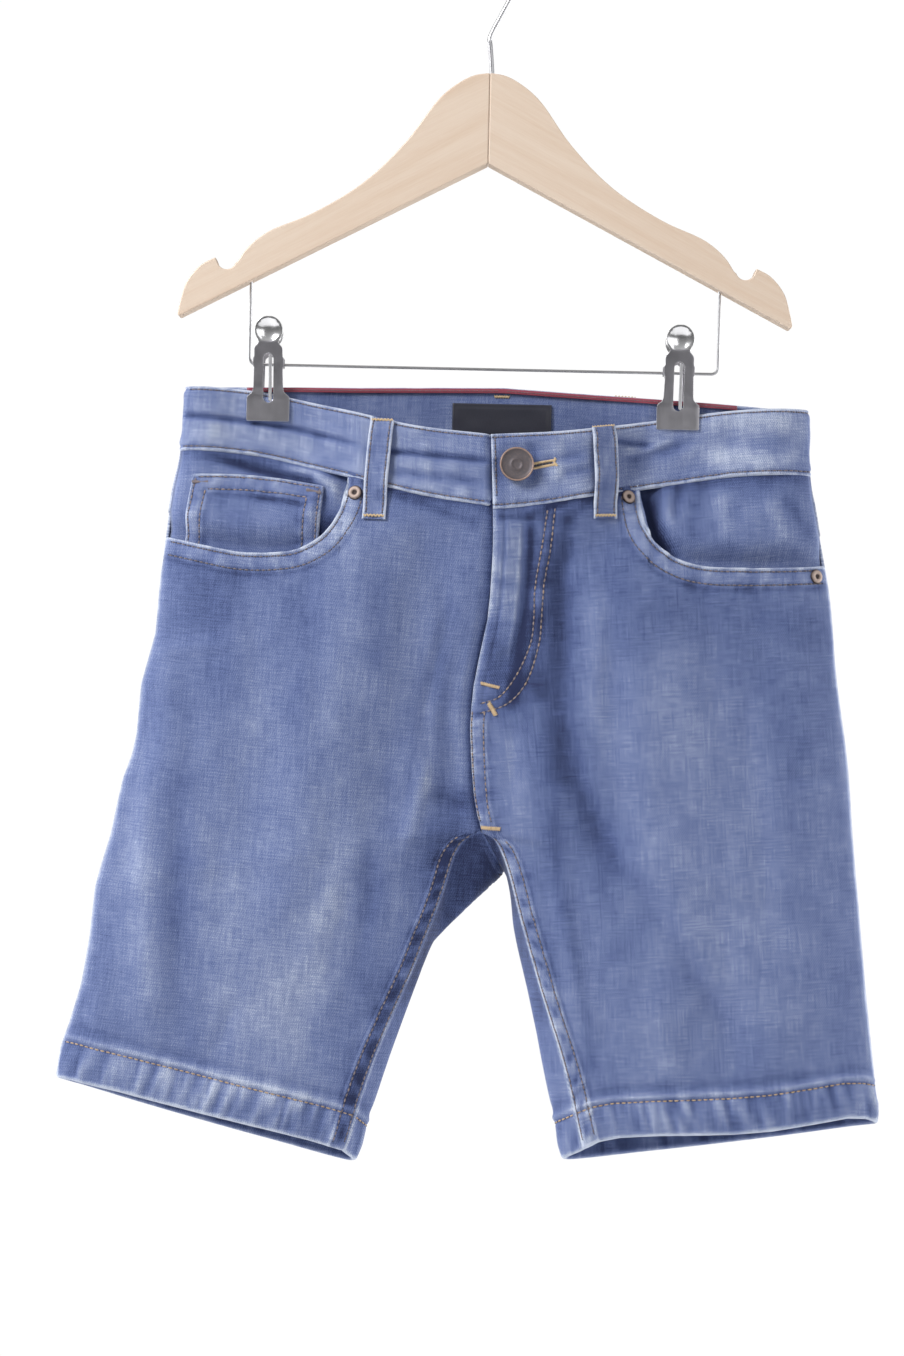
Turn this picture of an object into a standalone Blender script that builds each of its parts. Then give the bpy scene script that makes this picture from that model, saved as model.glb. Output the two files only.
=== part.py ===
"""Denim shorts that hang by two spring clips from a wooden hanger.

Sizes in the tables are millimetres. The garment's own zero is the top edge of its waistband at
the centre back: x runs to the wearer's left, y to the wearer's back and z up. `place` moves that
zero under the hook, whose seat is the origin of the part. Right and left are the wearer's.
"""
import math
from collections import namedtuple
from functools import lru_cache

import bmesh
import bpy
from mathutils import Vector
from mathutils.bvhtree import BVHTree

MM = 0.001
RIGHT, LEFT = -1, 1

# ---------------------------------------------------------------- driving sizes, in millimetres
GARMENT_X = 4.0            # the garment's centre line from the hook's axis
BAND = 34.0                # height of the waistband
LEG = 311.0                # waist seam to hem edge, down the side seam
HEM = 19.0                 # height of the turned-up hem
SEAM_GAP = 0.3             # space between two pieces at a seam
CROTCH_GAP = 1.2           # and along the seat seam where it turns under the crotch
LAY_GAP = 0.6              # space between two layers, which allows for their facets

DENIM = 1.4                # thickness of one layer of denim
BAND_THICK = 2.6
HEM_THICK = 3.0
FACING_THICK = 1.0
LOOP_THICK = 1.4
PATCH_THICK = 1.2
LABEL_THICK = 0.6

FACING_SINK = 4.0          # pocket facing's middle behind the front panel's middle
SIDE_SINK = 1.7            # and beside the side seam, where no coin pocket lies between them
COIN_LIFT = 1.9            # coin pocket's middle over the facing's

CROWN = 154.0              # the wooden hanger's crown above the waistband's top edge
HOOK_WIRE = 1.2            # radius of the hook's wire
HOOK_RADIUS = 16.5         # of its arc, at the wire's middle
HOOK_FOOT = (1.0, CROWN)   # x and z where it leaves the wood
HOOK_KINK = (-0.6, 172.5)  # and where it turns into its slanted run
HOOK_RUN = 27.0            # degrees from upright of that run, which meets the arc
# The arc's centre is over x = 0 and as high as makes the slanted run touch the arc.
HOOK_LEAN = math.radians(HOOK_RUN)
HOOK_CENTRE_Z = HOOK_KINK[1] + (HOOK_RADIUS - HOOK_KINK[0] * math.cos(HOOK_LEAN)) / math.sin(HOOK_LEAN)
WAIST_DROP = HOOK_CENTRE_Z + HOOK_RADIUS - HOOK_WIRE    # the waistband's top below the hook's seat

# ---------------------------------------------------------------- the form of the cloth
# One row for each section across a half of the garment. `drop` is the distance down the side
# seam from the waist seam. The section runs from the inner seam (centre front, then inseam)
# over the front to the side, and over the back to the fold inside the leg and the seam again.
Outline = namedtuple("Outline", "drop side_x side_z front_x front_z back_x back_z fold_x fold_z")
CROTCH_DROP = 204.0
RIGHT_HALF = (
    Outline(-34, -150.0, -3, 0.0, -25, 5.5, 0, 5.5, 0),
    Outline(0, -152.0, -34, 1.5, -58, 5.5, -34, 5.5, -34),
    Outline(28, -156.5, -62, 2.0, -81, 6.0, -62, 6.0, -62),
    Outline(62, -160.5, -96, 1.0, -109, 6.5, -97, 6.5, -97),
    Outline(100, -167.5, -134, 0.0, -141, 7.5, -137, 7.5, -137),
    Outline(142, -176.0, -177, -2.5, -176, 9.0, -183, 9.0, -183),
    Outline(175, -183.0, -210, -3.0, -202, 11.0, -222, 11.0, -222),
    Outline(188, -185.6, -223, -2.0, -210, 11.5, -234, 9.0, -240),
    Outline(197, -187.5, -232, -1.2, -214, 8.0, -233, 1.0, -249),
    Outline(204, -189.0, -239, -0.5, -218, -0.5, -218, -6.0, -256),
    Outline(211, -190.2, -246, -7.0, -221, -7.0, -221, -12.0, -262),
    Outline(220, -191.8, -255, -13.0, -229, -13.0, -229, -20.0, -270),
    Outline(236, -194.5, -271, -19.0, -249, -19.0, -249, -28.0, -280),
    Outline(262, -198.5, -297, -33.0, -287, -33.0, -287, -37.0, -306),
    Outline(287, -203.5, -321, -51.0, -331, -51.0, -331, -48.0, -342),
    Outline(311, -207.0, -345, -65.0, -377, -65.0, -377, -60.0, -382),
)
LEFT_HALF = (
    Outline(-34, 155.5, -8, 0.0, -25, 5.5, 0, 5.5, 0),
    Outline(0, 157.5, -40, 1.5, -58, 5.5, -34, 5.5, -34),
    Outline(28, 162.0, -67, 2.0, -81, 6.0, -62, 6.0, -62),
    Outline(62, 168.5, -101, 1.0, -109, 6.5, -97, 6.5, -97),
    Outline(100, 172.5, -139, 0.0, -141, 7.5, -137, 7.5, -137),
    Outline(142, 179.0, -182, -2.5, -176, 9.0, -183, 9.0, -183),
    Outline(175, 182.0, -215, -3.0, -202, 11.0, -222, 11.0, -222),
    Outline(188, 183.3, -228, -2.0, -210, 11.5, -234, 15.5, -238),
    Outline(197, 184.2, -237, -1.2, -214, 8.0, -233, 20.0, -243),
    Outline(204, 185.0, -244, -0.5, -218, -0.5, -218, 22.0, -248),
    Outline(211, 185.8, -251, 7.0, -223, 7.0, -223, 21.0, -252),
    Outline(220, 186.7, -260, 13.0, -236, 13.0, -236, 19.5, -257),
    Outline(236, 188.5, -277, 20.0, -261, 20.0, -261, 18.5, -268),
    Outline(262, 191.5, -304, 31.0, -297, 31.0, -297, 26.0, -300),
    Outline(287, 195.0, -332, 43.0, -334, 43.0, -334, 34.0, -337),
    Outline(311, 198.0, -359, 53.0, -374, 53.0, -374, 44.0, -379),
)
# How far the cloth stands out from the middle plane: f to the front, b to the back, at these
# shares of the way from the inner seam to the side. `seam` is the back panel's inner edge.
STATIONS = (0.25, 0.50, 0.75, 0.93)
Depth = namedtuple("Depth", "drop f0 f25 f50 f75 f93 b93 b75 b50 b25 b0 seam")
DEPTHS = (
    Depth(-34, 23, 20, 13, 8, 6.0, 6.0, 5, 4, 3, 3, 3),
    Depth(0, 26, 23, 15, 9, 7.0, 7.0, 7, 6, 5, 5, 5),
    Depth(28, 24, 24, 19, 13, 8.0, 8.0, 9, 9, 8, 7, 7),
    Depth(62, 20, 24, 22, 16, 9.0, 9.0, 12, 13, 11, 10, 10),
    Depth(100, 16, 23, 23, 17, 9.0, 9.0, 14, 16, 15, 13, 13),
    Depth(142, 13, 21, 23, 17, 9.0, 9.0, 15, 18, 17, 14, 14),
    Depth(175, 12, 20, 22, 17, 9.0, 9.0, 15, 18, 17, 11, 11),
    Depth(188, 12, 20, 22, 17, 9.0, 9.0, 15, 18, 16, 10, 6),
    Depth(197, 12, 20, 22, 17, 9.0, 9.0, 15, 18, 16, 7, -4),
    Depth(204, 12, 20, 22, 17, 9.0, 9.0, 15, 18, 15, 5, -12),
    Depth(211, 11, 20, 22, 17, 9.0, 9.0, 14, 17, 14, 5, -11),
    Depth(220, 10, 20, 21, 16, 9.0, 9.0, 14, 17, 14, 5, -10),
    Depth(236, 10, 19, 20, 16, 8.5, 8.5, 14, 16, 13, 5, -10),
    Depth(262, 10, 17, 18, 15, 8.0, 8.0, 13, 15, 12, 4, -10),
    Depth(287, 9, 15, 16, 14, 8.0, 8.0, 12, 14, 11, 3, -9),
    Depth(311, 8, 14, 15, 13, 8.0, 8.0, 12, 13, 10, 2, -8),
)
HEM_ARCH = 5.0             # the front of each hem lifts this much between its folds
HEM_SAG = 3.5              # and the back hangs this much lower
ARCH_FROM = 200.0          # drop at which both begin

# The clips press the waistband flat round these places.
CLIP_X = {RIGHT: -109.8, LEFT: 92.0}
PINCH_HALF = 12.0          # half the width that is pressed flat
PINCH_BLEND = 36.0         # and the width over which it opens out again
PINCH_DEPTH = BAND_THICK / 2 + 0.8
PINCH_END = 42.0           # drop below which a clip no longer flattens the cloth

# The largest folds: a soft ridge, or a trough where it is negative, from one point to another.
Fold = namedtuple("Fold", "face x0 z0 x1 z1 width height")
FOLDS = (
    Fold("front", -60, -75, -95, -250, 17, 3.0),
    Fold("front", -30, -80, -48, -215, 13, -2.5),
    Fold("front", -165, -150, -160, -300, 15, 2.5),
    Fold("front", -110, -190, -140, -330, 20, -2.5),
    Fold("front", -8, -130, -12, -205, 9, -3.0),
    Fold("front", 45, -75, 62, -215, 14, -3.0),
    Fold("front", 80, -110, 95, -300, 19, 3.0),
    Fold("front", 60, -215, 120, -330, 18, -2.5),
    Fold("front", 150, -120, 158, -300, 18, 2.0),
    Fold("back", -70, -110, -90, -280, 18, 3.0),
    Fold("back", -35, -150, -60, -240, 14, -3.0),
    Fold("back", 70, -120, 85, -290, 18, 3.0),
    Fold("back", 40, -160, 60, -250, 14, -3.0),
    Fold("back", -150, -150, -160, -310, 17, 2.5),
    Fold("back", 140, -150, 150, -310, 17, -2.0),
)


def ramp(value, low, high):
    """0 below `low`, 1 above `high`, and a smooth step between them."""
    t = min(1.0, max(0.0, (value - low) / (high - low)))
    return t * t * (3 - 2 * t)


def read(table, drop):
    """The row of a table at any drop, by a smooth curve through the rows on either side.

    The curve may turn a corner at the crotch, where the two halves part.
    """
    i = max(k for k in range(len(table) - 1) if k == 0 or table[k].drop <= drop)
    low, high = table[i], table[i + 1]
    before = low if i == 0 or low.drop == CROTCH_DROP else table[i - 1]
    after = high if i + 2 == len(table) or high.drop == CROTCH_DROP else table[i + 2]
    span = high.drop - low.drop
    t = (drop - low.drop) / span
    row = []
    for a, b, c, d in zip(before, low, high, after):
        slope_low = (c - a) / (high.drop - before.drop) * span
        slope_high = (d - b) / (after.drop - low.drop) * span
        row.append(
            (2 * t**3 - 3 * t**2 + 1) * b
            + (t**3 - 2 * t**2 + t) * slope_low
            + (3 * t**2 - 2 * t**3) * c
            + (t**3 - t**2) * slope_high
        )
    return type(low)(*row)


def spline(points, steps=10):
    """A centripetal Catmull-Rom curve through `points`, with where each of them falls on it."""
    points = [points[0] * 2 - points[1], *points, points[-1] * 2 - points[-2]]
    line, marks = [points[1]], [0]
    for p0, p1, p2, p3 in zip(points, points[1:], points[2:], points[3:]):
        t1 = max((p1 - p0).length, 1e-3) ** 0.5
        t2 = t1 + max((p2 - p1).length, 1e-3) ** 0.5
        t3 = t2 + max((p3 - p2).length, 1e-3) ** 0.5
        for k in range(1, steps + 1):
            t = t1 + (t2 - t1) * k / steps
            a1 = p0.lerp(p1, t / t1)
            a2 = p1.lerp(p2, (t - t1) / (t2 - t1))
            a3 = p2.lerp(p3, (t - t2) / (t3 - t2))
            b1 = a1.lerp(a2, t / t2)
            b2 = a2.lerp(a3, (t - t1) / (t3 - t1))
            line.append(b1.lerp(b2, (t - t1) / (t2 - t1)))
        marks.append(len(line) - 1)
    return line, marks


def even(line):
    """The line with its running length as a share from 0 to 1."""
    lengths = [0.0]
    for a, b in zip(line, line[1:]):
        lengths.append(lengths[-1] + (b - a).length)
    return line, [length / lengths[-1] for length in lengths]


@lru_cache(maxsize=None)
def section(half, drop):
    """The front and back of one half at this drop, each from the inner seam to the side."""
    row = read(RIGHT_HALF if half == RIGHT else LEFT_HALF, drop)
    depth = read(DEPTHS, drop)
    settle = 1 - ramp(drop, 0, 110)
    side = Vector((row.side_x, 0.0, row.side_z))
    front, back = [], []
    for share, f, b in zip(
        STATIONS,
        (depth.f25, depth.f50, depth.f75, depth.f93),
        (depth.b25, depth.b50, depth.b75, depth.b93),
    ):
        up = share + (ramp(share, 0, 0.93) - share) * settle
        front.append(Vector((
            row.front_x + (row.side_x - row.front_x) * share,
            -f,
            row.front_z + (row.side_z - row.front_z) * up,
        )))
        back.append(Vector((
            row.fold_x + (row.side_x - row.fold_x) * share,
            b,
            row.fold_z + (row.side_z - row.fold_z) * share,
        )))
    inner = Vector((row.front_x, -depth.f0, row.front_z))
    fold = Vector((row.fold_x, depth.b0, row.fold_z))
    seam = Vector((row.back_x, depth.seam, row.back_z))
    ring = [inner, *front, side, *reversed(back), seam]
    if (seam - fold).length > 2.5:
        ring.insert(-1, fold)
    line, marks = spline(ring)
    turn = marks[5]
    return even(line[: turn + 1]), even(line[turn:][::-1])


def base(half, face, share, drop):
    """A point of the cloth's middle surface, before folds: share 0 is the inner seam, 1 the side."""
    line, shares = section(half, round(drop, 3))[face == "back"]
    share = min(1.0, max(0.0, share))
    low, high = 0, len(shares) - 1
    while high - low > 1:
        middle = (low + high) // 2
        low, high = (middle, high) if shares[middle] <= share else (low, middle)
    return line[low].lerp(line[high], (share - shares[low]) / (shares[high] - shares[low]))


def fold_height(face, x, z):
    total = 0.0
    for fold in FOLDS:
        if fold.face != face:
            continue
        dx, dz = fold.x1 - fold.x0, fold.z1 - fold.z0
        length = math.hypot(dx, dz)
        along = ((x - fold.x0) * dx + (z - fold.z0) * dz) / length
        across = ((x - fold.x0) * dz - (z - fold.z0) * dx) / length
        past = max(0.0, -along, along - length)
        total += fold.height * math.exp(-(across**2 + past**2) / fold.width**2)
    return total


def middle(half, face, share, drop):
    """A point of the cloth's middle surface with its folds, its hem's arch and the clips' pinch."""
    point = base(half, face, share, drop).copy()
    flat = ramp(share, 0.0, 0.14) * (1 - ramp(share, 0.86, 1.0)) * ramp(drop, 0, 40)
    out = -1 if face == "front" else 1
    point.y += out * flat * fold_height(face, point.x, point.z)
    arch = HEM_ARCH if face == "front" else -HEM_SAG
    point.z += arch * math.sin(math.pi * share) ** 0.7 * ramp(drop, ARCH_FROM, LEG) if 0 < share < 1 else 0
    near = 1 - ramp(abs(point.x - CLIP_X[half]), PINCH_HALF, PINCH_HALF + PINCH_BLEND)
    near *= 1 - ramp(drop, -16, PINCH_END)
    if abs(point.y) > PINCH_DEPTH:
        point.y += near * (math.copysign(PINCH_DEPTH, out) - point.y)
    return point


# ---------------------------------------------------------------- the surface between two pieces
def own_normal(half, face, share, drop):
    """The unit normal of one panel's middle surface, pointing away from the wearer."""
    step = 0.004
    across = middle(half, face, min(share + step, 1), drop) - middle(half, face, max(share - step, 0), drop)
    down = middle(half, face, share, min(drop + 1.0, LEG)) - middle(half, face, share, max(drop - 1.0, -BAND))
    return (across.cross(down) * (-half if face == "front" else half)).normalized()


def outward(half, face, share, drop):
    """The normal, mitred along a seam so that the two panels' edges meet squarely there."""
    own = own_normal(half, face, share, drop)
    other_face = "back" if face == "front" else "front"
    if share >= 1:
        partners = [own_normal(half, other_face, 1, drop)]
    elif share > 0:
        return own
    elif drop < CROTCH_DROP:
        partners = [own_normal(-half, face, 0, drop)]
    else:
        partners = [own_normal(half, other_face, 0, drop)]
    mitre = (own + sum(partners, Vector())).normalized()
    return mitre / max(0.3, mitre.dot(own))


def place(point):
    """From the garment's millimetres to the part's metres."""
    return Vector((point[0] + GARMENT_X, point[1], point[2] - WAIST_DROP)) * MM


def on_cloth(half, face, share, drop, lift=0.0):
    """A placed point `lift` outside the middle surface, drawn back half a gap from a seam."""
    point = middle(half, face, share, drop)
    normal = outward(half, face, share, drop)
    if share <= 0 or share >= 1:
        inside = middle(half, face, 0.02 if share <= 0 else 0.98, drop)
        gap = SEAM_GAP
        if share <= 0 and face == "back":
            gap += (CROTCH_GAP - SEAM_GAP) * (1 - ramp(abs(drop - CROTCH_DROP + 4), 7, 16))
        point = point + (inside - point).normalized() * gap / 2
    return place(point + normal * lift)


def locate(half, face, x, z):
    """The share and drop of the middle surface that shows at x and z from the front."""
    share, drop = 0.5, -z
    for _ in range(12):
        here = middle(half, face, share, drop)
        right = middle(half, face, share + 0.01, drop) - here
        down = middle(half, face, share, drop + 1) - here
        miss_x, miss_z = x - here.x, z - here.z
        area = right.x * down.z - right.z * down.x
        share += 0.01 * (miss_x * down.z - miss_z * down.x) / area
        drop += (right.x * miss_z - right.z * miss_x) / area
        share, drop = min(0.985, max(0.0, share)), min(LEG, max(-BAND, drop))
    return share, drop


def half_at(face, x, z):
    """The half of the garment that holds x at this height, above the crotch."""
    line = read(RIGHT_HALF, min(max(-z - 25, -BAND), CROTCH_DROP))
    return RIGHT if x < (line.front_x if face == "front" else line.back_x) else LEFT


def at(face, x, z, lift):
    """A placed point on the front or back at x and z."""
    half = half_at(face, x, z)
    share, drop = locate(half, face, x, z)
    return on_cloth(half, face, max(share, 0.001), drop, lift)


def shares(count):
    """Evenly spread columns across a panel, closer together beside its two long edges."""
    steps = [k / count for k in range(count + 1)]
    return [0.5 * t + 0.25 * (1 - math.cos(math.pi * t)) for t in steps]


def between(low, high, count):
    return [low + (high - low) * k / count for k in range(count + 1)]


# ---------------------------------------------------------------- solids
def material(name, colour, roughness, metallic=0.0):
    made = bpy.data.materials.new(name)
    made.use_nodes = True
    shader = made.node_tree.nodes["Principled BSDF"]
    shader.inputs["Base Color"].default_value = (*colour, 1.0)
    shader.inputs["Roughness"].default_value = roughness
    shader.inputs["Metallic"].default_value = metallic
    return made


def finish(name, mesh, look, smooth=50.0):
    """Link a mesh to the garment's collection under its node's name."""
    mesh.name = name
    node = bpy.data.objects.new(name, mesh)
    PARTS.objects.link(node)
    mesh.materials.append(material(name, *look))
    mesh.shade_smooth()
    mesh.set_sharp_from_angle(angle=math.radians(smooth))
    return node


def loft(name, outer, inner, look):
    """A closed wall between two grids of points, given row by row."""
    rows, columns = len(outer), len(outer[0])
    mesh = bmesh.new()
    skins = [[[mesh.verts.new(point) for point in row] for row in grid] for grid in (outer, inner)]
    for skin in skins:
        for r in range(rows - 1):
            for c in range(columns - 1):
                mesh.faces.new((skin[r][c], skin[r][c + 1], skin[r + 1][c + 1], skin[r + 1][c]))
    rim = [(0, c) for c in range(columns)]
    rim += [(r, columns - 1) for r in range(1, rows)]
    rim += [(rows - 1, c) for c in reversed(range(columns - 1))]
    rim += [(r, 0) for r in reversed(range(1, rows - 1))]
    for (r0, c0), (r1, c1) in zip(rim, rim[1:] + rim[:1]):
        mesh.faces.new((skins[0][r0][c0], skins[0][r1][c1], skins[1][r1][c1], skins[1][r0][c0]))
    bmesh.ops.recalc_face_normals(mesh, faces=mesh.faces)
    made = bpy.data.meshes.new(name)
    mesh.to_mesh(made)
    mesh.free()
    return finish(name, made, look)


def patch(name, face, rows, lift, thick, look):
    """A piece laid on the cloth; each row lists (x, z), and `lift` is its middle's or a function."""
    def grid(side):
        made = []
        for k, row in enumerate(rows):
            share = k / (len(rows) - 1)
            height = lift(share) if callable(lift) else lift
            made.append([at(face, x, z, height + side * thick / 2) for x, z in row])
        return made

    return loft(name, grid(1), grid(-1), look)


def turned(name, profile, segments, look, closed=False):
    """A solid turned round Z from (radius, height) pairs that run down its outer side, in mm."""
    mesh = bpy.data.meshes.new(name)
    points = [(radius * MM, 0, height * MM) for radius, height in profile]
    edges = [(k, k + 1) for k in range(len(points) - 1)]
    if closed:
        edges.append((len(points) - 1, 0))
    mesh.from_pydata(points, edges, [])
    node = finish(name, mesh, look, 35)
    screw = node.modifiers.new("turn", "SCREW")
    screw.steps = screw.render_steps = segments
    screw.use_merge_vertices = True
    screw.merge_threshold = 1e-5
    return node


def wire(name, points, radius, look, sides=3):
    """A round wire through placed points."""
    curve = bpy.data.curves.new(name, "CURVE")
    curve.dimensions = "3D"
    curve.bevel_depth = radius * MM
    curve.bevel_resolution = sides
    curve.use_fill_caps = True
    line = curve.splines.new("POLY")
    line.points.add(len(points) - 1)
    for target, point in zip(line.points, points):
        target.co = (*point, 1)
    node = bpy.data.objects.new(name, curve)
    PARTS.objects.link(node)
    curve.materials.append(material(name, *look))
    return node


def arc(centre, radius, start, stop, count):
    """Points (x, z) on an arc, with its angles in degrees from +X towards +Z."""
    angles = [math.radians(angle) for angle in between(start, stop, count)]
    return [(centre[0] + radius * math.cos(a), centre[1] + radius * math.sin(a)) for a in angles]


# ---------------------------------------------------------------- the cloth's own pieces
DENIM_LOOK = ((0.10, 0.17, 0.36), 0.85)
DARK_DENIM_LOOK = ((0.06, 0.11, 0.27), 0.85)
POCKET_LOOK = ((0.12, 0.19, 0.38), 0.85)
COPPER_LOOK = ((0.20, 0.11, 0.06), 0.4, 0.9)
STEEL_LOOK = ((0.42, 0.42, 0.43), 0.35, 1.0)
WIRE_LOOK = ((0.55, 0.55, 0.55), 0.3, 1.0)
WOOD_LOOK = ((0.72, 0.55, 0.38), 0.55)

MouthPoint = namedtuple("MouthPoint", "x z")
MOUTH = {
    RIGHT: (
        MouthPoint(-69.0, -48.5),
        MouthPoint(-70.6, -57.0),
        MouthPoint(-74.3, -67.2),
        MouthPoint(-82.0, -77.0),
        MouthPoint(-92.7, -82.7),
        MouthPoint(-106.0, -84.8),
        MouthPoint(-123.0, -84.5),
        MouthPoint(-140.0, -81.2),
        MouthPoint(-158.0, -77.4),
    ),
    LEFT: (
        MouthPoint(72.6, -45.0),
        MouthPoint(73.0, -56.6),
        MouthPoint(75.8, -68.5),
        MouthPoint(82.4, -77.7),
        MouthPoint(92.4, -84.2),
        MouthPoint(106.0, -87.2),
        MouthPoint(124.6, -87.4),
        MouthPoint(144.3, -86.7),
        MouthPoint(166.0, -85.0),
    ),
}
MOUTH_STEPS = 2            # columns of the mesh between two of those points
FACING_BESIDE = 0.07       # share of the panel that the pocket piece runs in under its mouth
POCKET_DEEP = 78.0         # the pocket piece's bottom below the mouth
# Rows of the pocket piece: `mouth` is the share of the way down to the pocket's mouth, and
# `bag` the share of the way on from there to the bottom of the bag.
PocketRow = namedtuple("PocketRow", "mouth bag")
POCKET_ROWS = (
    PocketRow(0.0, 0.0),
    PocketRow(0.3, 0.0),
    PocketRow(0.6, 0.0),
    PocketRow(0.75, 0.0),
    PocketRow(0.87, 0.0),
    PocketRow(1.0, 0.01),
    PocketRow(1.0, 0.12),
    PocketRow(1.0, 0.35),
    PocketRow(1.0, 0.65),
    PocketRow(1.0, 1.0),
)
SINK_FROM, SINK_OVER = 2.0, 13.0
YOKE_CENTRE, YOKE_SIDE = 52.0, 31.0


@lru_cache(maxsize=None)
def mouth(half):
    """The pocket mouth as (share, drop) columns from the waist seam to the side seam."""
    line, _ = spline([Vector((*point, 0)) for point in MOUTH[half]], MOUTH_STEPS)
    columns = []
    for point in line:
        share, drop = locate(half, "front", point.x, point.y)
        columns.append((max(share, columns[-1][0] + 0.002) if columns else share, drop))
    columns[0] = (columns[0][0], SEAM_GAP / 2)
    columns[-1] = (1.0, columns[-1][1])
    return columns


def mouth_drop(half, share):
    columns = mouth(half)
    for (s0, d0), (s1, d1) in zip(columns, columns[1:]):
        if share <= s1:
            return d0 + (d1 - d0) * max(0.0, share - s0) / (s1 - s0)
    return columns[-1][1]


def sink(half, share, drop):
    """How far the pocket piece lies behind the panel's middle surface."""
    full = FACING_SINK + (SIDE_SINK - FACING_SINK) * ramp(share, 0.91, 0.98)
    if share <= mouth(half)[0][0] or drop >= mouth_drop(half, share):
        return full
    here = middle(half, "front", share, drop)
    clear = min((middle(half, "front", s, d) - here).length for s, d in mouth(half))
    return full * (1 - ramp(clear, SINK_FROM, SINK_FROM + SINK_OVER))


def rows_down(top):
    """The drops of a leg panel's rows and its wall's inner depth at each of them."""
    hem = LEG - HEM
    drops = [top + (CROTCH_DROP - 14 - top) * t**1.25 for t in between(0, 1, 11)]
    drops += [CROTCH_DROP - 7] + between(CROTCH_DROP, hem, 6)
    rows = [(drop, DENIM / 2) for drop in drops]
    turned_up = HEM_THICK - DENIM / 2
    return rows + [(hem + 1.0, turned_up), (LEG - HEM / 2, turned_up), (LEG, turned_up)]


def leg_panel(name, half, face, columns, look):
    """A front or back panel; each column is a share and the drop of the panel's top edge there."""
    outer, inner = [], []
    for share, top in columns:
        rows = rows_down(top)
        outer.append([on_cloth(half, face, share, drop, DENIM / 2) for drop, _ in rows])
        inner.append([on_cloth(half, face, share, drop, -depth) for drop, depth in rows])
    return loft(name, outer, inner, look)


def front_panel(name, half):
    corner = mouth(half)[0][0]
    beside = [share * corner for share in between(0, 1, 7)][:-1]
    columns = [(share, SEAM_GAP / 2) for share in beside] + mouth(half)
    return leg_panel(name, half, "front", columns, DENIM_LOOK)


def yoke_drop(share):
    return YOKE_CENTRE + (YOKE_SIDE - YOKE_CENTRE) * share


def back_panel(name, half):
    columns = [(share, yoke_drop(share) + SEAM_GAP / 2) for share in shares(18)]
    return leg_panel(name, half, "back", columns, DENIM_LOOK)


def yoke(name, half):
    def grid(lift):
        return [
            [
                on_cloth(half, "back", share, SEAM_GAP / 2 + (yoke_drop(share) - SEAM_GAP) * t, lift)
                for share in shares(18)
            ]
            for t in between(0, 1, 4)
        ]

    return loft(name, grid(DENIM / 2), grid(-DENIM / 2), DENIM_LOOK)


def pocket_columns(half):
    """The pocket piece's columns, each a share and the drop of the mouth there."""
    corner, first = mouth(half)[0][0], mouth(half)[1][1]
    beside = [(share, first) for share in between(corner - FACING_BESIDE, corner, 2)]
    along = mouth(half)[1::2] + mouth(half)[-1:]
    return beside + [(share, max(edge, first)) for share, edge in along]


def pocket_piece(name, half):
    """The facing that shows in a pocket's mouth, with the back of its bag below."""
    columns = pocket_columns(half)
    low = mouth_drop(half, 0.9)

    def grid(side):
        made = []
        for level in POCKET_ROWS:
            row = []
            for k, (share, edge) in enumerate(columns):
                round_off = 1 - 0.3 * abs(2 * k / (len(columns) - 1) - 1) ** 3
                bottom = low + POCKET_DEEP * round_off - edge
                drop = SEAM_GAP / 2 + level.mouth * edge + level.bag * bottom
                lift = side * FACING_THICK / 2 - sink(half, share, drop)
                row.append(on_cloth(half, "front", share, drop, lift))
            made.append(row)
        return made

    return loft(name, grid(1), grid(-1), POCKET_LOOK)


COIN_OUTER, COIN_INNER = (-145.0, -46.5), (-81.0, -51.5)       # its two top corners, x and z
COIN_BELOW = 17.0          # how far it goes down behind the mouth


def coin_pocket():
    """The small patch pocket on the right facing, which goes down behind the mouth."""
    inner, outer = (locate(RIGHT, "front", *corner) for corner in (COIN_INNER, COIN_OUTER))
    inside = [column for column in pocket_columns(RIGHT) if inner[0] + 0.02 < column[0] < outer[0] - 0.02]
    ends = [(share, mouth_drop(RIGHT, share)) for share, _ in (inner, outer)]
    columns = ends[:1] + inside + ends[1:]

    def grid(side):
        rows = []
        for share, edge in columns:
            top = inner[1] + (outer[1] - inner[1]) * (share - inner[0]) / (outer[0] - inner[0])
            drops = [top, (top + 0.6 * edge) / 2]
            drops += [SEAM_GAP / 2 + level.mouth * edge for level in POCKET_ROWS[2:6]]
            drops += [edge + COIN_BELOW * t for t in between(0.4, 1, 2)]
            lifts = [COIN_LIFT - sink(RIGHT, share, drop) + side * PATCH_THICK / 2 for drop in drops]
            rows.append([on_cloth(RIGHT, "front", share, drop, lift) for drop, lift in zip(drops, lifts)])
        return rows

    return loft("coin_pocket", grid(1), grid(-1), POCKET_LOOK)


UNDER_END = 38.0           # how far the band's under end and the fly shield run past the centre
UNDER_LIFT = -(BAND_THICK + SEAM_GAP)
UNDER_BLEND = 0.12         # share of the right front over which the under end comes out


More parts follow.
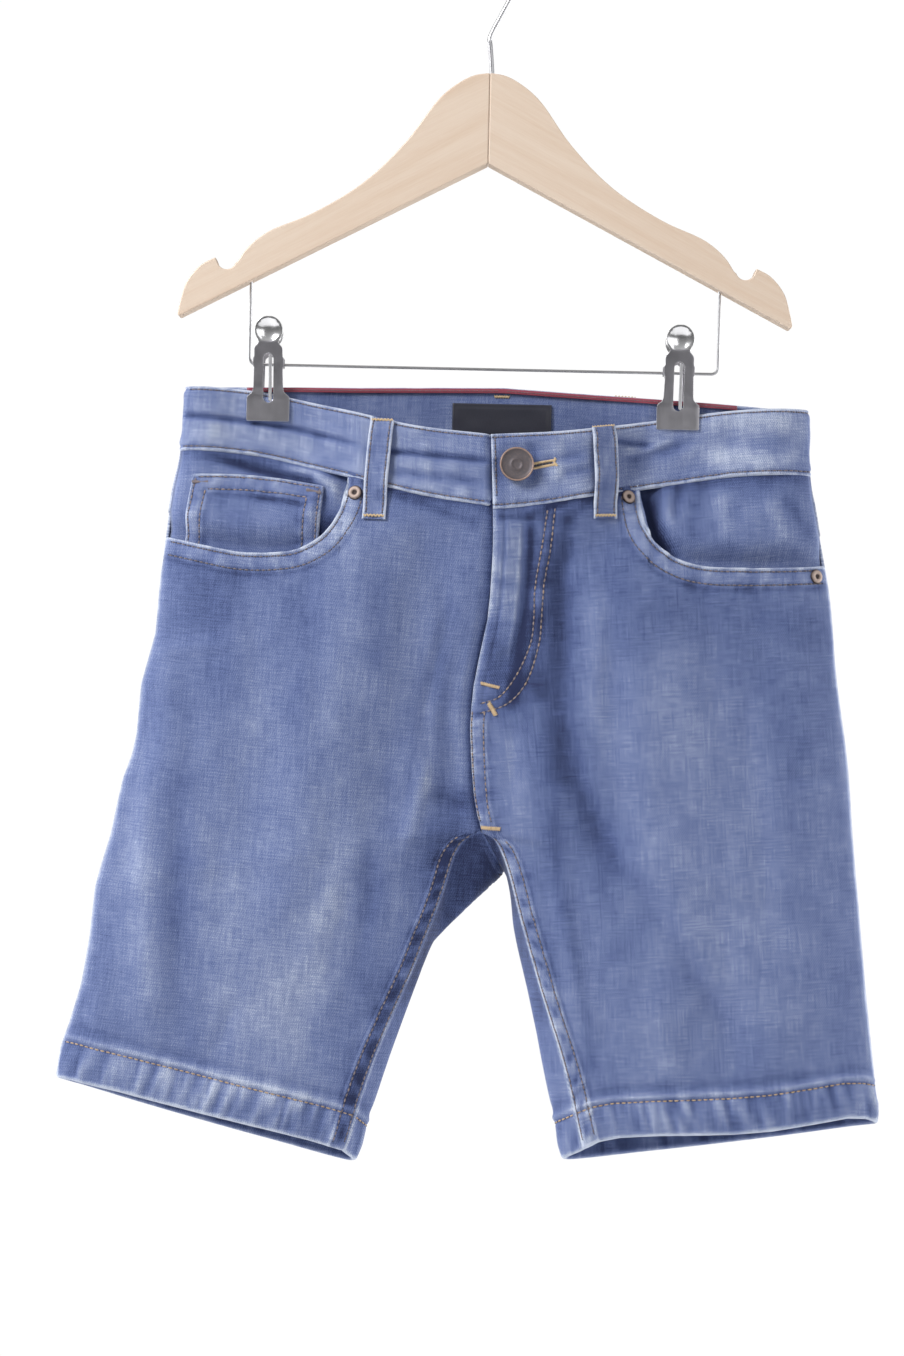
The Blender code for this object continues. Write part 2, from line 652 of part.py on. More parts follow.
def waistband():
    """One strip from its under end, round the back, to its top end at the centre front."""
    last = locate(LEFT, "front", UNDER_END, -30)[0]
    path = [(LEFT, "front", share, UNDER_LIFT) for share in between(last, last / 5, 4)]
    for share in [0.0] + between(0.02, UNDER_BLEND, 3) + between(UNDER_BLEND, 0.9, 12)[1:] + [0.96, 1.0]:
        path.append((RIGHT, "front", share, UNDER_LIFT * (1 - ramp(share, 0.0, UNDER_BLEND))))
    back = [0.96] + between(0.9, 0.0, 14)
    path += [(RIGHT, "back", share, 0.0) for share in back]
    path += [(LEFT, "back", share, 0.0) for share in back[::-1][1:]]
    path += [(LEFT, "front", share, 0.0) for share in [1.0, 0.96] + between(0.9, 0.0, 14)]

    def point(half, face, share, drop, lift):
        """Unlike `on_cloth`, this keeps no gap at a seam that the band runs across."""
        if share in (0.0, 1.0):
            normal = outward(half, face, share, drop)
            return place(middle(half, face, share, drop) + normal * lift)
        return on_cloth(half, face, share, drop, lift)

    def grid(side):
        return [
            [point(half, face, share, drop, lift + side * BAND_THICK / 2) for half, face, share, lift in path]
            for drop in (-BAND, -BAND / 2, -SEAM_GAP / 2)
        ]

    return loft("waistband", grid(1), grid(-1), DENIM_LOOK)


ZIP_THICK = 1.2
ZIP_LIFT = -(DENIM / 2 + LAY_GAP + ZIP_THICK / 2)
SHIELD_LIFT = ZIP_LIFT - ZIP_THICK / 2 - LAY_GAP - DENIM / 2
FLY_END = -150.0           # height of the lower end of the fly's opening


def behind_fly(name, x0, x1, top, bottom, lift, thick, look):
    """A strip behind the left front, from one x to another."""
    def grid(side):
        made = []
        for z in between(top, bottom, 8):
            ends = [locate(LEFT, "front", x, z) for x in (x0, x1)]
            row = []
            for t in between(0, 1, 4):
                share = max(0.004, ends[0][0] + (ends[1][0] - ends[0][0]) * t)
                drop = ends[0][1] + (ends[1][1] - ends[0][1]) * t
                row.append(on_cloth(LEFT, "front", share, drop, lift + side * thick / 2))
            made.append(row)
        return made

    return loft(name, grid(1), grid(-1), look)


LOOP_WIDTH = 11.6
LOOP_BULGE = 1.4           # the middle of a belt loop stands this much off the band
Loop = namedtuple("Loop", "name face top_x bottom_x top_z bottom_z")
LOOPS = (
    Loop("belt_loop_front_right", "front", -52.4, -56.0, -17.4, -68.0),
    Loop("belt_loop_front_left", "front", 53.4, 56.0, -16.0, -65.0),
    Loop("belt_loop_back_right", "back", -66.0, -67.0, -0.6, -50.0),
    Loop("belt_loop_back_left", "back", 66.0, 67.0, -1.6, -50.0),
    Loop("belt_loop_back_centre", "back", 5.5, 5.8, -0.5, -50.0),
)


def belt_loop(loop):
    on_band = BAND_THICK / 2 + LAY_GAP + LOOP_THICK / 2
    on_panel = DENIM / 2 + LAY_GAP + LOOP_THICK / 2
    rows = []
    for t in between(0, 1, 9):
        x = loop.top_x + (loop.bottom_x - loop.top_x) * t
        z = loop.top_z + (loop.bottom_z - loop.top_z) * t
        rows.append([(x + side * LOOP_WIDTH / 2, z) for side in (-1, -0.4, 0.4, 1)])

    def lift(t):
        seated = on_band + (on_panel - on_band) * ramp(t, 0.72, 0.86)
        return seated + LOOP_BULGE * ramp(t, 0.04, 0.2) * (1 - ramp(t, 0.6, 0.86))

    return patch(loop.name, loop.face, rows, lift, LOOP_THICK, DENIM_LOOK)


BackPocket = namedtuple("BackPocket", "top_in top_out low_in low_out top side point")
BACK_POCKET = BackPocket(28.0, 124.0, 33.0, 121.0, -94.0, -184.0, -203.0)


def back_pocket(name, half):
    """A plain five-sided patch pocket."""
    pocket = BACK_POCKET
    rows = []
    for t in between(0, 1, 8):
        inner = pocket.top_in + (pocket.low_in - pocket.top_in) * t
        outer = pocket.top_out + (pocket.low_out - pocket.top_out) * t
        row = []
        for u in between(0, 1, 8):
            low = pocket.side + (pocket.point - pocket.side) * (1 - abs(2 * u - 1))
            x = (inner + (outer - inner) * u) * half + 6.0
            row.append((x, pocket.top + (low - pocket.top) * t))
        rows.append(row)
    return patch(name, "back", rows, DENIM / 2 + LAY_GAP + PATCH_THICK / 2, PATCH_THICK, DENIM_LOOK)


LABEL = {"x": (-19.0, 30.0), "z": (-8.0, -25.0)}


def label():
    """The bare woven label inside the back of the band."""
    rows = [[(x, z) for x in between(*LABEL["x"], 6)] for z in LABEL["z"]]
    lift = -(BAND_THICK / 2 + LAY_GAP + LABEL_THICK / 2)
    return patch("label", "back", rows, lift, LABEL_THICK, ((0.02, 0.02, 0.035), 0.7))


TAPE_THICK, TAPE_WIDTH = 0.8, 3.4
TAPE_ENDS = {RIGHT: 0.80, LEFT: 0.76}


def tape():
    """The narrow tape that binds the band's inner edge across the back."""
    right = [(RIGHT, share) for share in between(TAPE_ENDS[RIGHT], 0.01, 14)]
    left = [(LEFT, share) for share in between(0.01, TAPE_ENDS[LEFT], 14)]

    def grid(side):
        lift = -(BAND_THICK / 2 + LAY_GAP + TAPE_THICK / 2) + side * TAPE_THICK / 2
        return [
            [on_cloth(half, "back", share, drop, lift) for half, share in right + left]
            for drop in (0.4 - BAND, 0.4 + TAPE_WIDTH - BAND)
        ]

    return loft("waist_tape", grid(1), grid(-1), ((0.28, 0.03, 0.06), 0.8))


# ---------------------------------------------------------------- button and rivets
STUD_FROM = 8.0            # height over the cloth from which a stud is lowered
BUTTON_AT = (12.5, -40.2)
ProfilePoint = namedtuple("ProfilePoint", "radius height")
BUTTON_PROFILE = (
    ProfilePoint(0.0, 3.4),
    ProfilePoint(4.6, 3.2),
    ProfilePoint(5.4, 2.7),
    ProfilePoint(6.4, 2.7),
    ProfilePoint(7.2, 3.5),
    ProfilePoint(8.4, 3.3),
    ProfilePoint(8.9, 2.4),
    ProfilePoint(8.6, 1.2),
    ProfilePoint(5.0, 0.0),
    ProfilePoint(0.0, 0.0),
)
RIVET_PROFILE = (
    ProfilePoint(0.0, 1.9),
    ProfilePoint(0.9, 1.8),
    ProfilePoint(1.3, 1.1),
    ProfilePoint(2.4, 1.2),
    ProfilePoint(3.3, 0.8),
    ProfilePoint(3.6, 0.0),
    ProfilePoint(0.0, 0.0),
)
Rivet = namedtuple("Rivet", "name half x z")
RIVETS = (
    Rivet("rivet_right_inner", RIGHT, -65.2, -54.9),
    Rivet("rivet_right_outer", RIGHT, -155.5, -84.2),
    Rivet("rivet_left_inner", LEFT, 67.6, -53.8),
    Rivet("rivet_left_outer", LEFT, 161.4, -90.3),
)


def stud(name, x, z, cloth, profile, segments):
    """A turned stud, lowered onto the cloth until it is one gap away from it."""
    half = half_at("front", x, z)
    share, drop = locate(half, "front", x, z)
    normal = own_normal(half, "front", share, drop)
    across = normal.cross(Vector((0, 0, 1))).normalized()
    above = on_cloth(half, "front", share, drop, STUD_FROM)
    surface = BVHTree.FromPolygons(
        [vertex.co for vertex in cloth.data.vertices], [face.vertices for face in cloth.data.polygons]
    )
    falls = []
    for u, v in [(0, 0)] + arc((0, 0), profile[-2][0], 0, 315, 7):
        start = above + (across * u + across.cross(normal) * v) * MM
        hit = surface.ray_cast(start, -normal, 2 * STUD_FROM * MM)
        if hit[0]:
            falls.append(hit[3])
    node = turned(name, profile, segments, COPPER_LOOK)
    node.location = above - normal * (min(falls) - SEAM_GAP * MM)
    node.rotation_mode = "QUATERNION"
    node.rotation_quaternion = normal.to_track_quat("Z", "Y")
    return node


# ---------------------------------------------------------------- hanger
ARM_THICK = 12.0
ARM_EDGE = 1.6             # rounding of its long edges
HOOK_IN_WOOD = 20.0        # length of the hook's shank inside the wood
BAR_WIRE = 0.9             # radius of the trouser bar
BAR_HALF, BAR_LOW, BAR_IN_WOOD = 115.6, 8.7, 9.0
BAR_BEND = 2.2

ArmPoint = namedtuple("ArmPoint", "x z")
ARM_TOP = (
    ArmPoint(0.0, CROWN),
    ArmPoint(8.0, 152.6),
    ArmPoint(16.5, 148.0),
    ArmPoint(25.0, 140.6),
    ArmPoint(40.5, 119.5),
    ArmPoint(61.0, 99.0),
    ArmPoint(86.0, 83.2),
    ArmPoint(108.0, 73.4),
    ArmPoint(117.5, 65.5),
    ArmPoint(122.8, 57.6),
)
ARM_TIP = (
    ArmPoint(133.0, 60.6),
    ArmPoint(140.0, 56.8),
    ArmPoint(146.8, 48.6),
    ArmPoint(150.0, 38.5),
    ArmPoint(151.3, 32.2),
)
NOTCH_CENTRE, NOTCH_RADIUS = (127.6, 59.4), 4.6
ARM_UNDER = (ArmPoint(150.2, 31.2), ArmPoint(0.0, 109.4))


def hanger_point(x, z, y=0.0):
    """From the hanger's x and the garment's z to the part's metres."""
    return Vector((x, y, z - WAIST_DROP)) * MM


def arm_outline():
    top, _ = spline([Vector((*point, 0)) for point in ARM_TOP], 2)
    tip, _ = spline([Vector((*point, 0)) for point in ARM_TIP], 2)
    notch = arc(NOTCH_CENTRE, NOTCH_RADIUS, 200, 340, 7)
    outline = [(p.x, p.y) for p in top[:-1]] + notch + [(p.x, p.y) for p in tip]
    return outline + list(ARM_UNDER)


def drill(node, name, centre, radius, length, turn=(0, 0, 0)):
    """Cut a round hole through a node; `turn` is the rotation of the hole's axis from upright."""
    bpy.ops.mesh.primitive_cylinder_add(vertices=16, radius=radius * MM, depth=length * MM)
    cutter = bpy.context.object
    cutter.name = name
    cutter.location = centre
    cutter.rotation_euler = turn
    for collection in list(cutter.users_collection):
        collection.objects.unlink(cutter)
    CUTTERS.objects.link(cutter)
    cutter.hide_render = True
    cutter.display_type = "WIRE"
    cut = node.modifiers.new(name, "BOOLEAN")
    cut.operation = "DIFFERENCE"
    cut.object = cutter


def hanger_arm(name, side):
    outline = [(side * max(x, SEAM_GAP / 2), z) for x, z in arm_outline()]
    flat = bmesh.new()
    face = flat.faces.new([flat.verts.new(hanger_point(x, z, ARM_THICK / 2)) for x, z in outline])
    made = bmesh.ops.extrude_face_region(flat, geom=[face])
    back = [item for item in made["geom"] if isinstance(item, bmesh.types.BMVert)]
    bmesh.ops.translate(flat, verts=back, vec=(0, -ARM_THICK * MM, 0))
    bmesh.ops.recalc_face_normals(flat, faces=flat.faces)
    mesh = bpy.data.meshes.new(name)
    flat.to_mesh(mesh)
    flat.free()
    node = finish(name, mesh, WOOD_LOOK, 25)
    bevel = node.modifiers.new("soften", "BEVEL")
    bevel.width = ARM_EDGE * MM
    bevel.segments = 2
    bevel.limit_method = "ANGLE"
    bevel.angle_limit = math.radians(60)
    bar_end = hanger_point(side * BAR_HALF, arm_under_z(BAR_HALF))
    drill(node, name + "_bar_hole", bar_end, BAR_WIRE + SEAM_GAP, 2 * BAR_IN_WOOD + 1)
    shank = hanger_point(HOOK_FOOT[0], CROWN)
    drill(node, name + "_hook_hole", shank, HOOK_WIRE + SEAM_GAP, 2 * HOOK_IN_WOOD + 1)
    return node


def arm_under_z(x):
    tip, apex = ARM_UNDER
    return apex.z + (tip.z - apex.z) * x / tip.x


def hook():
    """Up from the wood, over a kink into a slanted run, and round an open arc."""
    centre = (0.0, HOOK_CENTRE_Z)
    start = (HOOK_RADIUS * math.cos(HOOK_LEAN), HOOK_CENTRE_Z - HOOK_RADIUS * math.sin(HOOK_LEAN))
    halfway = ((HOOK_KINK[0] + start[0]) / 2, (HOOK_KINK[1] + start[1]) / 2)
    kink = [(-0.2, 168.5), (-0.5, 171.0), (0.1, 173.6)]
    points = [(HOOK_FOOT[0], CROWN - HOOK_IN_WOOD), HOOK_FOOT, *kink, halfway]
    points += arc(centre, HOOK_RADIUS, -HOOK_RUN, 205, 22)
    return wire("hanger_hook", [hanger_point(x, z) for x, z in points], HOOK_WIRE, WIRE_LOOK, 2)


def trouser_bar():
    inside = BAR_HALF - BAR_BEND
    top = arm_under_z(BAR_HALF) + BAR_IN_WOOD
    right = [(BAR_HALF, top), *arc((inside, BAR_LOW + BAR_BEND), BAR_BEND, 0, -90, 6)]
    points = [(-x, z) for x, z in right] + [(x, z) for x, z in reversed(right)]
    return wire("trouser_bar", [hanger_point(x, z) for x, z in points], BAR_WIRE, WIRE_LOOK, 2)


PLATE_THICK = 0.9
SLOT_HALF = 2.3
# The front plate of a clip from its jaw to its thumb pad: z over the waistband's top edge, y in
# front of the bar, half the width, half the slot's width, and how far its middle is pressed in.
PlateRow = namedtuple("PlateRow", "z y half slot dish")
PLATE = (
    PlateRow(-19.4, 4.2, 10.6, 0.0, 0.0),
    PlateRow(-13.0, 4.2, 10.6, 0.0, 0.0),
    PlateRow(-8.2, 4.3, 10.6, 0.0, 0.0),
    PlateRow(-7.2, 4.4, 10.4, 1.2, 0.0),
    PlateRow(-5.8, 4.7, 8.6, SLOT_HALF, 0.0),
    PlateRow(-4.4, 5.1, 7.3, SLOT_HALF, 0.0),
    PlateRow(4.7, 7.2, 7.1, SLOT_HALF, 0.0),
    PlateRow(12.7, 8.9, 7.0, SLOT_HALF, 0.0),
    PlateRow(15.3, 9.4, 7.0, 1.2, 0.0),
    PlateRow(16.4, 9.6, 7.0, 0.0, 0.0),
    PlateRow(18.2, 9.9, 5.6, 0.0, 0.0),
    PlateRow(19.8, 10.2, 4.9, 0.0, 0.3),
    PlateRow(21.4, 10.4, 5.9, 0.0, 0.9),
    PlateRow(24.6, 10.9, 6.9, 0.0, 1.4),
    PlateRow(27.8, 11.4, 5.9, 0.0, 1.2),
    PlateRow(30.4, 11.8, 3.4, 0.0, 0.6),
)
LUG_ROWS = (6, 7)          # the two rows between which a lug is bent back to the bar
LUG_REACH = 2.6            # how far the lug goes behind the bar


def clip_plate(name, centre, side):
    """A pressed plate with its slot and its two lugs; `side` is -1 in front of the bar."""
    plate = bmesh.new()
    inset = 0.0 if side < 0 else PLATE_THICK + SEAM_GAP
    columns = []
    for row in PLATE:
        half = row.half - (inset if row.z > -4.5 and row.z < 16.5 else 0.0)
        inner = row.slot or half * 0.4
        across = ((-half, row.y), (-inner, row.y - row.dish), (inner, row.y - row.dish), (half, row.y))
        columns.append([plate.verts.new(hanger_point(centre + x, row.z, side * y)) for x, y in across])
    for low, high, a, b in zip(columns, columns[1:], PLATE, PLATE[1:]):
        for k in range(3):
            if k != 1 or not (a.slot and b.slot):
                plate.faces.new((low[k], low[k + 1], high[k + 1], high[k]))
    for column in (0, 3):
        low, high = (columns[r][column] for r in LUG_ROWS)
        back = [plate.verts.new((v.co.x, -side * LUG_REACH * MM, v.co.z)) for v in (low, high)]
        plate.faces.new((low, high, back[1], back[0]))
    bmesh.ops.recalc_face_normals(plate, faces=plate.faces)
    mesh = bpy.data.meshes.new(name)
    plate.to_mesh(mesh)
    plate.free()
    node = finish(name, mesh, STEEL_LOOK, 30)
    thicken = node.modifiers.new("sheet", "SOLIDIFY")
    thicken.thickness = PLATE_THICK * MM
    thicken.offset = 0
    thicken.use_even_offset = True
    bar = hanger_point(centre, BAR_LOW)
    drill(node, name + "_bar_hole", bar, BAR_WIRE + SEAM_GAP, 40, (0, math.pi / 2, 0))
    return node


SPRING_PROFILE = (
    ProfilePoint(BAR_WIRE + SEAM_GAP, 4.2),
    ProfilePoint(3.0, 4.2),
    ProfilePoint(3.0, -4.2),
    ProfilePoint(BAR_WIRE + SEAM_GAP, -4.2),
)
CLIPS = {"right": CLIP_X[RIGHT], "left": CLIP_X[LEFT]}


def clip(side_name, x):
    centre = x + GARMENT_X
    clip_plate(f"clip_{side_name}_front", centre, -1)
    clip_plate(f"clip_{side_name}_back", centre, 1)
    spring = turned(f"clip_{side_name}_spring", SPRING_PROFILE, 16, STEEL_LOOK, closed=True)
    spring.location = hanger_point(centre, BAR_LOW)
    spring.rotation_euler = (0, math.pi / 2, 0)


def build():
    fronts = {}
    for name, half in (("right", RIGHT), ("left", LEFT)):
        fronts[half] = front_panel(f"front_{name}", half)
        back_panel(f"back_{name}", half)
        yoke(f"yoke_{name}", half)
        pocket_piece(f"pocket_{name}", half)
        back_pocket(f"back_pocket_{name}", half)
    coin_pocket()
    band = waistband()
    behind_fly("zip", 0.5, 16, -66, FLY_END + 6, ZIP_LIFT, ZIP_THICK, ((0.25, 0.18, 0.1), 0.5))
    behind_fly("fly_shield", 0.5, UNDER_END, -64, FLY_END - 2, SHIELD_LIFT, DENIM, DARK_DENIM_LOOK)
    for loop in LOOPS:
        belt_loop(loop)
    label()
    tape()
    stud("button", *BUTTON_AT, band, BUTTON_PROFILE, 24)
    for rivet in RIVETS:
        stud(rivet.name, rivet.x, rivet.z, fronts[rivet.half], RIVET_PROFILE, 12)
    hanger_arm("hanger_arm_right", RIGHT)
    hanger_arm("hanger_arm_left", LEFT)
    hook()
    trouser_bar()
    for side_name, x in CLIPS.items():
        clip(side_name, x)


for old in list(bpy.data.objects):
    bpy.data.objects.remove(old)
PARTS = bpy.data.collections.new("denim_shorts_on_clip_hanger")
CUTTERS = bpy.data.collections.new("cutters")
for collection in (PARTS, CUTTERS):
    bpy.context.scene.collection.children.link(collection)
build()
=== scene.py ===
"""How the denim shorts on their clip hanger look.

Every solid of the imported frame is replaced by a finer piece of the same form. Sizes are millimetres
in the garment's own axes: zero is the top edge of the waistband at the centre back, x runs to the
wearer's left, y to the back and z up. Right and left are the wearer's. `place` takes a point to the
frame's metres.
"""

import math
from collections import namedtuple

import bmesh
import bpy
import numpy as np
from mathutils import Matrix, Vector


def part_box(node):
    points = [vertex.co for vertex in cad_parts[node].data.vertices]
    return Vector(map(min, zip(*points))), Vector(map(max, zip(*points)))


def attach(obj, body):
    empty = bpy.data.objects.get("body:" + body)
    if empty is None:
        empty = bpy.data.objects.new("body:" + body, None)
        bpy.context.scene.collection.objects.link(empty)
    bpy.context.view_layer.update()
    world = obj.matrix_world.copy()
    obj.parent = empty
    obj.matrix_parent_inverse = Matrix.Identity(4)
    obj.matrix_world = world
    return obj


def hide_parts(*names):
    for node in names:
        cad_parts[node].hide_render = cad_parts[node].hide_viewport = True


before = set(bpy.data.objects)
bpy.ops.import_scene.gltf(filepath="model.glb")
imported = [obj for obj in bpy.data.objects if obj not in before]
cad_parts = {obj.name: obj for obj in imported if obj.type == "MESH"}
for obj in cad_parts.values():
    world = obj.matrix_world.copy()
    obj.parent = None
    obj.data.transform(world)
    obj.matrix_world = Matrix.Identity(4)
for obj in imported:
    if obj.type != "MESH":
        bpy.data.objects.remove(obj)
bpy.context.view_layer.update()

MM = 0.001
RIGHT, LEFT = -1, 1
SIDES = {RIGHT: "right", LEFT: "left"}

# ---------------------------------------------------------------- sizes
GARMENT_X = 4.0            # the garment's centre line from the hook's axis
BAND = 34.0                # height of the waistband
LEG = 311.0                # waist seam to hem edge, down the side seam
HEM = 19.0                 # height of the turned-up hem
DENIM = 1.4                # thickness of one layer of denim
BAND_THICK = 2.6
HEM_THICK = 3.0
FACING_THICK = 1.0
LOOP_THICK = 1.4
PATCH_THICK = 1.2
LABEL_THICK = 0.6
LAY_GAP = 0.6              # space between two layers of the frame
FACING_SINK = 4.0          # pocket facing's middle behind the front panel's middle
SIDE_SINK = 1.7            # and beside the side seam

CROWN = 154.0              # the wooden hanger's crown above the waistband's top edge
HOOK_WIRE = 1.2
HOOK_RADIUS = 16.5
HOOK_FOOT = (1.0, CROWN)
HOOK_KINK = (-0.6, 172.5)
HOOK_RUN = 27.0
HOOK_LEAN = math.radians(HOOK_RUN)
HOOK_CENTRE_Z = HOOK_KINK[1] + (HOOK_RADIUS - HOOK_KINK[0] * math.cos(HOOK_LEAN)) / math.sin(HOOK_LEAN)
WAIST_DROP = HOOK_CENTRE_Z + HOOK_RADIUS - HOOK_WIRE

# ---------------------------------------------------------------- the form of the cloth
# One row for each section across a half of the garment, as in the solids' own source.
Outline = namedtuple("Outline", "drop side_x side_z front_x front_z back_x back_z fold_x fold_z")
CROTCH_DROP = 204.0
RIGHT_HALF = (
    Outline(-34, -150.0, -3, 0.0, -25, 5.5, 0, 5.5, 0),
    Outline(0, -152.0, -34, 1.5, -58, 5.5, -34, 5.5, -34),
    Outline(28, -156.5, -62, 2.0, -81, 6.0, -62, 6.0, -62),
    Outline(62, -160.5, -96, 1.0, -109, 6.5, -97, 6.5, -97),
    Outline(100, -167.5, -134, 0.0, -141, 7.5, -137, 7.5, -137),
    Outline(142, -176.0, -177, -2.5, -176, 9.0, -183, 9.0, -183),
    Outline(175, -183.0, -210, -3.0, -202, 11.0, -222, 11.0, -222),
    Outline(188, -185.6, -223, -2.0, -210, 11.5, -234, 9.0, -240),
    Outline(197, -187.5, -232, -1.2, -214, 8.0, -233, 1.0, -249),
    Outline(204, -189.0, -239, -0.5, -218, -0.5, -218, -6.0, -256),
    Outline(211, -190.2, -246, -7.0, -221, -7.0, -221, -12.0, -262),
    Outline(220, -191.8, -255, -13.0, -229, -13.0, -229, -20.0, -270),
    Outline(236, -194.5, -271, -19.0, -249, -19.0, -249, -28.0, -280),
    Outline(262, -198.5, -297, -33.0, -287, -33.0, -287, -37.0, -306),
    Outline(287, -203.5, -321, -51.0, -331, -51.0, -331, -48.0, -342),
    Outline(311, -207.0, -345, -65.0, -377, -65.0, -377, -60.0, -382),
)
LEFT_HALF = (
    Outline(-34, 155.5, -8, 0.0, -25, 5.5, 0, 5.5, 0),
    Outline(0, 157.5, -40, 1.5, -58, 5.5, -34, 5.5, -34),
    Outline(28, 162.0, -67, 2.0, -81, 6.0, -62, 6.0, -62),
    Outline(62, 168.5, -101, 1.0, -109, 6.5, -97, 6.5, -97),
    Outline(100, 172.5, -139, 0.0, -141, 7.5, -137, 7.5, -137),
    Outline(142, 179.0, -182, -2.5, -176, 9.0, -183, 9.0, -183),
    Outline(175, 182.0, -215, -3.0, -202, 11.0, -222, 11.0, -222),
    Outline(188, 183.3, -228, -2.0, -210, 11.5, -234, 15.5, -238),
    Outline(197, 184.2, -237, -1.2, -214, 8.0, -233, 20.0, -243),
    Outline(204, 185.0, -244, -0.5, -218, -0.5, -218, 22.0, -248),
    Outline(211, 185.8, -251, 7.0, -223, 7.0, -223, 21.0, -252),
    Outline(220, 186.7, -260, 13.0, -236, 13.0, -236, 19.5, -257),
    Outline(236, 188.5, -277, 20.0, -261, 20.0, -261, 18.5, -268),
    Outline(262, 191.5, -304, 31.0, -297, 31.0, -297, 26.0, -300),
    Outline(287, 195.0, -332, 43.0, -334, 43.0, -334, 34.0, -337),
    Outline(311, 198.0, -359, 53.0, -374, 53.0, -374, 44.0, -379),
)
# How far the cloth stands out from the middle plane: f to the front, b to the back, at these
# shares of the way from the inner seam to the side. `seam` is the back panel's inner edge.
STATIONS = (0.25, 0.50, 0.75, 0.93)
Depth = namedtuple("Depth", "drop f0 f25 f50 f75 f93 b93 b75 b50 b25 b0 seam")
DEPTHS = (
    Depth(-34, 23, 20, 13, 8, 6.0, 6.0, 5, 4, 3, 3, 3),
    Depth(0, 26, 23, 15, 9, 7.0, 7.0, 7, 6, 5, 5, 5),
    Depth(28, 24, 24, 19, 13, 8.0, 8.0, 9, 9, 8, 7, 7),
    Depth(62, 20, 24, 22, 16, 9.0, 9.0, 12, 13, 11, 10, 10),
    Depth(100, 16, 23, 23, 17, 9.0, 9.0, 14, 16, 15, 13, 13),
    Depth(142, 13, 21, 23, 17, 9.0, 9.0, 15, 18, 17, 14, 14),
    Depth(175, 12, 20, 22, 17, 9.0, 9.0, 15, 18, 17, 11, 11),
    Depth(188, 12, 20, 22, 17, 9.0, 9.0, 15, 18, 16, 10, 6),
    Depth(197, 12, 20, 22, 17, 9.0, 9.0, 15, 18, 16, 7, -4),
    Depth(204, 12, 20, 22, 17, 9.0, 9.0, 15, 18, 15, 5, -12),
    Depth(211, 11, 20, 22, 17, 9.0, 9.0, 14, 17, 14, 5, -11),
    Depth(220, 10, 20, 21, 16, 9.0, 9.0, 14, 17, 14, 5, -10),
    Depth(236, 10, 19, 20, 16, 8.5, 8.5, 14, 16, 13, 5, -10),
    Depth(262, 10, 17, 18, 15, 8.0, 8.0, 13, 15, 12, 4, -10),
    Depth(287, 9, 15, 16, 14, 8.0, 8.0, 12, 14, 11, 3, -9),
    Depth(311, 8, 14, 15, 13, 8.0, 8.0, 12, 13, 10, 2, -8),
)
HEM_SAG = 3.5              # the back of each hem hangs this much lower between its seams
SAG_FROM = 200.0           # from this drop down

# The clips press the waistband flat round these places.
CLIP_X = {RIGHT: -109.8, LEFT: 92.0}
PINCH_HALF = 12.0          # half the width that is pressed flat
PINCH_BLEND = 36.0         # and the width over which it opens out again
PINCH_DEPTH = BAND_THICK / 2 + 0.8
PINCH_TOP, PINCH_END = -16.0, 42.0     # drops between which that flattening ends

# The largest folds: a soft ridge, or a trough where it is negative, from one point to another.
Fold = namedtuple("Fold", "x0 z0 x1 z1 width amount")
FOLDS = {
    "front": (
        Fold(-60, -75, -95, -250, 17, 3.0),
        Fold(-30, -80, -48, -215, 13, -2.5),
        Fold(-165, -150, -160, -300, 15, 2.5),
        Fold(-110, -190, -140, -330, 20, -2.5),
        Fold(-8, -130, -12, -205, 9, -3.0),
        Fold(45, -75, 62, -215, 14, -3.0),
        Fold(80, -110, 95, -300, 19, 3.0),
        Fold(60, -215, 120, -330, 18, -2.5),
        Fold(150, -120, 158, -300, 18, 2.0),
    ),
    "back": (
        Fold(-70, -110, -90, -280, 18, 3.0),
        Fold(-35, -150, -60, -240, 14, -3.0),
        Fold(70, -120, 85, -290, 18, 3.0),
        Fold(40, -160, 60, -250, 14, -3.0),
        Fold(-150, -150, -160, -310, 17, 2.5),
        Fold(140, -150, 150, -310, 17, -2.0),
    ),
}


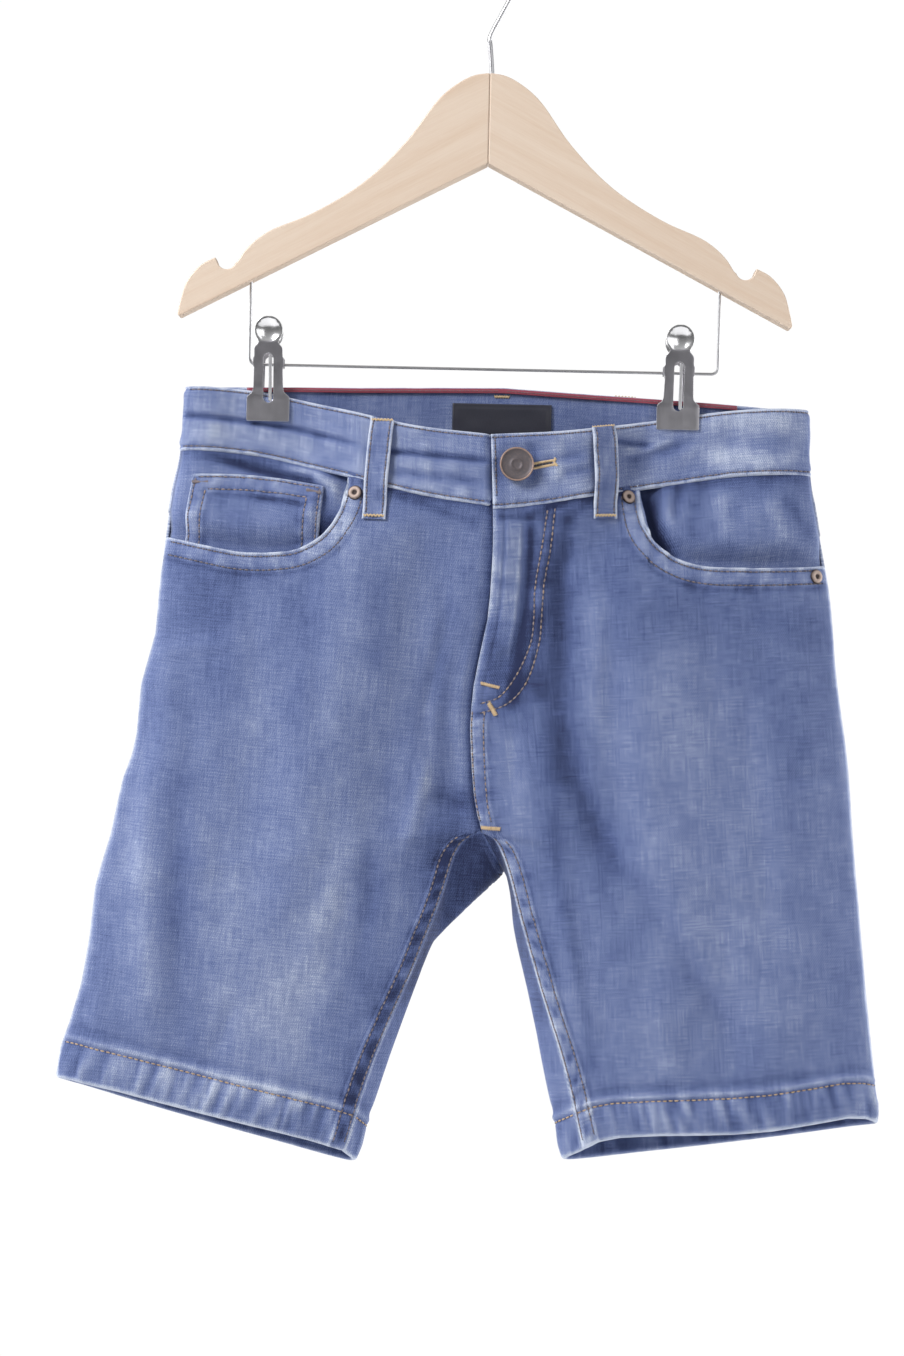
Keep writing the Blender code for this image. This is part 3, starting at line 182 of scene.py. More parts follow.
# Creases on top of those folds: soft ridges, or troughs where `height` is negative, along a line
# of (x, z) points.
Crease = namedtuple("Crease", "width height points")
CREASES = {
    "front": (
        Crease(7, -2.0, ((34, -160), (49, -201), (64, -229), (74, -242))),
        Crease(6, -1.1, ((60, -222), (74, -242), (94, -268), (108, -292), (138, -327))),
        Crease(5, 1.2, ((36, -236), (43, -273), (48, -303), (52, -335))),
        Crease(6, 1.4, ((50, -80), (54, -112), (53, -150), (60, -185))),
        Crease(5, -1.4, ((38, -62), (36, -101), (41, -150))),
        Crease(7, -1.6, ((35, -60), (37, -100), (38, -150), (43, -196))),
        Crease(4, 1.0, ((-27, -180), (-32, -205), (-40, -236))),
        Crease(5, -0.8, ((-56, -220), (-53, -250), (-62, -294))),
        Crease(7, 0.7, ((-58, -206), (-77, -262), (-95, -310))),
        Crease(6, 0.8, ((-172, -185), (-166, -240), (-160, -305))),
        Crease(4, -1.6, ((-26, -198), (-14, -205), (-4, -209))),
        Crease(4, 0.8, ((-172, -135), (-148, -132), (-120, -129))),
        Crease(6, -0.9, ((-150, -180), (-148, -230), (-147, -335))),
        Crease(4, -0.7, ((140, -190), (160, -189), (179, -187))),
        Crease(5, -0.9, ((-20, -85), (-19, -120), (-27, -160), (-26, -190))),
        Crease(6, 0.5, ((82, -296), (92, -322), (96, -345))),
        Crease(5, -0.8, ((-118, -300), (-128, -335))),
    ),
    "back": (
        Crease(6, 1.4, ((-120, -215), (-108, -260), (-112, -310))),
        Crease(6, -1.8, ((-30, -180), (-58, -214), (-92, -244), (-120, -290))),
        Crease(5, 1.2, ((-24, -205), (-44, -232), (-58, -290))),
        Crease(6, -1.6, ((34, -178), (60, -216), (88, -250), (110, -300))),
        Crease(5, 1.2, ((30, -212), (46, -250), (52, -310))),
        Crease(6, 1.3, ((128, -212), (120, -260), (126, -320))),
        Crease(4, -1.3, ((-150, -120), (-152, -170), (-146, -230))),
        Crease(4, -1.3, ((146, -110), (152, -165), (150, -220))),
        Crease(4, 0.8, ((-60, -186), (-20, -192), (24, -190), (70, -184))),
    ),
}
CREASE_SCALE = 1.5
CREASE_ENDS = (0.3, 0.35, 0.02)    # how much of its length each end fades over, and how far past it
CREASE_PAINTED_SHADING = 0.3          # how much a millimetre of a crease's height pales the cloth on a ridge, worn and with a painted highlight, and darkens it in a trough as painted shade
# Bends of the fly, with all its layers.
FLY_BENDS = (
    Crease(2.6, -0.9, ((4, -65), (16, -67), (29, -69))),
    Crease(2.6, -1.3, ((23.5, -72), (20.5, -92), (18.5, -112), (14, -134))),
    Crease(7.0, -1.2, ((8, -128), (14, -140))),
    Crease(2.6, 0.8, ((27, -72), (26, -95), (25.5, -118))),
    Crease(4.0, -0.9, ((14, -160), (15, -180), (13, -206))),
)
FLY_MEETS = (1.0, 6.0)     # they begin this far from the fly's edge
# How far the centre seam leans to the right of its plain line, at each height.
SEAM_LEAN = (
    (-217, 0.0), (-205, -1.0), (-192, -2.4), (-180, -3.6), (-169, -4.8), (-158, -5.5), (-147, -5.4),
    (-136, -4.1), (-125, -2.3), (-115, -0.6), (-104, 0.0),
)
LEAN_REACH = 26.0
# How far the right side seam lies inside its plain line, at each height.
SIDE_IN = (
    (-330, 0.0), (-318, 2.0), (-300, 3.2), (-275, 3.3), (-250, 1.4), (-225, 3.4), (-197, 3.2), (-185, 4.8),
    (-175, 4.8), (-150, 1.6), (-125, 3.2), (-105, 0.8), (-95, 0.0),
)
SIDE_REACH = 30.0
# How far each front hem's edge lies above its plain line, across the leg from the inseam.
HEM_EDGE = {
    RIGHT: ((0.0, 0.0), (0.12, 1.4), (0.25, 1.9), (0.5, 2.0), (0.75, 2.2), (0.92, 1.4), (1.0, 0.0)),
    LEFT: (
        (0.0, 0.0), (0.05, 3.3), (0.12, 4.8), (0.25, 4.6), (0.38, 3.3), (0.5, 2.3), (0.62, 2.3), (0.75, 3.6),
        (0.87, 5.0), (0.94, 3.4), (1.0, 0.0),
    ),
}
HEM_EDGE_REACH = 70.0
# Where the cloth is washed paler, and where a negative amount paints it darker: painted shade in folds and
# troughs, under the band and the fly, and at the crotch.
Fade = namedtuple("Fade", "x0 z0 x1 z1 width amount")
FADES_AND_SHADE = {
    "front": (
        Fade(-70, -115, -122, -300, 50, 0.95),
        Fade(100, -170, 126, -290, 48, 0.75),
        Fade(-150, -92, -90, -108, 24, -0.55),
        Fade(105, -98, 160, -110, 24, -0.4),
        Fade(-20, -80, -18, -170, 22, -0.15),
        Fade(26, -150, 40, -230, 22, -0.5),
        Fade(-30, -225, -60, -340, 16, -0.3),
        Fade(10, -80, 2, -130, 8, 0.4),
        Fade(22, -75, 20, -125, 5, -0.5),
        Fade(-28, -150, -27.5, -195, 4, 0.6),
        Fade(-27.5, -195, -38, -226, 4, 0.7),
        Fade(-58, -212, -78, -265, 9, 0.3),
        Fade(-78, -265, -92, -298, 12, 0.3),
        Fade(-55, -225, -53, -258, 7, -0.35),
        Fade(-53, -258, -61, -290, 8, -0.4),
        Fade(-42, -233, -40, -255, 5, 0.5),
        Fade(-40, -255, -51, -288, 5, 0.5),
        Fade(-170, -190, -168, -235, 10, 0.5),
        Fade(-72, -262, -97, -312, 24, 0.45),
        Fade(-180, -336, -70, -352, 7, 0.8),
        Fade(-168, -235, -161, -300, 8, 0.6),
        Fade(-147, -200, -146, -330, 7, -0.35),
        Fade(-140, -240, -138, -330, 6, -0.3),
        Fade(-122, -250, -122, -310, 6, 0.3),
        Fade(-135, -100, -132, -150, 12, -0.7),
        Fade(-52, -97, -53, -137, 5, -0.7),
        Fade(-103, -212, -96, -272, 10, -0.5),
        Fade(-181, -275, -184, -325, 8, -0.3),
        Fade(-176, -225, -184, -262, 7, 0.35),
        Fade(-82, -300, -95, -335, 14, 0.4),
        Fade(26, -92, 25, -152, 5, -1.1),
        Fade(6, -132, 8, -158, 6, -0.6),
        Fade(34, -205, 40, -255, 3.5, -0.8),
        Fade(40, -255, 57, -330, 3.5, -0.8),
        Fade(58, -232, 70, -275, 5, -0.35),
        Fade(80, -108, 150, -118, 15, -0.3),
        Fade(128, -135, 152, -170, 14, -0.45),
        Fade(84, -132, 94, -186, 16, 0.25),
        Fade(120, -325, 150, -332, 8, -0.4),
        Fade(3, -120, 2, -142, 5, -1.1),
        Fade(60, -84, 72, -122, 11, -0.8),
        Fade(-44, -56, -8, -68, 2.6, -1.0),
        Fade(5, -65.5, 20, -64.5, 1.9, -1.6),
        Fade(20, -64.5, 35, -57, 2.2, -1.2),
        Fade(49, -56, 38, -66, 2.6, -1.1),
        Fade(38, -66, 39, -82, 4.0, -0.8),
        Fade(-85, -95, -92, -190, 16, -0.7),
        Fade(-172, -130, -182, -210, 14, -0.7),
        Fade(32, -62, 35, -190, 7, -1.0),
        Fade(42, -190, 66, -236, 8, -0.6),
        Fade(13, -175, 22, -230, 7, 0.9),
        Fade(-12, -145, -10, -195, 5, 0.6),
        Fade(-10, -205, -22, -240, 9, -1.2),
        Fade(11, -125, 15, -146, 8, -1.5),
        Fade(62, -312, 92, -330, 12, 0.4),
    ),
    "back": (
        Fade(-75, -100, -85, -200, 42, 0.7),
        Fade(80, -100, 90, -200, 42, 0.7),
        Fade(-100, -225, -120, -310, 34, 0.4),
        Fade(105, -225, 122, -310, 34, 0.4),
        Fade(0, -150, 0, -225, 26, -0.5),
        # Painted shade between the legs, where the backs fold under the crotch.
        Fade(2, -226, -34, -290, 22, -2.2),
        Fade(12, -240, 30, -300, 12, -1.6),
    ),
}


def smooth(value, low, high):
    """0 below `low`, 1 above `high`, and a smooth step between them."""
    t = np.clip((value - low) / (high - low), 0.0, 1.0)
    return t * t * (3 - 2 * t)


def noise(u, v, seed):
    """Smooth noise from -1 to 1 over two arrays, with one cell to a unit."""
    u, v = np.broadcast_arrays(np.asarray(u, float), np.asarray(v, float))
    i, j = np.floor(u).astype(np.int64), np.floor(v).astype(np.int64)
    a, b = smooth(u - i, 0, 1), smooth(v - j, 0, 1)

    def corner(di, dj):
        mixed = (i + di) * 374761393 + (j + dj) * 668265263 + seed * 69069
        mixed = ((mixed ^ (mixed >> 13)) & 0xFFFFFFFF) * 1274126177 & 0xFFFFFFFF
        return ((mixed ^ (mixed >> 16)) & 0xFFFF) / 32767.5 - 1

    low = corner(0, 0) * (1 - a) + corner(1, 0) * a
    high = corner(0, 1) * (1 - a) + corner(1, 1) * a
    return low * (1 - b) + high * b


def bell(distance, width):
    """1 at no distance, falling away softly on both sides."""
    return np.exp(-(distance / width) ** 2)


def fading(distance, reach):
    """1 up to no distance, and ever less beyond it."""
    return np.exp(-np.maximum(0, distance) / reach)


def unit(vectors):
    return vectors / np.maximum(np.linalg.norm(vectors, axis=-1, keepdims=True), 1e-9)


def read(table, drop):
    """The row of a table at any drop, by a smooth curve that may turn a corner at the crotch."""
    i = max(k for k in range(len(table) - 1) if k == 0 or table[k].drop <= drop)
    low, high = table[i], table[i + 1]
    before = low if i == 0 or low.drop == CROTCH_DROP else table[i - 1]
    after = high if i + 2 == len(table) or high.drop == CROTCH_DROP else table[i + 2]
    span = high.drop - low.drop
    t = (drop - low.drop) / span
    a, b, c, d = (np.array(row) for row in (before, low, high, after))
    slope_low = (c - a) / (high.drop - before.drop) * span
    slope_high = (d - b) / (after.drop - low.drop) * span
    row = (2 * t**3 - 3 * t**2 + 1) * b + (t**3 - 2 * t**2 + t) * slope_low
    row += (3 * t**2 - 2 * t**3) * c + (t**3 - t**2) * slope_high
    return type(low)(*row)


def spline(points, steps=10):
    """A centripetal Catmull-Rom curve through `points`, with where each of them falls on it."""
    points = np.asarray(points, float)
    points = np.vstack([2 * points[0] - points[1], points, 2 * points[-1] - points[-2]])
    line, marks = [points[1][None]], [0]
    share = np.arange(1, steps + 1)[:, None] / steps
    for p0, p1, p2, p3 in zip(points, points[1:], points[2:], points[3:]):
        t1 = max(np.linalg.norm(p1 - p0), 1e-3) ** 0.5
        t2 = t1 + max(np.linalg.norm(p2 - p1), 1e-3) ** 0.5
        t3 = t2 + max(np.linalg.norm(p3 - p2), 1e-3) ** 0.5
        t = t1 + (t2 - t1) * share
        a1 = p0 + (p1 - p0) * t / t1
        a2 = p1 + (p2 - p1) * (t - t1) / (t2 - t1)
        a3 = p2 + (p3 - p2) * (t - t2) / (t3 - t2)
        b1 = a1 + (a2 - a1) * t / t2
        b2 = a2 + (a3 - a2) * (t - t1) / (t3 - t1)
        line.append(b1 + (b2 - b1) * (t - t1) / (t2 - t1))
        marks.append(marks[-1] + steps)
    return np.vstack(line), marks


def lengths(line):
    """The running length of a line of points."""
    return np.concatenate([[0.0], np.cumsum(np.linalg.norm(np.diff(line, axis=0), axis=1))])


def resample(line, shares):
    """The line at these shares of its length."""
    run = lengths(line)
    return np.stack([np.interp(np.asarray(shares) * run[-1], run, line[:, k]) for k in range(3)], -1)


FORM_SHARES = np.linspace(0, 1, 241)
FORM_DROPS = np.arange(-BAND, LEG + 1)
SETTLED = 110.0            # drop below which the front's heights follow the side seam's evenly
SAME_POINT = 2.5           # a back seam nearer its fold than this takes the fold's place


def section(half, drop):
    """The front and back of one half at this drop, each a line from the inner seam to the side."""
    row = read(RIGHT_HALF if half == RIGHT else LEFT_HALF, drop)
    depth = read(DEPTHS, drop)
    settle = 1 - smooth(drop, 0, SETTLED)
    front, back = [], []
    for share, f, b in zip(
        STATIONS,
        (depth.f25, depth.f50, depth.f75, depth.f93),
        (depth.b25, depth.b50, depth.b75, depth.b93),
    ):
        up = share + (smooth(share, 0, STATIONS[-1]) - share) * settle
        front.append((
            row.front_x + (row.side_x - row.front_x) * share,
            -f,
            row.front_z + (row.side_z - row.front_z) * up,
        ))
        back.append((
            row.fold_x + (row.side_x - row.fold_x) * share,
            b,
            row.fold_z + (row.side_z - row.fold_z) * share,
        ))
    inner = (row.front_x, -depth.f0, row.front_z)
    fold = (row.fold_x, depth.b0, row.fold_z)
    seam = (row.back_x, depth.seam, row.back_z)
    ring = [inner, *front, (row.side_x, 0.0, row.side_z), *reversed(back), seam]
    if math.dist(seam, fold) > SAME_POINT:
        ring.insert(-1, fold)
    line, marks = spline(ring)
    turn = marks[len(front) + 1]
    return line[: turn + 1], line[turn:][::-1]


FORM, WIDTH = {}, {}
for half in (RIGHT, LEFT):
    lines = [section(half, drop) for drop in FORM_DROPS]
    for k, face in enumerate(("front", "back")):
        FORM[half, face] = np.array([resample(pair[k], FORM_SHARES) for pair in lines])
        WIDTH[half, face] = np.array([lengths(pair[k])[-1] for pair in lines])
CENTRE_X = {
    "front": np.array([read(RIGHT_HALF, drop).front_x for drop in FORM_DROPS]),
    "back": np.array([read(RIGHT_HALF, drop).back_x for drop in FORM_DROPS]),
}


ABOVE_HEM = {}
for key, grid in FORM.items():
    lengths_down = np.linalg.norm(np.diff(grid, axis=0), axis=-1)
    ABOVE_HEM[key] = np.vstack([np.cumsum(lengths_down[::-1], axis=0)[::-1], np.zeros(grid.shape[1])])


def wide(half, face, drop):
    """The panel's width at this drop."""
    return np.interp(drop, FORM_DROPS, WIDTH[half, face])


def between(grid, share, drop):
    """A value of one of the form's grids at any share and drop."""
    r = np.clip(drop + BAND, 0, len(FORM_DROPS) - 1.0001)
    c = np.clip(share, 0, 1) * (len(FORM_SHARES) - 1.0001)
    i, j = r.astype(int), c.astype(int)
    a, b = r - i, c - j
    if grid.ndim == 3:
        a, b = a[..., None], b[..., None]
    low = grid[i, j] * (1 - b) + grid[i, j + 1] * b
    high = grid[i + 1, j] * (1 - b) + grid[i + 1, j + 1] * b
    return low * (1 - a) + high * a


def base(half, face, share, drop):
    """A point of the plain form, without folds."""
    return between(FORM[half, face], share, drop)


def base_xz(half, face, share, drop):
    point = base(half, face, share, drop)
    return point[..., 0], point[..., 2]


def above_hem(half, face, share, drop):
    """How far up the cloth from its hem's edge."""
    return between(ABOVE_HEM[half, face], share, drop)


def hem_drop(half, face, share, above):
    """The drop that is so far above the hem's edge."""
    share, above = np.broadcast_arrays(np.asarray(share, float), np.asarray(above, float))
    low, high = np.full(share.shape, -BAND), np.full(share.shape, LEG)
    for _ in range(26):
        half_way = (low + high) / 2
        higher = above_hem(half, face, share, half_way) > above
        low, high = np.where(higher, half_way, low), np.where(higher, high, half_way)
    return (low + high) / 2


def from_segment(x, z, x0, z0, x1, z1):
    """Distance from a segment, and the share along it of the nearest point."""
    dx, dz = x1 - x0, z1 - z0
    t = np.clip(((x - x0) * dx + (z - z0) * dz) / (dx * dx + dz * dz), 0, 1)
    return np.hypot(x - x0 - t * dx, z - z0 - t * dz), t


def from_line(x, z, line):
    """Distance from a line of (x, z) points, and how far along it the nearest point is."""
    line = np.asarray(line, float)
    best, where = np.full(np.shape(x), 1e9), np.zeros(np.shape(x))
    start = 0.0
    for (x0, z0), (x1, z1) in zip(line, line[1:]):
        size = math.hypot(x1 - x0, z1 - z0)
        distance, t = from_segment(x, z, x0, z0, x1, z1)
        near = distance < best
        best, where = np.where(near, distance, best), np.where(near, start + t * size, where)
        start += size
    return best, where, start


def patches(rows, x, z):
    """The sum of soft patches, each along its segment."""
    total = np.zeros(np.shape(x))
    for row in rows:
        distance, _ = from_segment(x, z, row.x0, row.z0, row.x1, row.z1)
        total += row.amount * bell(distance, row.width)
    return total


def ridges(rows, x, z, first, last, past=0.0):
    """The height of these creases, whose ends fade out over shares of their length."""
    total = np.zeros(np.shape(x))
    for row in rows:
        distance, run, size = from_line(x, z, row.points)
        ends = smooth(run, -past * size, first * size) * smooth(size - run, -past * size, last * size)
        total += row.height * ends * bell(distance, row.width)
    return total


def faded_and_shaded(face, x, z):
    """How far the wash has taken the colour out here, with painted shade where a row is negative and the
    creases' painted highlight and shade.
    """
    height = CREASE_SCALE * ridges(CREASES[face], x, z, *CREASE_ENDS)
    return patches(FADES_AND_SHADE[face], x, z) + CREASE_PAINTED_SHADING * height


def value_at(table, at):
    """A value read from a table of (place, value) rows."""
    places, values = zip(*table)
    return np.interp(at, places, values)


def middle(half, face, share, drop):
    """A point of the cloth's middle surface with its folds, its hem's arch and the clips' pinch."""
    share, drop = np.broadcast_arrays(np.asarray(share, float), np.asarray(drop, float))
    point = base(half, face, share, drop)
    out = -1 if face == "front" else 1
    x, z = point[..., 0].copy(), point[..., 2].copy()
    inner = share * wide(half, face, drop)
    above = above_hem(half, face, share, drop)
    flat = smooth(share, 0.0, 0.14) * (1 - smooth(share, 0.86, 1.0)) * smooth(drop, 0, 40)
    loose = smooth(share, 0.0, 0.05) * (1 - smooth(share, 0.95, 1.0)) * smooth(drop, 2, 22)
    loose = loose * smooth(above, HEM, HEM + 14)
    swell = 0.9 * noise(x / 24, z / 46, 3) + 0.75 * noise(x / 13 + z / 90, z / 62, 5)
    swell = swell + 0.28 * noise(x / 8, z / 15, 6)
    creased = CREASE_SCALE * ridges(CREASES[face], x, z, *CREASE_ENDS)
    rise = flat * patches(FOLDS[face], x, z) + loose * (creased + swell)
    if half == RIGHT:
        side = (1 - share) * wide(half, face, drop)
        x += value_at(SIDE_IN, z) * bell(side, SIDE_REACH)
    if face == "front":
        x += value_at(SEAM_LEAN, z) * bell(inner, LEAN_REACH)
        z += value_at(HEM_EDGE[half], share) * (1 - smooth(above, 0, HEM_EDGE_REACH))
        if half == LEFT:
            rise = rise + ridges(FLY_BENDS, x, z, *CREASE_ENDS) * smooth(inner, *FLY_MEETS)
    else:
        z -= HEM_SAG * np.sin(math.pi * np.clip(share, 0, 1)) ** 0.7 * smooth(drop, SAG_FROM, LEG)
    y = point[..., 1] + out * rise
    near = 1 - smooth(np.abs(x - CLIP_X[half]), PINCH_HALF, PINCH_HALF + PINCH_BLEND)
    near = near * (1 - smooth(drop, PINCH_TOP, PINCH_END))
    y = np.where(np.abs(y) > PINCH_DEPTH, y + near * (math.copysign(PINCH_DEPTH, out) - y), y)
    return np.stack([x, y, z], -1)


SHARE_STEP, DROP_STEP = 0.005, 0.8     # the slopes are taken over these


def own_normal(half, face, share, drop):
    """The unit normal of one panel's middle surface, pointing away from the wearer."""
    share, drop = np.broadcast_arrays(np.asarray(share, float), np.asarray(drop, float))
    across = middle(half, face, np.minimum(share + SHARE_STEP, 1), drop)
    across -= middle(half, face, np.maximum(share - SHARE_STEP, 0), drop)
    down = middle(half, face, share, np.minimum(drop + DROP_STEP, LEG))
    down -= middle(half, face, share, np.maximum(drop - DROP_STEP, -BAND))
    return unit(np.cross(across, down)) * (-half if face == "front" else half)


def outward(half, face, share, drop):
    """The normal, mitred along a seam so that the two panels' edges meet there."""
    share, drop = np.broadcast_arrays(np.asarray(share, float), np.asarray(drop, float))
    own = own_normal(half, face, share, drop)
    other = "back" if face == "front" else "front"
    for here, partner in (
        (share >= 1, (half, other)),
        ((share <= 0) & (drop < CROTCH_DROP), (-half, face)),
        ((share <= 0) & (drop >= CROTCH_DROP), (half, other)),
    ):
        if here.any():
            mitre = unit(own[here] + own_normal(*partner, share[here], drop[here]))
            lean = np.sum(mitre * own[here], axis=-1, keepdims=True)
            own[here] = mitre / np.maximum(0.5, lean)
    return own


def cloth(half, face, share, drop, lift):
    """A point `lift` outside the middle surface."""
    normal = outward(half, face, share, drop)
    return middle(half, face, share, drop) + normal * np.asarray(lift)[..., None]


def over_cloth(half, face, share, drop, lift):
    """Points `lift` outside the middle surface, and its normals there."""
    return cloth(half, face, share, drop, lift), own_normal(half, face, share, drop)


def locate(half, face, x, z):
    """The share and drop of the middle surface that shows at x and z from the front."""
    x, z = np.broadcast_arrays(np.asarray(x, float), np.asarray(z, float))
    share, drop = np.full(x.shape, 0.5), -z
    for _ in range(14):
        here = middle(half, face, share, drop)
        right = (middle(half, face, share + 0.01, drop) - here) / 0.01
        low, high = np.maximum(drop - 0.5, -BAND), np.minimum(drop + 0.5, LEG)
        down = (middle(half, face, share, high) - middle(half, face, share, low)) / (high - low)[..., None]
        miss_x, miss_z = x - here[..., 0], z - here[..., 2]
        area = right[..., 0] * down[..., 2] - right[..., 2] * down[..., 0]
        share = np.clip(share + (miss_x * down[..., 2] - miss_z * down[..., 0]) / area, 0, 0.985)
        drop = np.clip(drop + (right[..., 0] * miss_z - right[..., 2] * miss_x) / area, -BAND, LEG)
    return share, drop


def half_at(face, x, z):
    """RIGHT or LEFT for each point, above the crotch."""
    line = np.interp(np.clip(-z - 25, -BAND, CROTCH_DROP), FORM_DROPS, CENTRE_X[face])
    return np.where(x < line, RIGHT, LEFT)


def on_face(face, x, z, lift):
    """Points `lift` over the cloth at x and z, and the normals there."""
    x, z, lift = np.broadcast_arrays(*(np.asarray(v, float) for v in (x, z, lift)))
    sides = half_at(face, x, z)
    points, normals = np.zeros((*x.shape, 3)), np.zeros((*x.shape, 3))
    for half in (RIGHT, LEFT):
        here = sides == half
        if here.any():
            share, drop = locate(half, face, x[here], z[here])
            normals[here] = own_normal(half, face, share, drop)
            points[here] = middle(half, face, share, drop) + normals[here] * lift[here][..., None]
    return points, normals


def place(points):
    """From the garment's millimetres to the frame's metres."""
    return (np.asarray(points, float) + (GARMENT_X, 0, -WAIST_DROP)) * MM


# ---------------------------------------------------------------- materials
def node(tree, kind, inputs=(), **settings):
    made = tree.nodes.new("ShaderNode" + kind)
    for key, value in settings.items():
        setattr(made, key, value)
    for key, value in dict(inputs).items():
        if isinstance(value, bpy.types.NodeSocket):
            tree.links.new(value, made.inputs[key])
        else:
            made.inputs[key].default_value = value
    return made


def maths(tree, operation, *values):
    return node(tree, "Math", dict(enumerate(values)), operation=operation).outputs[0]


def scaled(tree, vector, scale):
    return node(tree, "VectorMath", {0: vector, 1: scale}, operation="MULTIPLY").outputs[0]


def cloud(tree, vector, scale, detail=2.0, roughness=0.5):
    """Noise about 0, with `scale` cells to a metre along each axis."""
    made = node(
        tree, "TexNoise",
        {"Vector": scaled(tree, vector, scale), "Scale": 1.0, "Detail": detail, "Roughness": roughness},
    )
    return maths(tree, "SUBTRACT", made.outputs["Fac"], 0.5)


def weighted(tree, *pairs):
    """The sum of each value times its weight."""
    total = None
    for value, weight in pairs:
        if total is None:
            total = maths(tree, "MULTIPLY", value, weight)
        else:
            total = maths(tree, "MULTIPLY_ADD", value, weight, total)
    return total


def ramp(tree, value, *stops):
    made = node(tree, "ValToRGB", {"Fac": value})
    elements = made.color_ramp.elements
    while len(elements) < len(stops):
        elements.new(0.5)
    for element, (position, colour) in zip(elements, stops):
        element.position = position
        element.color = (*colour, 1.0)
    return made.outputs["Color"]


def mark(tree, name):
    return node(tree, "Attribute", attribute_name=name).outputs["Fac"]


def object_place(tree):
    return node(tree, "TexCoord").outputs["Object"]


def cloth_place(tree):
    return node(tree, "UVMap", uv_map="cloth").outputs["UV"]


def mapped(tree, value, low, high, to_low=0.0, to_high=1.0, **settings):
    ends = {"From Min": low, "From Max": high, "To Min": to_low, "To Max": to_high}
    return node(tree, "MapRange", {"Value": value, **ends}, **settings).outputs["Result"]


def new_material(name, roughness=0.8, metallic=0.0, **sockets):
    made = bpy.data.materials.new(name)
    made.use_nodes = True
    skin = made.node_tree.nodes["Principled BSDF"]
    skin.inputs["Roughness"].default_value = roughness
    skin.inputs["Metallic"].default_value = metallic
    for key, value in sockets.items():
        skin.inputs[key.replace("_", " ")].default_value = value
    return made, made.node_tree, skin


def paint(tree, skin, value, stops):
    tree.links.new(ramp(tree, value, *stops), skin.inputs["Base Color"])


def roughen(tree, skin, value, middle_value):
    tree.links.new(maths(tree, "ADD", value, middle_value), skin.inputs["Roughness"])


def bump(tree, skin, height, strength, distance):
    made = node(tree, "Bump", {"Height": height, "Strength": strength, "Distance": distance})
    tree.links.new(made.outputs["Normal"], skin.inputs["Normal"])


TWILL = 0.8                # distance between two ribs of the twill
TWILL_LEAN = 63.0          # degrees of the ribs from the weft
TWILL_WANDER = 5.0         # how far, in radians of a rib's wave, they stray
RUBBED_EDGE = (0.3, 3.0)   # millimetres from an edge between which it stops being rubbed pale
DENIM_STOPS = (
    (0.0, (0.018, 0.026, 0.078)),
    (0.3, (0.071, 0.101, 0.236)),
    (0.5, (0.127, 0.167, 0.332)),
    (0.7, (0.216, 0.262, 0.425)),
    (1.0, (0.520, 0.570, 0.690)),
)


def denim_material(name, tone=0.5, inside=-0.14):
    """Washed twill: `tone` is how pale its face is, and `inside`, when negative, how much darker its back is
    painted as shade, the more so at the hems.
    """
    made, tree, skin = new_material(name, 0.9, Sheen_Weight=0.3, Sheen_Roughness=0.4)
    skin.inputs["Sheen Tint"].default_value = (0.78, 0.84, 1.0, 1.0)
    skin.inputs["Specular IOR Level"].default_value = 0.25
    uv = cloth_place(tree)
    lean = math.radians(TWILL_LEAN)
    across = (math.sin(lean), -math.cos(lean), 0)
    run = node(tree, "VectorMath", {0: uv, 1: across}, operation="DOT_PRODUCT").outputs["Value"]
    wander = cloud(tree, uv, (260, 260, 1), 1)
    rib = maths(tree, "SINE", weighted(tree, (run, 2 * math.pi / (TWILL * MM)), (wander, TWILL_WANDER)))
    slub = cloud(tree, uv, (1250, 70, 1), 3, 0.65)
    thread = cloud(tree, uv, (95, 1250, 1), 2, 0.6)
    grain = cloud(tree, uv, (1900, 1900, 1), 1)
    streak = cloud(tree, uv, (260, 14, 1), 2)
    mottle = cloud(tree, uv, (55, 42, 1), 5, 0.6)
    edge = maths(tree, "MULTIPLY_ADD", cloud(tree, uv, (330, 330, 1), 2), 1.6, mark(tree, "edge"))
    rubbed = mapped(tree, edge, *RUBBED_EDGE, 1.0, 0.0, interpolation_type="SMOOTHSTEP")
    # The marks for wash and wear also carry painted shade in creases, furrows and under edges, and the inner
    # skin is painted darker as shade.
    value = weighted(
        tree, (slub, 0.42), (thread, 0.40), (grain, 0.52), (rib, 0.08), (streak, 0.14), (mottle, 0.38),
        (mark(tree, "fade"), 0.15), (mark(tree, "wear_and_shade"), 0.26), (rubbed, 0.30),
        (mark(tree, "inside"), inside),
    )
    paint(tree, skin, maths(tree, "ADD", value, tone), DENIM_STOPS)
    relief = weighted(tree, (rib, 0.35), (slub, 1.3), (thread, 0.8), (grain, 0.7))
    bump(tree, skin, relief, 0.45, 0.00012)
    return made


DENIM_CLOTH = denim_material("washed_denim", 0.47)
BAND_CLOTH = denim_material("washed_denim_band", 0.52, -0.13)
LOOP_CLOTH = denim_material("washed_denim_loops", 0.53)
FACING_CLOTH = denim_material("washed_denim_facing", 0.47)


# ---------------------------------------------------------------- cloth walls
def add_object(name, mesh, material):
    made = bpy.data.objects.new(name, mesh)
    bpy.context.scene.collection.objects.link(made)
    mesh.materials.append(material)
    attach(made, "root")
    return made


def stand_for(piece, node_name):
    """Hides the imported node that a piece stands for."""
    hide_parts(node_name)


def finished(bm, name):
    """The smooth mesh of a bmesh, which is freed."""
    mesh = bpy.data.meshes.new(name)
    bm.to_mesh(mesh)
    bm.free()
    mesh.shade_smooth()
    return mesh


def modify(piece, kind, **settings):
    modifier = piece.modifiers.new(kind.lower(), kind)
    for key, value in settings.items():
        setattr(modifier, key, value)


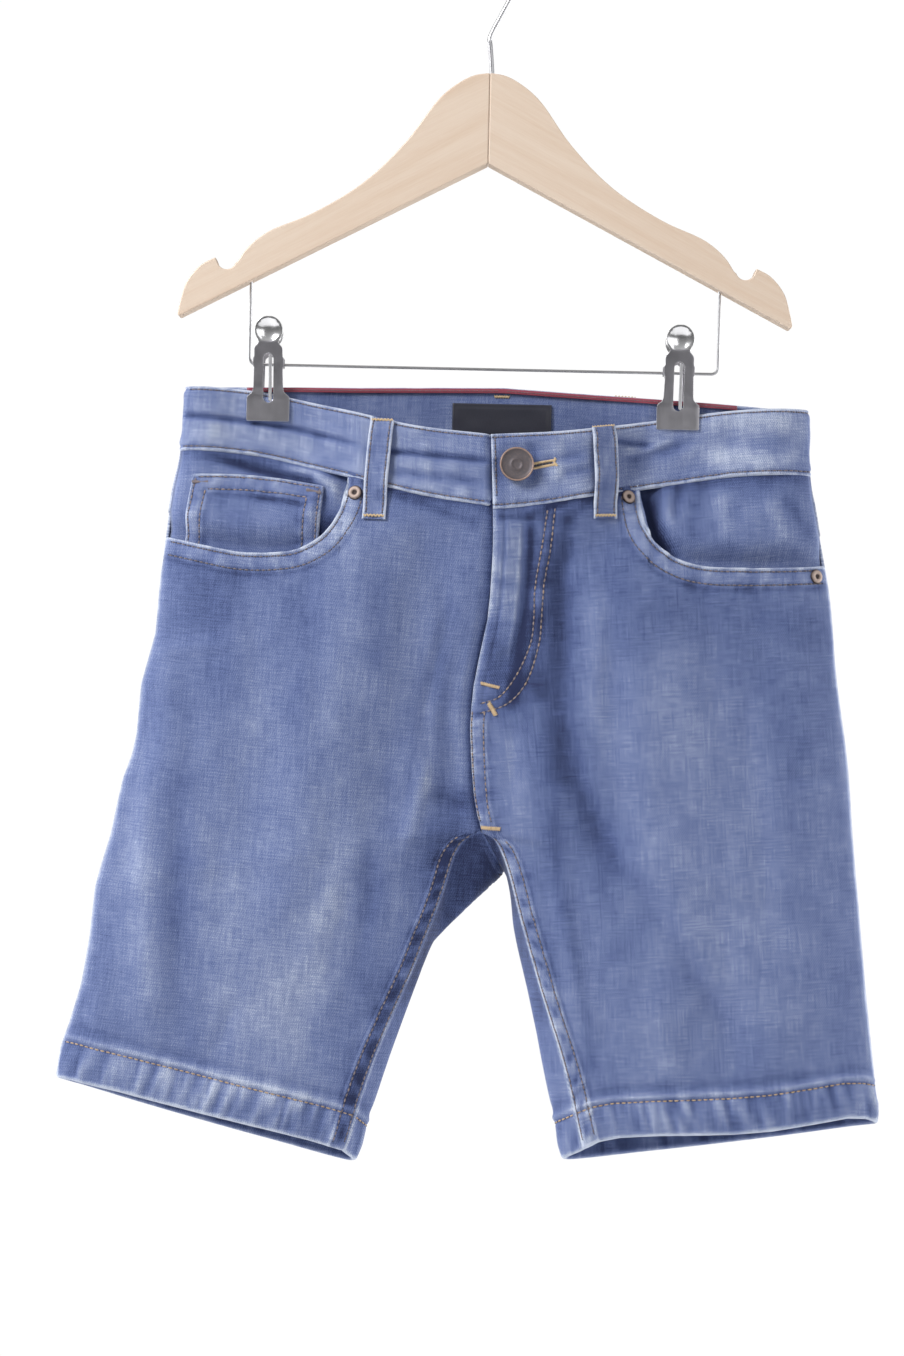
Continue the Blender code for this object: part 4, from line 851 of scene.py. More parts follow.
def solid_mesh(name, points, faces):
    """A mesh of a closed surface, turned so that its faces look out."""
    points, faces = np.asarray(points, float), np.asarray(faces)
    a, b, c, d = (points[faces[:, k]] for k in range(4))
    volume = np.sum(a * np.cross(b, c)) + np.sum(a * np.cross(c, d))
    if volume < 0:
        faces = faces[:, ::-1]
    mesh = bpy.data.meshes.new(name)
    mesh.from_pydata(points.tolist(), [], faces.tolist())
    mesh.shade_smooth()
    return mesh


def set_mark(mesh, name, values):
    layer = mesh.attributes.new(name, "FLOAT", "POINT")
    layer.data.foreach_set("value", np.ascontiguousarray(values, dtype=np.float32).ravel())


def set_uv(mesh, uv):
    layer = mesh.uv_layers.new(name="cloth")
    corner = np.empty(len(mesh.loops), dtype=np.int64)
    mesh.loops.foreach_get("vertex_index", corner)
    layer.data.foreach_set("uv", np.ascontiguousarray(uv[corner], dtype=np.float32).ravel())


def wall_faces(rows, columns):
    """The faces of a closed wall whose second skin follows its first in the list of points."""
    count = rows * columns
    index = np.arange(count).reshape(rows, columns)
    skin = np.stack([index[:-1, :-1], index[:-1, 1:], index[1:, 1:], index[1:, :-1]], -1).reshape(-1, 4)
    rim = np.concatenate([index[0, :-1], index[:-1, -1], index[-1, :0:-1], index[:0:-1, 0]])
    onward = np.roll(rim, -1)
    sides = np.stack([onward, rim, rim + count, onward + count], -1)
    return np.concatenate([skin, skin[:, ::-1] + count, sides])


FAR = 20.0                 # millimetres that count as no edge near


def wall(name, outer, inner, material, uv, edge=FAR, wear_and_shade=0.0, fade=0.0, inside=1.0):
    """A closed cloth wall between two grids of points, with its marks for the material."""
    rows, columns = outer.shape[:2]
    points = place(np.concatenate([outer.reshape(-1, 3), inner.reshape(-1, 3)]))
    mesh = solid_mesh(name, points, wall_faces(rows, columns))
    for key, values in (("edge", edge), ("wear_and_shade", wear_and_shade), ("fade", fade)):
        grid = np.broadcast_to(values, (rows, columns)).ravel()
        set_mark(mesh, key, np.concatenate([grid, grid]))
    grid = np.broadcast_to(inside, (rows, columns)).ravel()
    set_mark(mesh, "inside", np.concatenate([np.zeros(rows * columns), grid]))
    flat = np.stack([np.broadcast_to(v, (rows, columns)).ravel() for v in uv], -1) * MM
    set_uv(mesh, np.concatenate([flat, flat]))
    return add_object(name, mesh, material)


def declare(piece, node_name):
    """Hides the imported node that a cloth piece stands for."""
    stand_for(piece, node_name)


EDGE_STEPS = [0.0, 0.25, 0.6, 1.0]     # the first distances from a fine end


def steps(length, near_low, near_high, fine, coarse):
    """Distances from 0 to `length`, close together within `near_low` and `near_high` of its ends."""
    ends = []
    for near in (near_low, near_high):
        first = EDGE_STEPS if near else EDGE_STEPS[:1]
        count = max(0, round((near - 1.0) / fine))
        ends.append(np.array(first + [1.0 + (k + 1) * (near - 1.0) / count for k in range(count)]))
    low, high = ends
    span = length - low[-1] - high[-1]
    count = max(1, round(span / coarse))
    rest = low[-1] + span * np.arange(1, count) / count
    return np.concatenate([low, rest, (length - high)[::-1]])


def parts(length, near_low, near_high, fine, coarse):
    """The same as shares of the length."""
    return steps(length, near_low, near_high, fine, coarse) / length


ROUND_OVER, ROUND_LEAST = 1.3, 0.12    # parts of half a thickness


def rounded(distance, half_thick):
    """Half the thickness of a folded edge at this distance from it."""
    t = np.clip(distance / (ROUND_OVER * half_thick), 0, 1)
    return half_thick * np.maximum(ROUND_LEAST, np.sqrt(1 - (1 - t) ** 2))


# ---------------------------------------------------------------- what sewing does to the cloth
# The rows of stitches from a sewn edge, how wide and thick its allowance is, and how high and how
# far the cloth ripples beside it.
Seam = namedtuple("Seam", "rows band thick ripple reach")
FELLED_ROWS, FELLED_BAND = (0.9, 6.6), 7.6
MOUTH_SEAM = Seam((1.9, 8.4), 9.4, 0.7, 0.42, 4)
INSEAM = Seam(FELLED_ROWS, FELLED_BAND, 0.7, 0.8, 3)
STRIP_SEAM = Seam(FELLED_ROWS, FELLED_BAND, 0.7, 0.45, 3)      # below the fly
YOKE_SEAM = Seam(FELLED_ROWS, FELLED_BAND, 0.6, 0.45, 3)
SEAT_SEAM = Seam(FELLED_ROWS, FELLED_BAND, 0.5, 0.3, 3)
COIN_SEAM = Seam((1.6, 7.6), 9.0, 0.45, 0.5, 2.5)
PATCH_SEAM = Seam((1.8, 7.8), 9.0, 0.35, 0.22, 2.5)
PATCH_TOP = Seam((1.8, 11.5), 12.5, 0.6, 0.22, 3)


def pucker(run, across, seed):
    """The ripple along a sewn edge, slanted a little, from -1 to 1."""
    small = noise(run / 2.3 + across * 0.16, across / 8 + 7, seed)
    large = noise(run / 5.6 - across * 0.08, across / 13, seed + 1)
    return 0.55 * small + 0.6 * large


FURROW = 0.85              # width of the furrow that a row of stitches pulls in


def groove(distance, *rows):
    """The furrows of these rows of stitches, at each row's distance from the edge."""
    return sum(bell(distance - row, FURROW) for row in rows)


def sewn(distance, run, seam, seed):
    """Lift and wear beside a sewn edge, with painted shade in its furrows and a painted shadow just past its
    allowance.
    """
    past = distance - seam.band
    raised = 1 - smooth(past, -0.6, 1.2)
    rippled = pucker(run, distance, seed) * fading(past, seam.reach)
    furrows = groove(distance, *seam.rows)
    shadow = bell(past - 1.3, 1.2)
    lift = 1.2 * seam.thick * raised + 1.25 * seam.ripple * rippled - 0.6 * furrows
    wear_and_shade = 0.8 * rippled - 0.6 * furrows + 0.34 * raised - 0.5 * shadow
    return lift, wear_and_shade


def hem_relief(hem, along, seed):
    """A hem's roping, the ridge over its stitches and its worn fold, and their wear, with painted shade in
    the valley above the ridge and in the furrow of the stitches.
    """
    within = 1 - smooth(hem, HEM_ROW - 1.2, HEM_ROW + 0.4)
    roping = 0.6 * noise(along / 2.1, hem / 17, seed)
    roping = roping + 1.2 * noise(along / 4.2 + hem / 30, hem / 24, seed + 1)
    above = 0.45 * (1 - within) * np.exp((HEM_ROW - hem) / 7)
    roping = roping * (within * (0.3 + 0.7 * smooth(hem, 0, 6)) + above)
    raised = 1 - smooth(hem, HEM - 0.6, HEM + 1.4)
    ridge = bell(hem - HEM_ROW - 2.8, 1.5)
    valley = bell(hem - HEM_ROW - 7.5, 2.8)
    belly = bell(hem - 9.0, 5.0)
    furrow = groove(hem, HEM_ROW)
    lift = 0.4 * raised + 0.8 * roping + 1.2 * ridge - 0.5 * valley + 0.8 * belly - 0.8 * furrow
    wear_and_shade = 0.8 * roping + 0.85 * ridge - 0.4 * valley - 0.3 * furrow + 0.12 * within
    wear_and_shade = wear_and_shade + 1.1 * fading(hem, 1.2)
    return lift, wear_and_shade


# The pocket mouths' (x, z) points, from the waist seam to the side.
MOUTH = {
    RIGHT: (
        (-69.0, -48.5), (-70.6, -57.0), (-74.3, -67.2), (-82.0, -77.0), (-92.7, -82.7),
        (-106.0, -84.8), (-123.0, -84.5), (-140.0, -81.2), (-158.0, -77.4),
    ),
    LEFT: (
        (72.6, -45.0), (73.0, -56.6), (75.8, -68.5), (82.4, -77.7), (92.4, -84.2), (106.0, -87.2),
        (124.6, -87.4), (144.3, -86.7), (166.0, -85.0),
    ),
}
HEM_ROW = 18.2             # the hem's stitches above its edge
ROPE_PITCH = 7.6           # from one dip to the next along an inseam
Rope = namedtuple("Rope", "sharp reach depth pale")
INSEAM_ROPE = {RIGHT: Rope(0.6, 2.7, 1.1, -0.75), LEFT: Rope(2.5, 1.5, 1.5, 0.3)}
BAND_LAP = 0.9             # how far down over the panels the waistband's lower edge is
# The two rows that hold the fly.
FLY_ROWS = (
    (
        (28.3, -61), (25.7, -81), (23.3, -98), (22.8, -114), (21.8, -125), (15.5, -141), (6.7, -152.8),
        (-2, -156),
    ),
    (
        (31.9, -60), (29.9, -81), (27.1, -98), (26.5, -114), (25.8, -125), (19.5, -146), (10.7, -156),
        (-3, -161),
    ),
)
STRIP_TOP = -160.0         # the felled strip below the fly begins here
PLATEAU = (12.5, 15.5)     # the edge of the fly's layers, from the fly's edge
FLY_SLIT, FLY_FOLD = 5.6, 0.9      # furrows beside that edge
FLY_END = -150.0

MOUTH_LINE = {half: spline(MOUTH[half], 12)[0] for half in SIDES}
MOUTH_SIZE = {half: lengths(MOUTH_LINE[half])[-1] for half in SIDES}


LEAST_STEP = 0.0006        # between two columns, as a share of the width


def mouth_columns(half):
    """The pocket mouth as share and drop, from the waist seam to the side."""
    line = MOUTH_LINE[half]
    share, drop = locate(half, "front", line[:, 0], line[:, 1])
    for k in range(1, len(share)):
        share[k] = max(share[k], share[k - 1] + LEAST_STEP)
    share[-1] = 1.0
    drop[0] = 0.0
    return share, drop


MOUTH_AT = {half: mouth_columns(half) for half in SIDES}


def mouth_distance(half, share, drop):
    """Distance from the pocket's mouth, and how far along it."""
    return from_line(*base_xz(half, "front", share, drop), MOUTH_LINE[half])[:2]


# How the fly's upper layer stands over the lower one beside the centre seam.
FlyStep = namedtuple("FlyStep", "height near far")
FLY_STEP = {LEFT: FlyStep(0.9, 4, 15), RIGHT: FlyStep(-1.1, 0, 7)}


def leg_part(drop):
    """0 on the body and 1 on the legs."""
    return smooth(drop, CROTCH_DROP - 2, CROTCH_DROP + 6)


def fly_step(half, inner, drop):
    step = FLY_STEP[half]
    return step.height * (1 - smooth(inner, step.near, step.far)) * (1 - leg_part(drop))


def fly_relief(share, drop, inner, inseam_rub_and_shade):
    """Lift and wear of the left front's fly and of the felled strip below it, with painted shade in the slit
    and in the hollow beside the fly's layers.
    """
    seen = middle(LEFT, "front", share, drop)
    strip = smooth(-seen[..., 2], -STRIP_TOP - 6, -STRIP_TOP + 2)
    up, rub_and_shade = sewn(inner, drop, STRIP_SEAM, 61)
    lift, wear_and_shade = up * strip, (rub_and_shade + inseam_rub_and_shade) * strip
    layers = (1 - smooth(inner, *PLATEAU)) * smooth(drop, 8, 18) * (1 - smooth(drop, 80, 104))
    fine = pucker(drop, inner, 63)
    slit = groove(inner, FLY_SLIT)
    up = 1.1 * layers + 0.3 * fine - 0.5 * slit - 0.4 * groove(inner, FLY_FOLD)
    hollow = bell(inner - PLATEAU[1] - 2.8, 2.6) * smooth(drop, 8, 18) * (1 - smooth(drop, 110, 130))
    brink = bell(inner - PLATEAU[0] - 0.8, 1.1)
    # The slit and the hollow beside the fly's layers are painted darker as shade.
    rub_and_shade = (0.25 + 0.45 * fine - 0.8 * slit + 0.9 * brink) * layers - 1.6 * hollow
    return lift + up * (1 - strip), wear_and_shade + rub_and_shade * (1 - strip), seen


def inseam_relief(half, drop, inner):
    """Lift and wear of the felled inseam, with its rope of dips painted darker as shade, and the wear and
    shade that the strip shares.
    """
    up, rub_and_shade = sewn(inner, drop, INSEAM, 51 + half)
    within = 1 - smooth(inner, FELLED_BAND - 1, FELLED_BAND + 1)
    edges = bell(inner - FELLED_BAND - 0.3, 0.8) + 0.7 * bell(inner + 0.2, 0.9)
    beat = drop + 2.2 * noise(drop / 9, inner / 9, 55)
    rope = INSEAM_ROPE[half]
    knots = (0.5 + 0.5 * np.sin(2 * math.pi * beat / ROPE_PITCH)) ** rope.sharp
    knots = knots * bell(inner - 3.8, rope.reach)
    # The rope's dips are painted darker as shade.
    rub_and_shade = rub_and_shade + (0.35 * pucker(drop, inner, 53) + rope.pale) * within + 0.65 * edges - rope.depth * knots
    return up - 0.35 * knots, rub_and_shade, 0.5 * edges - 0.8 * knots


def front_relief(half, share, drop):
    """What sewing adds to a front panel's outer skin, how worn and painted with shade it is, and how near an
    edge.
    """
    width = wide(half, "front", drop)
    inner, side = share * width, (1 - share) * width
    hem = above_hem(half, "front", share, drop)
    x, _ = base_xz(half, "front", share, drop)
    lift, wear_and_shade = hem_relief(hem, share * float(wide(half, "front", LEG)), 11 + half)
    mouth, run = mouth_distance(half, share, drop)
    up, rub_and_shade = sewn(mouth, run, MOUTH_SEAM, 21 + half)
    gape = smooth(run, 8, 40) * smooth(MOUTH_SIZE[half] - run, 4, 30)
    pale = 1 - smooth(mouth - MOUTH_SEAM.band, -1, 0.6)
    lift, wear_and_shade = lift + up + 1.5 * gape * fading(mouth, 9), wear_and_shade + rub_and_shade + 0.25 * pale
    ripple = pucker(x, drop, 31 + half) * fading(drop, 5) * (mouth > 4)
    # A painted shadow on the panel just under the band.
    under_band_shadow = fading(drop - BAND_LAP - 1.5, 3.0) * (mouth > 1)
    lift, wear_and_shade = lift + 0.35 * ripple, wear_and_shade + 0.4 * ripple - 1.2 * under_band_shadow
    ripple = pucker(drop, side, 41 + half) * fading(side, 5)
    lift = lift + 0.5 * ripple + 0.35 * bell(side - 3.5, 2)
    # Paler along the side seam: worn there, and a painted rim of light along the edge.
    wear_and_shade = wear_and_shade + 0.4 * ripple + 0.25 * bell(side - 3, 2) + 0.7 * fading(side, 2.5)
    legs = leg_part(drop)
    body = 1 - legs
    up, rub_and_shade, shared = inseam_relief(half, drop, inner)
    lift, wear_and_shade = lift + up * legs + fly_step(half, inner, drop), wear_and_shade + rub_and_shade * legs
    edge = np.minimum(mouth, hem)
    if half == LEFT:
        up, rub_and_shade, seen = fly_relief(share, drop, inner, shared)
        lift, wear_and_shade = lift + up * body, wear_and_shade + rub_and_shade * body
        for row in FLY_ROWS:
            distance, run, _ = from_line(seen[..., 0], seen[..., 2], row)
            rippled, furrow = pucker(run, distance, 65) * fading(distance, 3.0), groove(distance, 0)
            lift, wear_and_shade = lift - 0.5 * furrow + 0.4 * rippled, wear_and_shade - 0.5 * furrow + 0.6 * rippled
        edge = np.minimum(edge, inner + FAR * legs)
    else:
        # A painted shadow on the right front beside the left front's edge.
        wear_and_shade = wear_and_shade - 1.1 * bell(inner, 2.2) * body
    edge = np.minimum(edge, inner + 0.25 + FAR * body)
    return lift, wear_and_shade, np.minimum(edge, side + 0.35)


def back_relief(half, share, drop, yoke):
    """The same for a back panel or its yoke."""
    width = wide(half, "back", drop)
    inner, side = share * width, (1 - share) * width
    hem = above_hem(half, "back", share, drop)
    lift, wear_and_shade = hem_relief(hem, share * float(wide(half, "back", LEG)), 71 + half)
    lift = lift * (0.25 + 0.75 * smooth(inner, 4, 24))
    ripple = pucker(drop, side, 81 + half) * fading(side, 5)
    lift = lift + 0.3 * ripple
    # Paler along the side seam: worn there, and a painted rim of light along the edge.
    wear_and_shade = wear_and_shade + 0.35 * ripple + 0.15 * bell(side - 3, 2) + 0.5 * fading(side, 2.5)
    seam = drop - yoke_drop(share)
    edge = np.minimum(hem, side + 0.45)
    if yoke:
        up, rub_and_shade = sewn(-seam, inner, YOKE_SEAM, 91 + half)
        # A painted shadow on the yoke just under the band.
        near = fading(drop - BAND_LAP, 2.4)
        up, rub_and_shade = up - 0.1 * near, rub_and_shade - 0.8 * near
        edge = np.minimum(edge, -seam + 0.2)
    else:
        # Below the yoke's seam the ripple fades out, and the cloth is painted darker there as the seam's
        # shadow.
        near = fading(seam, 4)
        rippled = pucker(inner, seam, 95 + half) * near
        up, rub_and_shade = 0.3 * rippled, 0.4 * rippled - 0.6 * near
    lift, wear_and_shade = lift + up, wear_and_shade + rub_and_shade
    if half == RIGHT:
        body = 1 - smooth(drop, CROTCH_DROP - 6, CROTCH_DROP + 4)
        up, rub_and_shade = sewn(inner, drop, SEAT_SEAM, 99)
        lift, wear_and_shade = lift + up * body, wear_and_shade + rub_and_shade * body
    return lift, wear_and_shade, np.minimum(edge, inner + (0.3 if half == RIGHT else 0.7))


YOKE_CENTRE, YOKE_SIDE = 52.0, 31.0     # drops of its lower seam
YOKE_LAP = 0.6


def yoke_drop(share):
    return YOKE_CENTRE + (YOKE_SIDE - YOKE_CENTRE) * share


# ---------------------------------------------------------------- panels
TUCK = 2.0                 # how far a panel's top goes up inside the band
NEAR_HEM = 29.0            # rows are close together up to here
ROW_GAP = {"front": 1.6, "back": 2.1}    # and this far apart elsewhere
GRAIN_LEAN = 4.0           # degrees by which the cloth's warp leans out down each leg
PATTERN_X, PATTERN_Y = 400, {"front": 0, "back": 900}     # where each panel is cut from the cloth
FACING_Y, COIN_X, COIN_Y = 450, -300, 470                  # and each smaller piece
FLY_X, BAND_Y, LOOP_X, LOOP_NEXT, PATCH_X = 700, 1300, 1700, 40, 2300
MOUTH_AT[RIGHT][1][0] = MOUTH_AT[LEFT][1][0] = -TUCK


def panel_top(half, share):
    """A front panel's top edge: the waist seam, and then the pocket's mouth."""
    shares, drops = MOUTH_AT[half]
    return np.where(share < shares[0], -TUCK, np.interp(share, shares, drops))


def turned_up(hem):
    """The middle of a panel's wall and half its thickness, to which the hem adds on the inside."""
    more = smooth(-hem, -HEM - 0.8, -HEM + 0.4) * (HEM_THICK - DENIM) / 2
    return -more, DENIM / 2 + more


def front_lifts(half, share, drop):
    """How far out a front's outer skin is and how far in its inner one, its wear with its painted shade, and
    its nearest edge.
    """
    relief, wear_and_shade, edge = front_relief(half, share, drop)
    width = wide(half, "front", drop)
    inner, side = share * width, (1 - share) * width
    hem = above_hem(half, "front", share, drop)
    legs = leg_part(drop)
    meets = smooth(side, 0, 1.6) * (1 - legs * (1 - smooth(inner, 0, 1.4)))
    centre, half_thick = turned_up(hem)
    free = np.minimum(mouth_distance(half, share, drop)[0], hem)
    if half == LEFT:
        free = np.minimum(free, inner + 30 * legs)
    thin = rounded(free, half_thick)
    return centre + thin + relief * meets, -centre + thin - fly_step(half, inner, drop), wear_and_shade, edge


def panel_drops(half, face, columns, top, near_top):
    """The drops of a panel's rows, which are close together at its top edge and its hem."""
    size = above_hem(half, face, columns, top)
    plain = steps(LEG, near_top, NEAR_HEM, 0.75, ROW_GAP[face])[:, None]
    last = LEG - NEAR_HEM
    spread = near_top + (plain - near_top) * (size - NEAR_HEM - near_top) / (last - near_top)
    run = np.where(plain < near_top, plain, np.where(plain > last, size - (LEG - plain), spread))
    drops = hem_drop(half, face, np.broadcast_to(columns, run.shape), size - run)
    drops[0], drops[-1] = top, LEG
    return drops


HEM_SHADE, HEM_SHADE_REACH = 1.3, 16     # how much darker the inside is at the hems


def panel(name, half, face, columns, drops, lifts):
    """A front, back or yoke as one closed wall."""
    share = np.broadcast_to(columns, drops.shape)
    out, back, wear_and_shade, edge = lifts(half, share, drops)
    outer = cloth(half, face, share, drops, out)
    inner = cloth(half, face, share, drops, -back)
    seen = middle(half, face, share, drops)
    x, z = base_xz(half, face, share, drops)
    lean = math.radians(GRAIN_LEAN) * half
    u = x * math.cos(lean) + z * math.sin(lean) + PATTERN_X * half
    v = x * math.sin(lean) - z * math.cos(lean) + PATTERN_Y[face]
    fade = faded_and_shaded(face, seen[..., 0], seen[..., 2])
    inside = 1 + HEM_SHADE * fading(above_hem(half, face, share, drops), HEM_SHADE_REACH)
    piece = wall(name + "_cloth", outer, inner, DENIM_CLOTH, (u, v), edge, wear_and_shade, fade, inside)
    declare(piece, name)


def front_panel(name, half):
    shares = MOUTH_AT[half][0]
    run = shares[0] * wide(half, "front", 40.0)
    beside = parts(run, 24, 0, 0.75, 1.1) * shares[0]
    columns = np.concatenate([beside[:-1], shares])
    drops = panel_drops(half, "front", columns, panel_top(half, columns), 13)
    panel(name, half, "front", columns, drops, front_lifts)


def back_lifts(yoke):
    def lifts(half, share, drop):
        relief, wear_and_shade, edge = back_relief(half, share, drop, yoke)
        width = wide(half, "back", drop)
        inner, side = share * width, (1 - share) * width
        hem = above_hem(half, "back", share, drop)
        relief = relief * smooth(side, 0, 1.6) * smooth(inner, 0, 1.4)
        centre, half_thick = turned_up(hem)
        if yoke:
            thin = rounded(np.maximum(0.0, yoke_drop(share) + YOKE_LAP - drop), half_thick)
            return thin + relief + 0.55 * smooth(drop, 6, 18), thin, wear_and_shade, edge
        thin = rounded(hem, half_thick)
        return centre + thin + relief, -centre + thin, wear_and_shade, edge
    return lifts


def back_columns(half):
    return parts(wide(half, "back", 60.0), 10, 6, 0.8, 2.0)


def back_panel(name, half):
    columns = back_columns(half)
    drops = panel_drops(half, "back", columns, yoke_drop(columns) - TUCK, 8)
    panel(name, half, "back", columns, drops, back_lifts(False))


def yoke(name, half):
    columns = back_columns(half)
    down = parts(46, 4, 12, 0.75, 1.6)[:, None]
    drops = -TUCK + (yoke_drop(columns) + YOKE_LAP + TUCK) * down
    panel(name, half, "back", columns, drops, back_lifts(True))


# ---------------------------------------------------------------- pocket facings
FACING_BESIDE = 0.07
FACING_GAPE = 1.6          # how much further in the facing lies where the mouth gapes
POCKET_DEEP = 78.0
SINK_FROM, SINK_OVER = 2.0, 13.0
FACING_DEEP = (84.0, 100.0)    # its painted shadow in the mouth is darkest nearer the fly than this
# Below which heights that is, and how dark it is under the band and how far down.
Shade = namedtuple("Shade", "low_from low_to dark reach")
FACING_SHADE = {RIGHT: Shade(58, 70, 1.0, 3.5), LEFT: Shade(46, 58, 1.5, 7.0)}
FACING_CREASES = (
    Crease(2.5, -2.2, ((-150, -36.5), (-132, -39), (-105, -45.6), (-89, -48.6), (-82, -56), (-79, -68))),
    Crease(2.8, 1.6, ((-106, -41), (-86, -44.5), (-77, -50.5), (-74.5, -62))),
    Crease(3.2, -1.1, ((142, -48), (150, -58), (157, -70), (160, -78))),
    Crease(4.0, 0.9, ((134, -50), (141, -62), (147, -78))),
    Crease(2.4, -0.8, ((93, -42), (93, -54), (91, -66))),
    Crease(3.2, 0.8, ((87, -43), (87, -58), (89, -75))),
    Crease(4.5, -0.6, ((101, -50), (100, -64), (104, -78))),
    Crease(4.5, 0.7, ((113, -44), (114, -60), (120, -78))),
    Crease(3.4, -1.6, ((77, -50), (80, -62), (83, -73), (91, -83))),
)


def facing_sink(half, share, drop):
    """How far in the facing lies."""
    full = FACING_SINK + (SIDE_SINK - FACING_SINK) * smooth(share, 0.91, 0.98)
    full = full + FACING_GAPE * (1 - smooth(share, 0.80, 0.93))
    clear, _ = mouth_distance(half, share, drop)
    above = (share > MOUTH_AT[half][0][0]) & (drop < panel_top(half, share))
    return np.where(above, full * (1 - smooth(clear, SINK_FROM, SINK_FROM + SINK_OVER)), full)


def pocket_piece(name, half):
    """The facing that shows in a pocket's mouth, with the back of its bag below."""
    corner = MOUTH_AT[half][0][0]
    first = float(np.interp(corner + 0.01, *MOUTH_AT[half]))
    columns = np.concatenate([np.linspace(corner - FACING_BESIDE, corner, 5)[:-1], MOUTH_AT[half][0]])
    edge = np.maximum(panel_top(half, columns), max(first, 4.0))
    low = float(panel_top(half, np.array(0.9)))
    t = np.linspace(-1, 1, len(columns))
    bottom = low + POCKET_DEEP * (1 - 0.3 * np.abs(t) ** 3)
    down = np.concatenate([np.linspace(0, 1, 34), 1 + np.linspace(0.04, 1, 16)])[:, None]
    drops = -TUCK + (edge + TUCK) * np.minimum(down, 1) + (bottom - edge) * np.maximum(0, down - 1)
    share = np.broadcast_to(columns, drops.shape)
    x, z = base_xz(half, "front", share, drops)
    shown = 1 - smooth(down, 0.9, 1.0)
    creased = ridges(FACING_CREASES, x, z, 0.3, 0.3) * shown
    grain = 0.35 * noise(x / 9, z / 13, 77) * shown
    lift = (creased + grain) * smooth(drops, 0, 6) - facing_sink(half, share, drops)
    outer = cloth(half, "front", share, drops, FACING_THICK / 2 + lift)
    inner = cloth(half, "front", share, drops, -FACING_THICK / 2 + lift)
    shade = FACING_SHADE[half]
    clear, _ = mouth_distance(half, share, drops)
    # A painted shadow deep in the mouth, and the creases painted paler on their ridges and darker in their
    # troughs.
    deep_shadow = bell(clear, 10.0) * (1 - smooth(np.abs(x), *FACING_DEEP)) * shown
    deep_shadow = deep_shadow * smooth(-z, shade.low_from, shade.low_to)
    wear_and_shade = 0.85 * creased * smooth(drops, 0, 2) + 0.6 * grain - 2.2 * deep_shadow
    wear_and_shade = wear_and_shade - shade.dark * fading(drops - BAND_LAP, shade.reach)
    uv = (share * wide(half, "front", drops) + PATTERN_X * half, drops + FACING_Y)
    piece = wall(name + "_cloth", outer, inner, FACING_CLOTH, uv, FAR, wear_and_shade, 0.35)
    declare(piece, name)


COIN_OUTER, COIN_INNER = (-145.0, -46.5), (-81.0, -51.5)
COIN_BELOW = 17.0
COIN_ON = 1.25             # the coin pocket's middle over the facing's
COIN_CREASE = ((-120, -57.5), (-102, -59.5), (-86, -62.5))


def coin_grid(down, across):
    """Share, drop and distances from the coin pocket's top and sides at these parts of it."""
    (inner, outer), (top_in, top_out) = COIN_ENDS
    share = inner + (outer - inner) * across
    top = top_in + (top_out - top_in) * across
    low = panel_top(RIGHT, share) + COIN_BELOW
    drop = top + (low - top) * down
    width = wide(RIGHT, "front", 40.0) * (outer - inner)
    return share, drop, drop - top, np.minimum(across, 1 - across) * width


COIN_ENDS = tuple(zip(*[
    [float(value) for value in locate(RIGHT, "front", *corner)] for corner in (COIN_INNER, COIN_OUTER)
]))


def coin_lift(share, drop, top, side):
    """How far out the coin pocket's outer skin is and how far in its inner one, and its wear, with a painted
    shade in its crease.
    """
    x, z = base_xz(RIGHT, "front", share, drop)
    near = np.minimum(top, side)
    lift, wear_and_shade = sewn(near, np.where(top < side, x, z), COIN_SEAM, 131)
    crease, along, size = from_line(x, z, COIN_CREASE)
    bent = smooth(along, 0, 9) * smooth(size - along, 0, 6) * bell(crease, 1.8)
    lift, wear_and_shade = lift - 0.8 * bent + 0.35 * noise(x / 14, z / 14, 133), wear_and_shade - 1.2 * bent
    thin = rounded(np.minimum(top, side + 0.3), PATCH_THICK / 2)
    middle_lift = COIN_ON - facing_sink(RIGHT, share, drop)
    return middle_lift + thin + lift * smooth(near, -0.2, 1.2), middle_lift - thin, wear_and_shade


def coin_pocket():
    across = parts(65, 9.5, 9.5, 0.7, 1.3)
    down = parts(50, 10, 0, 0.7, 1.3)[:, None]
    share, drop, top, side = coin_grid(down, across[None, :])
    share, side = (np.broadcast_to(part, drop.shape) for part in (share, side))
    out, back, wear_and_shade = coin_lift(share, drop, top, side)
    outer = cloth(RIGHT, "front", share, drop, out)
    inner = cloth(RIGHT, "front", share, drop, back)
    uv = (share * wide(RIGHT, "front", drop) + COIN_X, drop + COIN_Y)
    piece = wall("coin_pocket_cloth", outer, inner, FACING_CLOTH, uv, np.minimum(top, side + 0.4), wear_and_shade, 0.0)
    declare(piece, "coin_pocket")


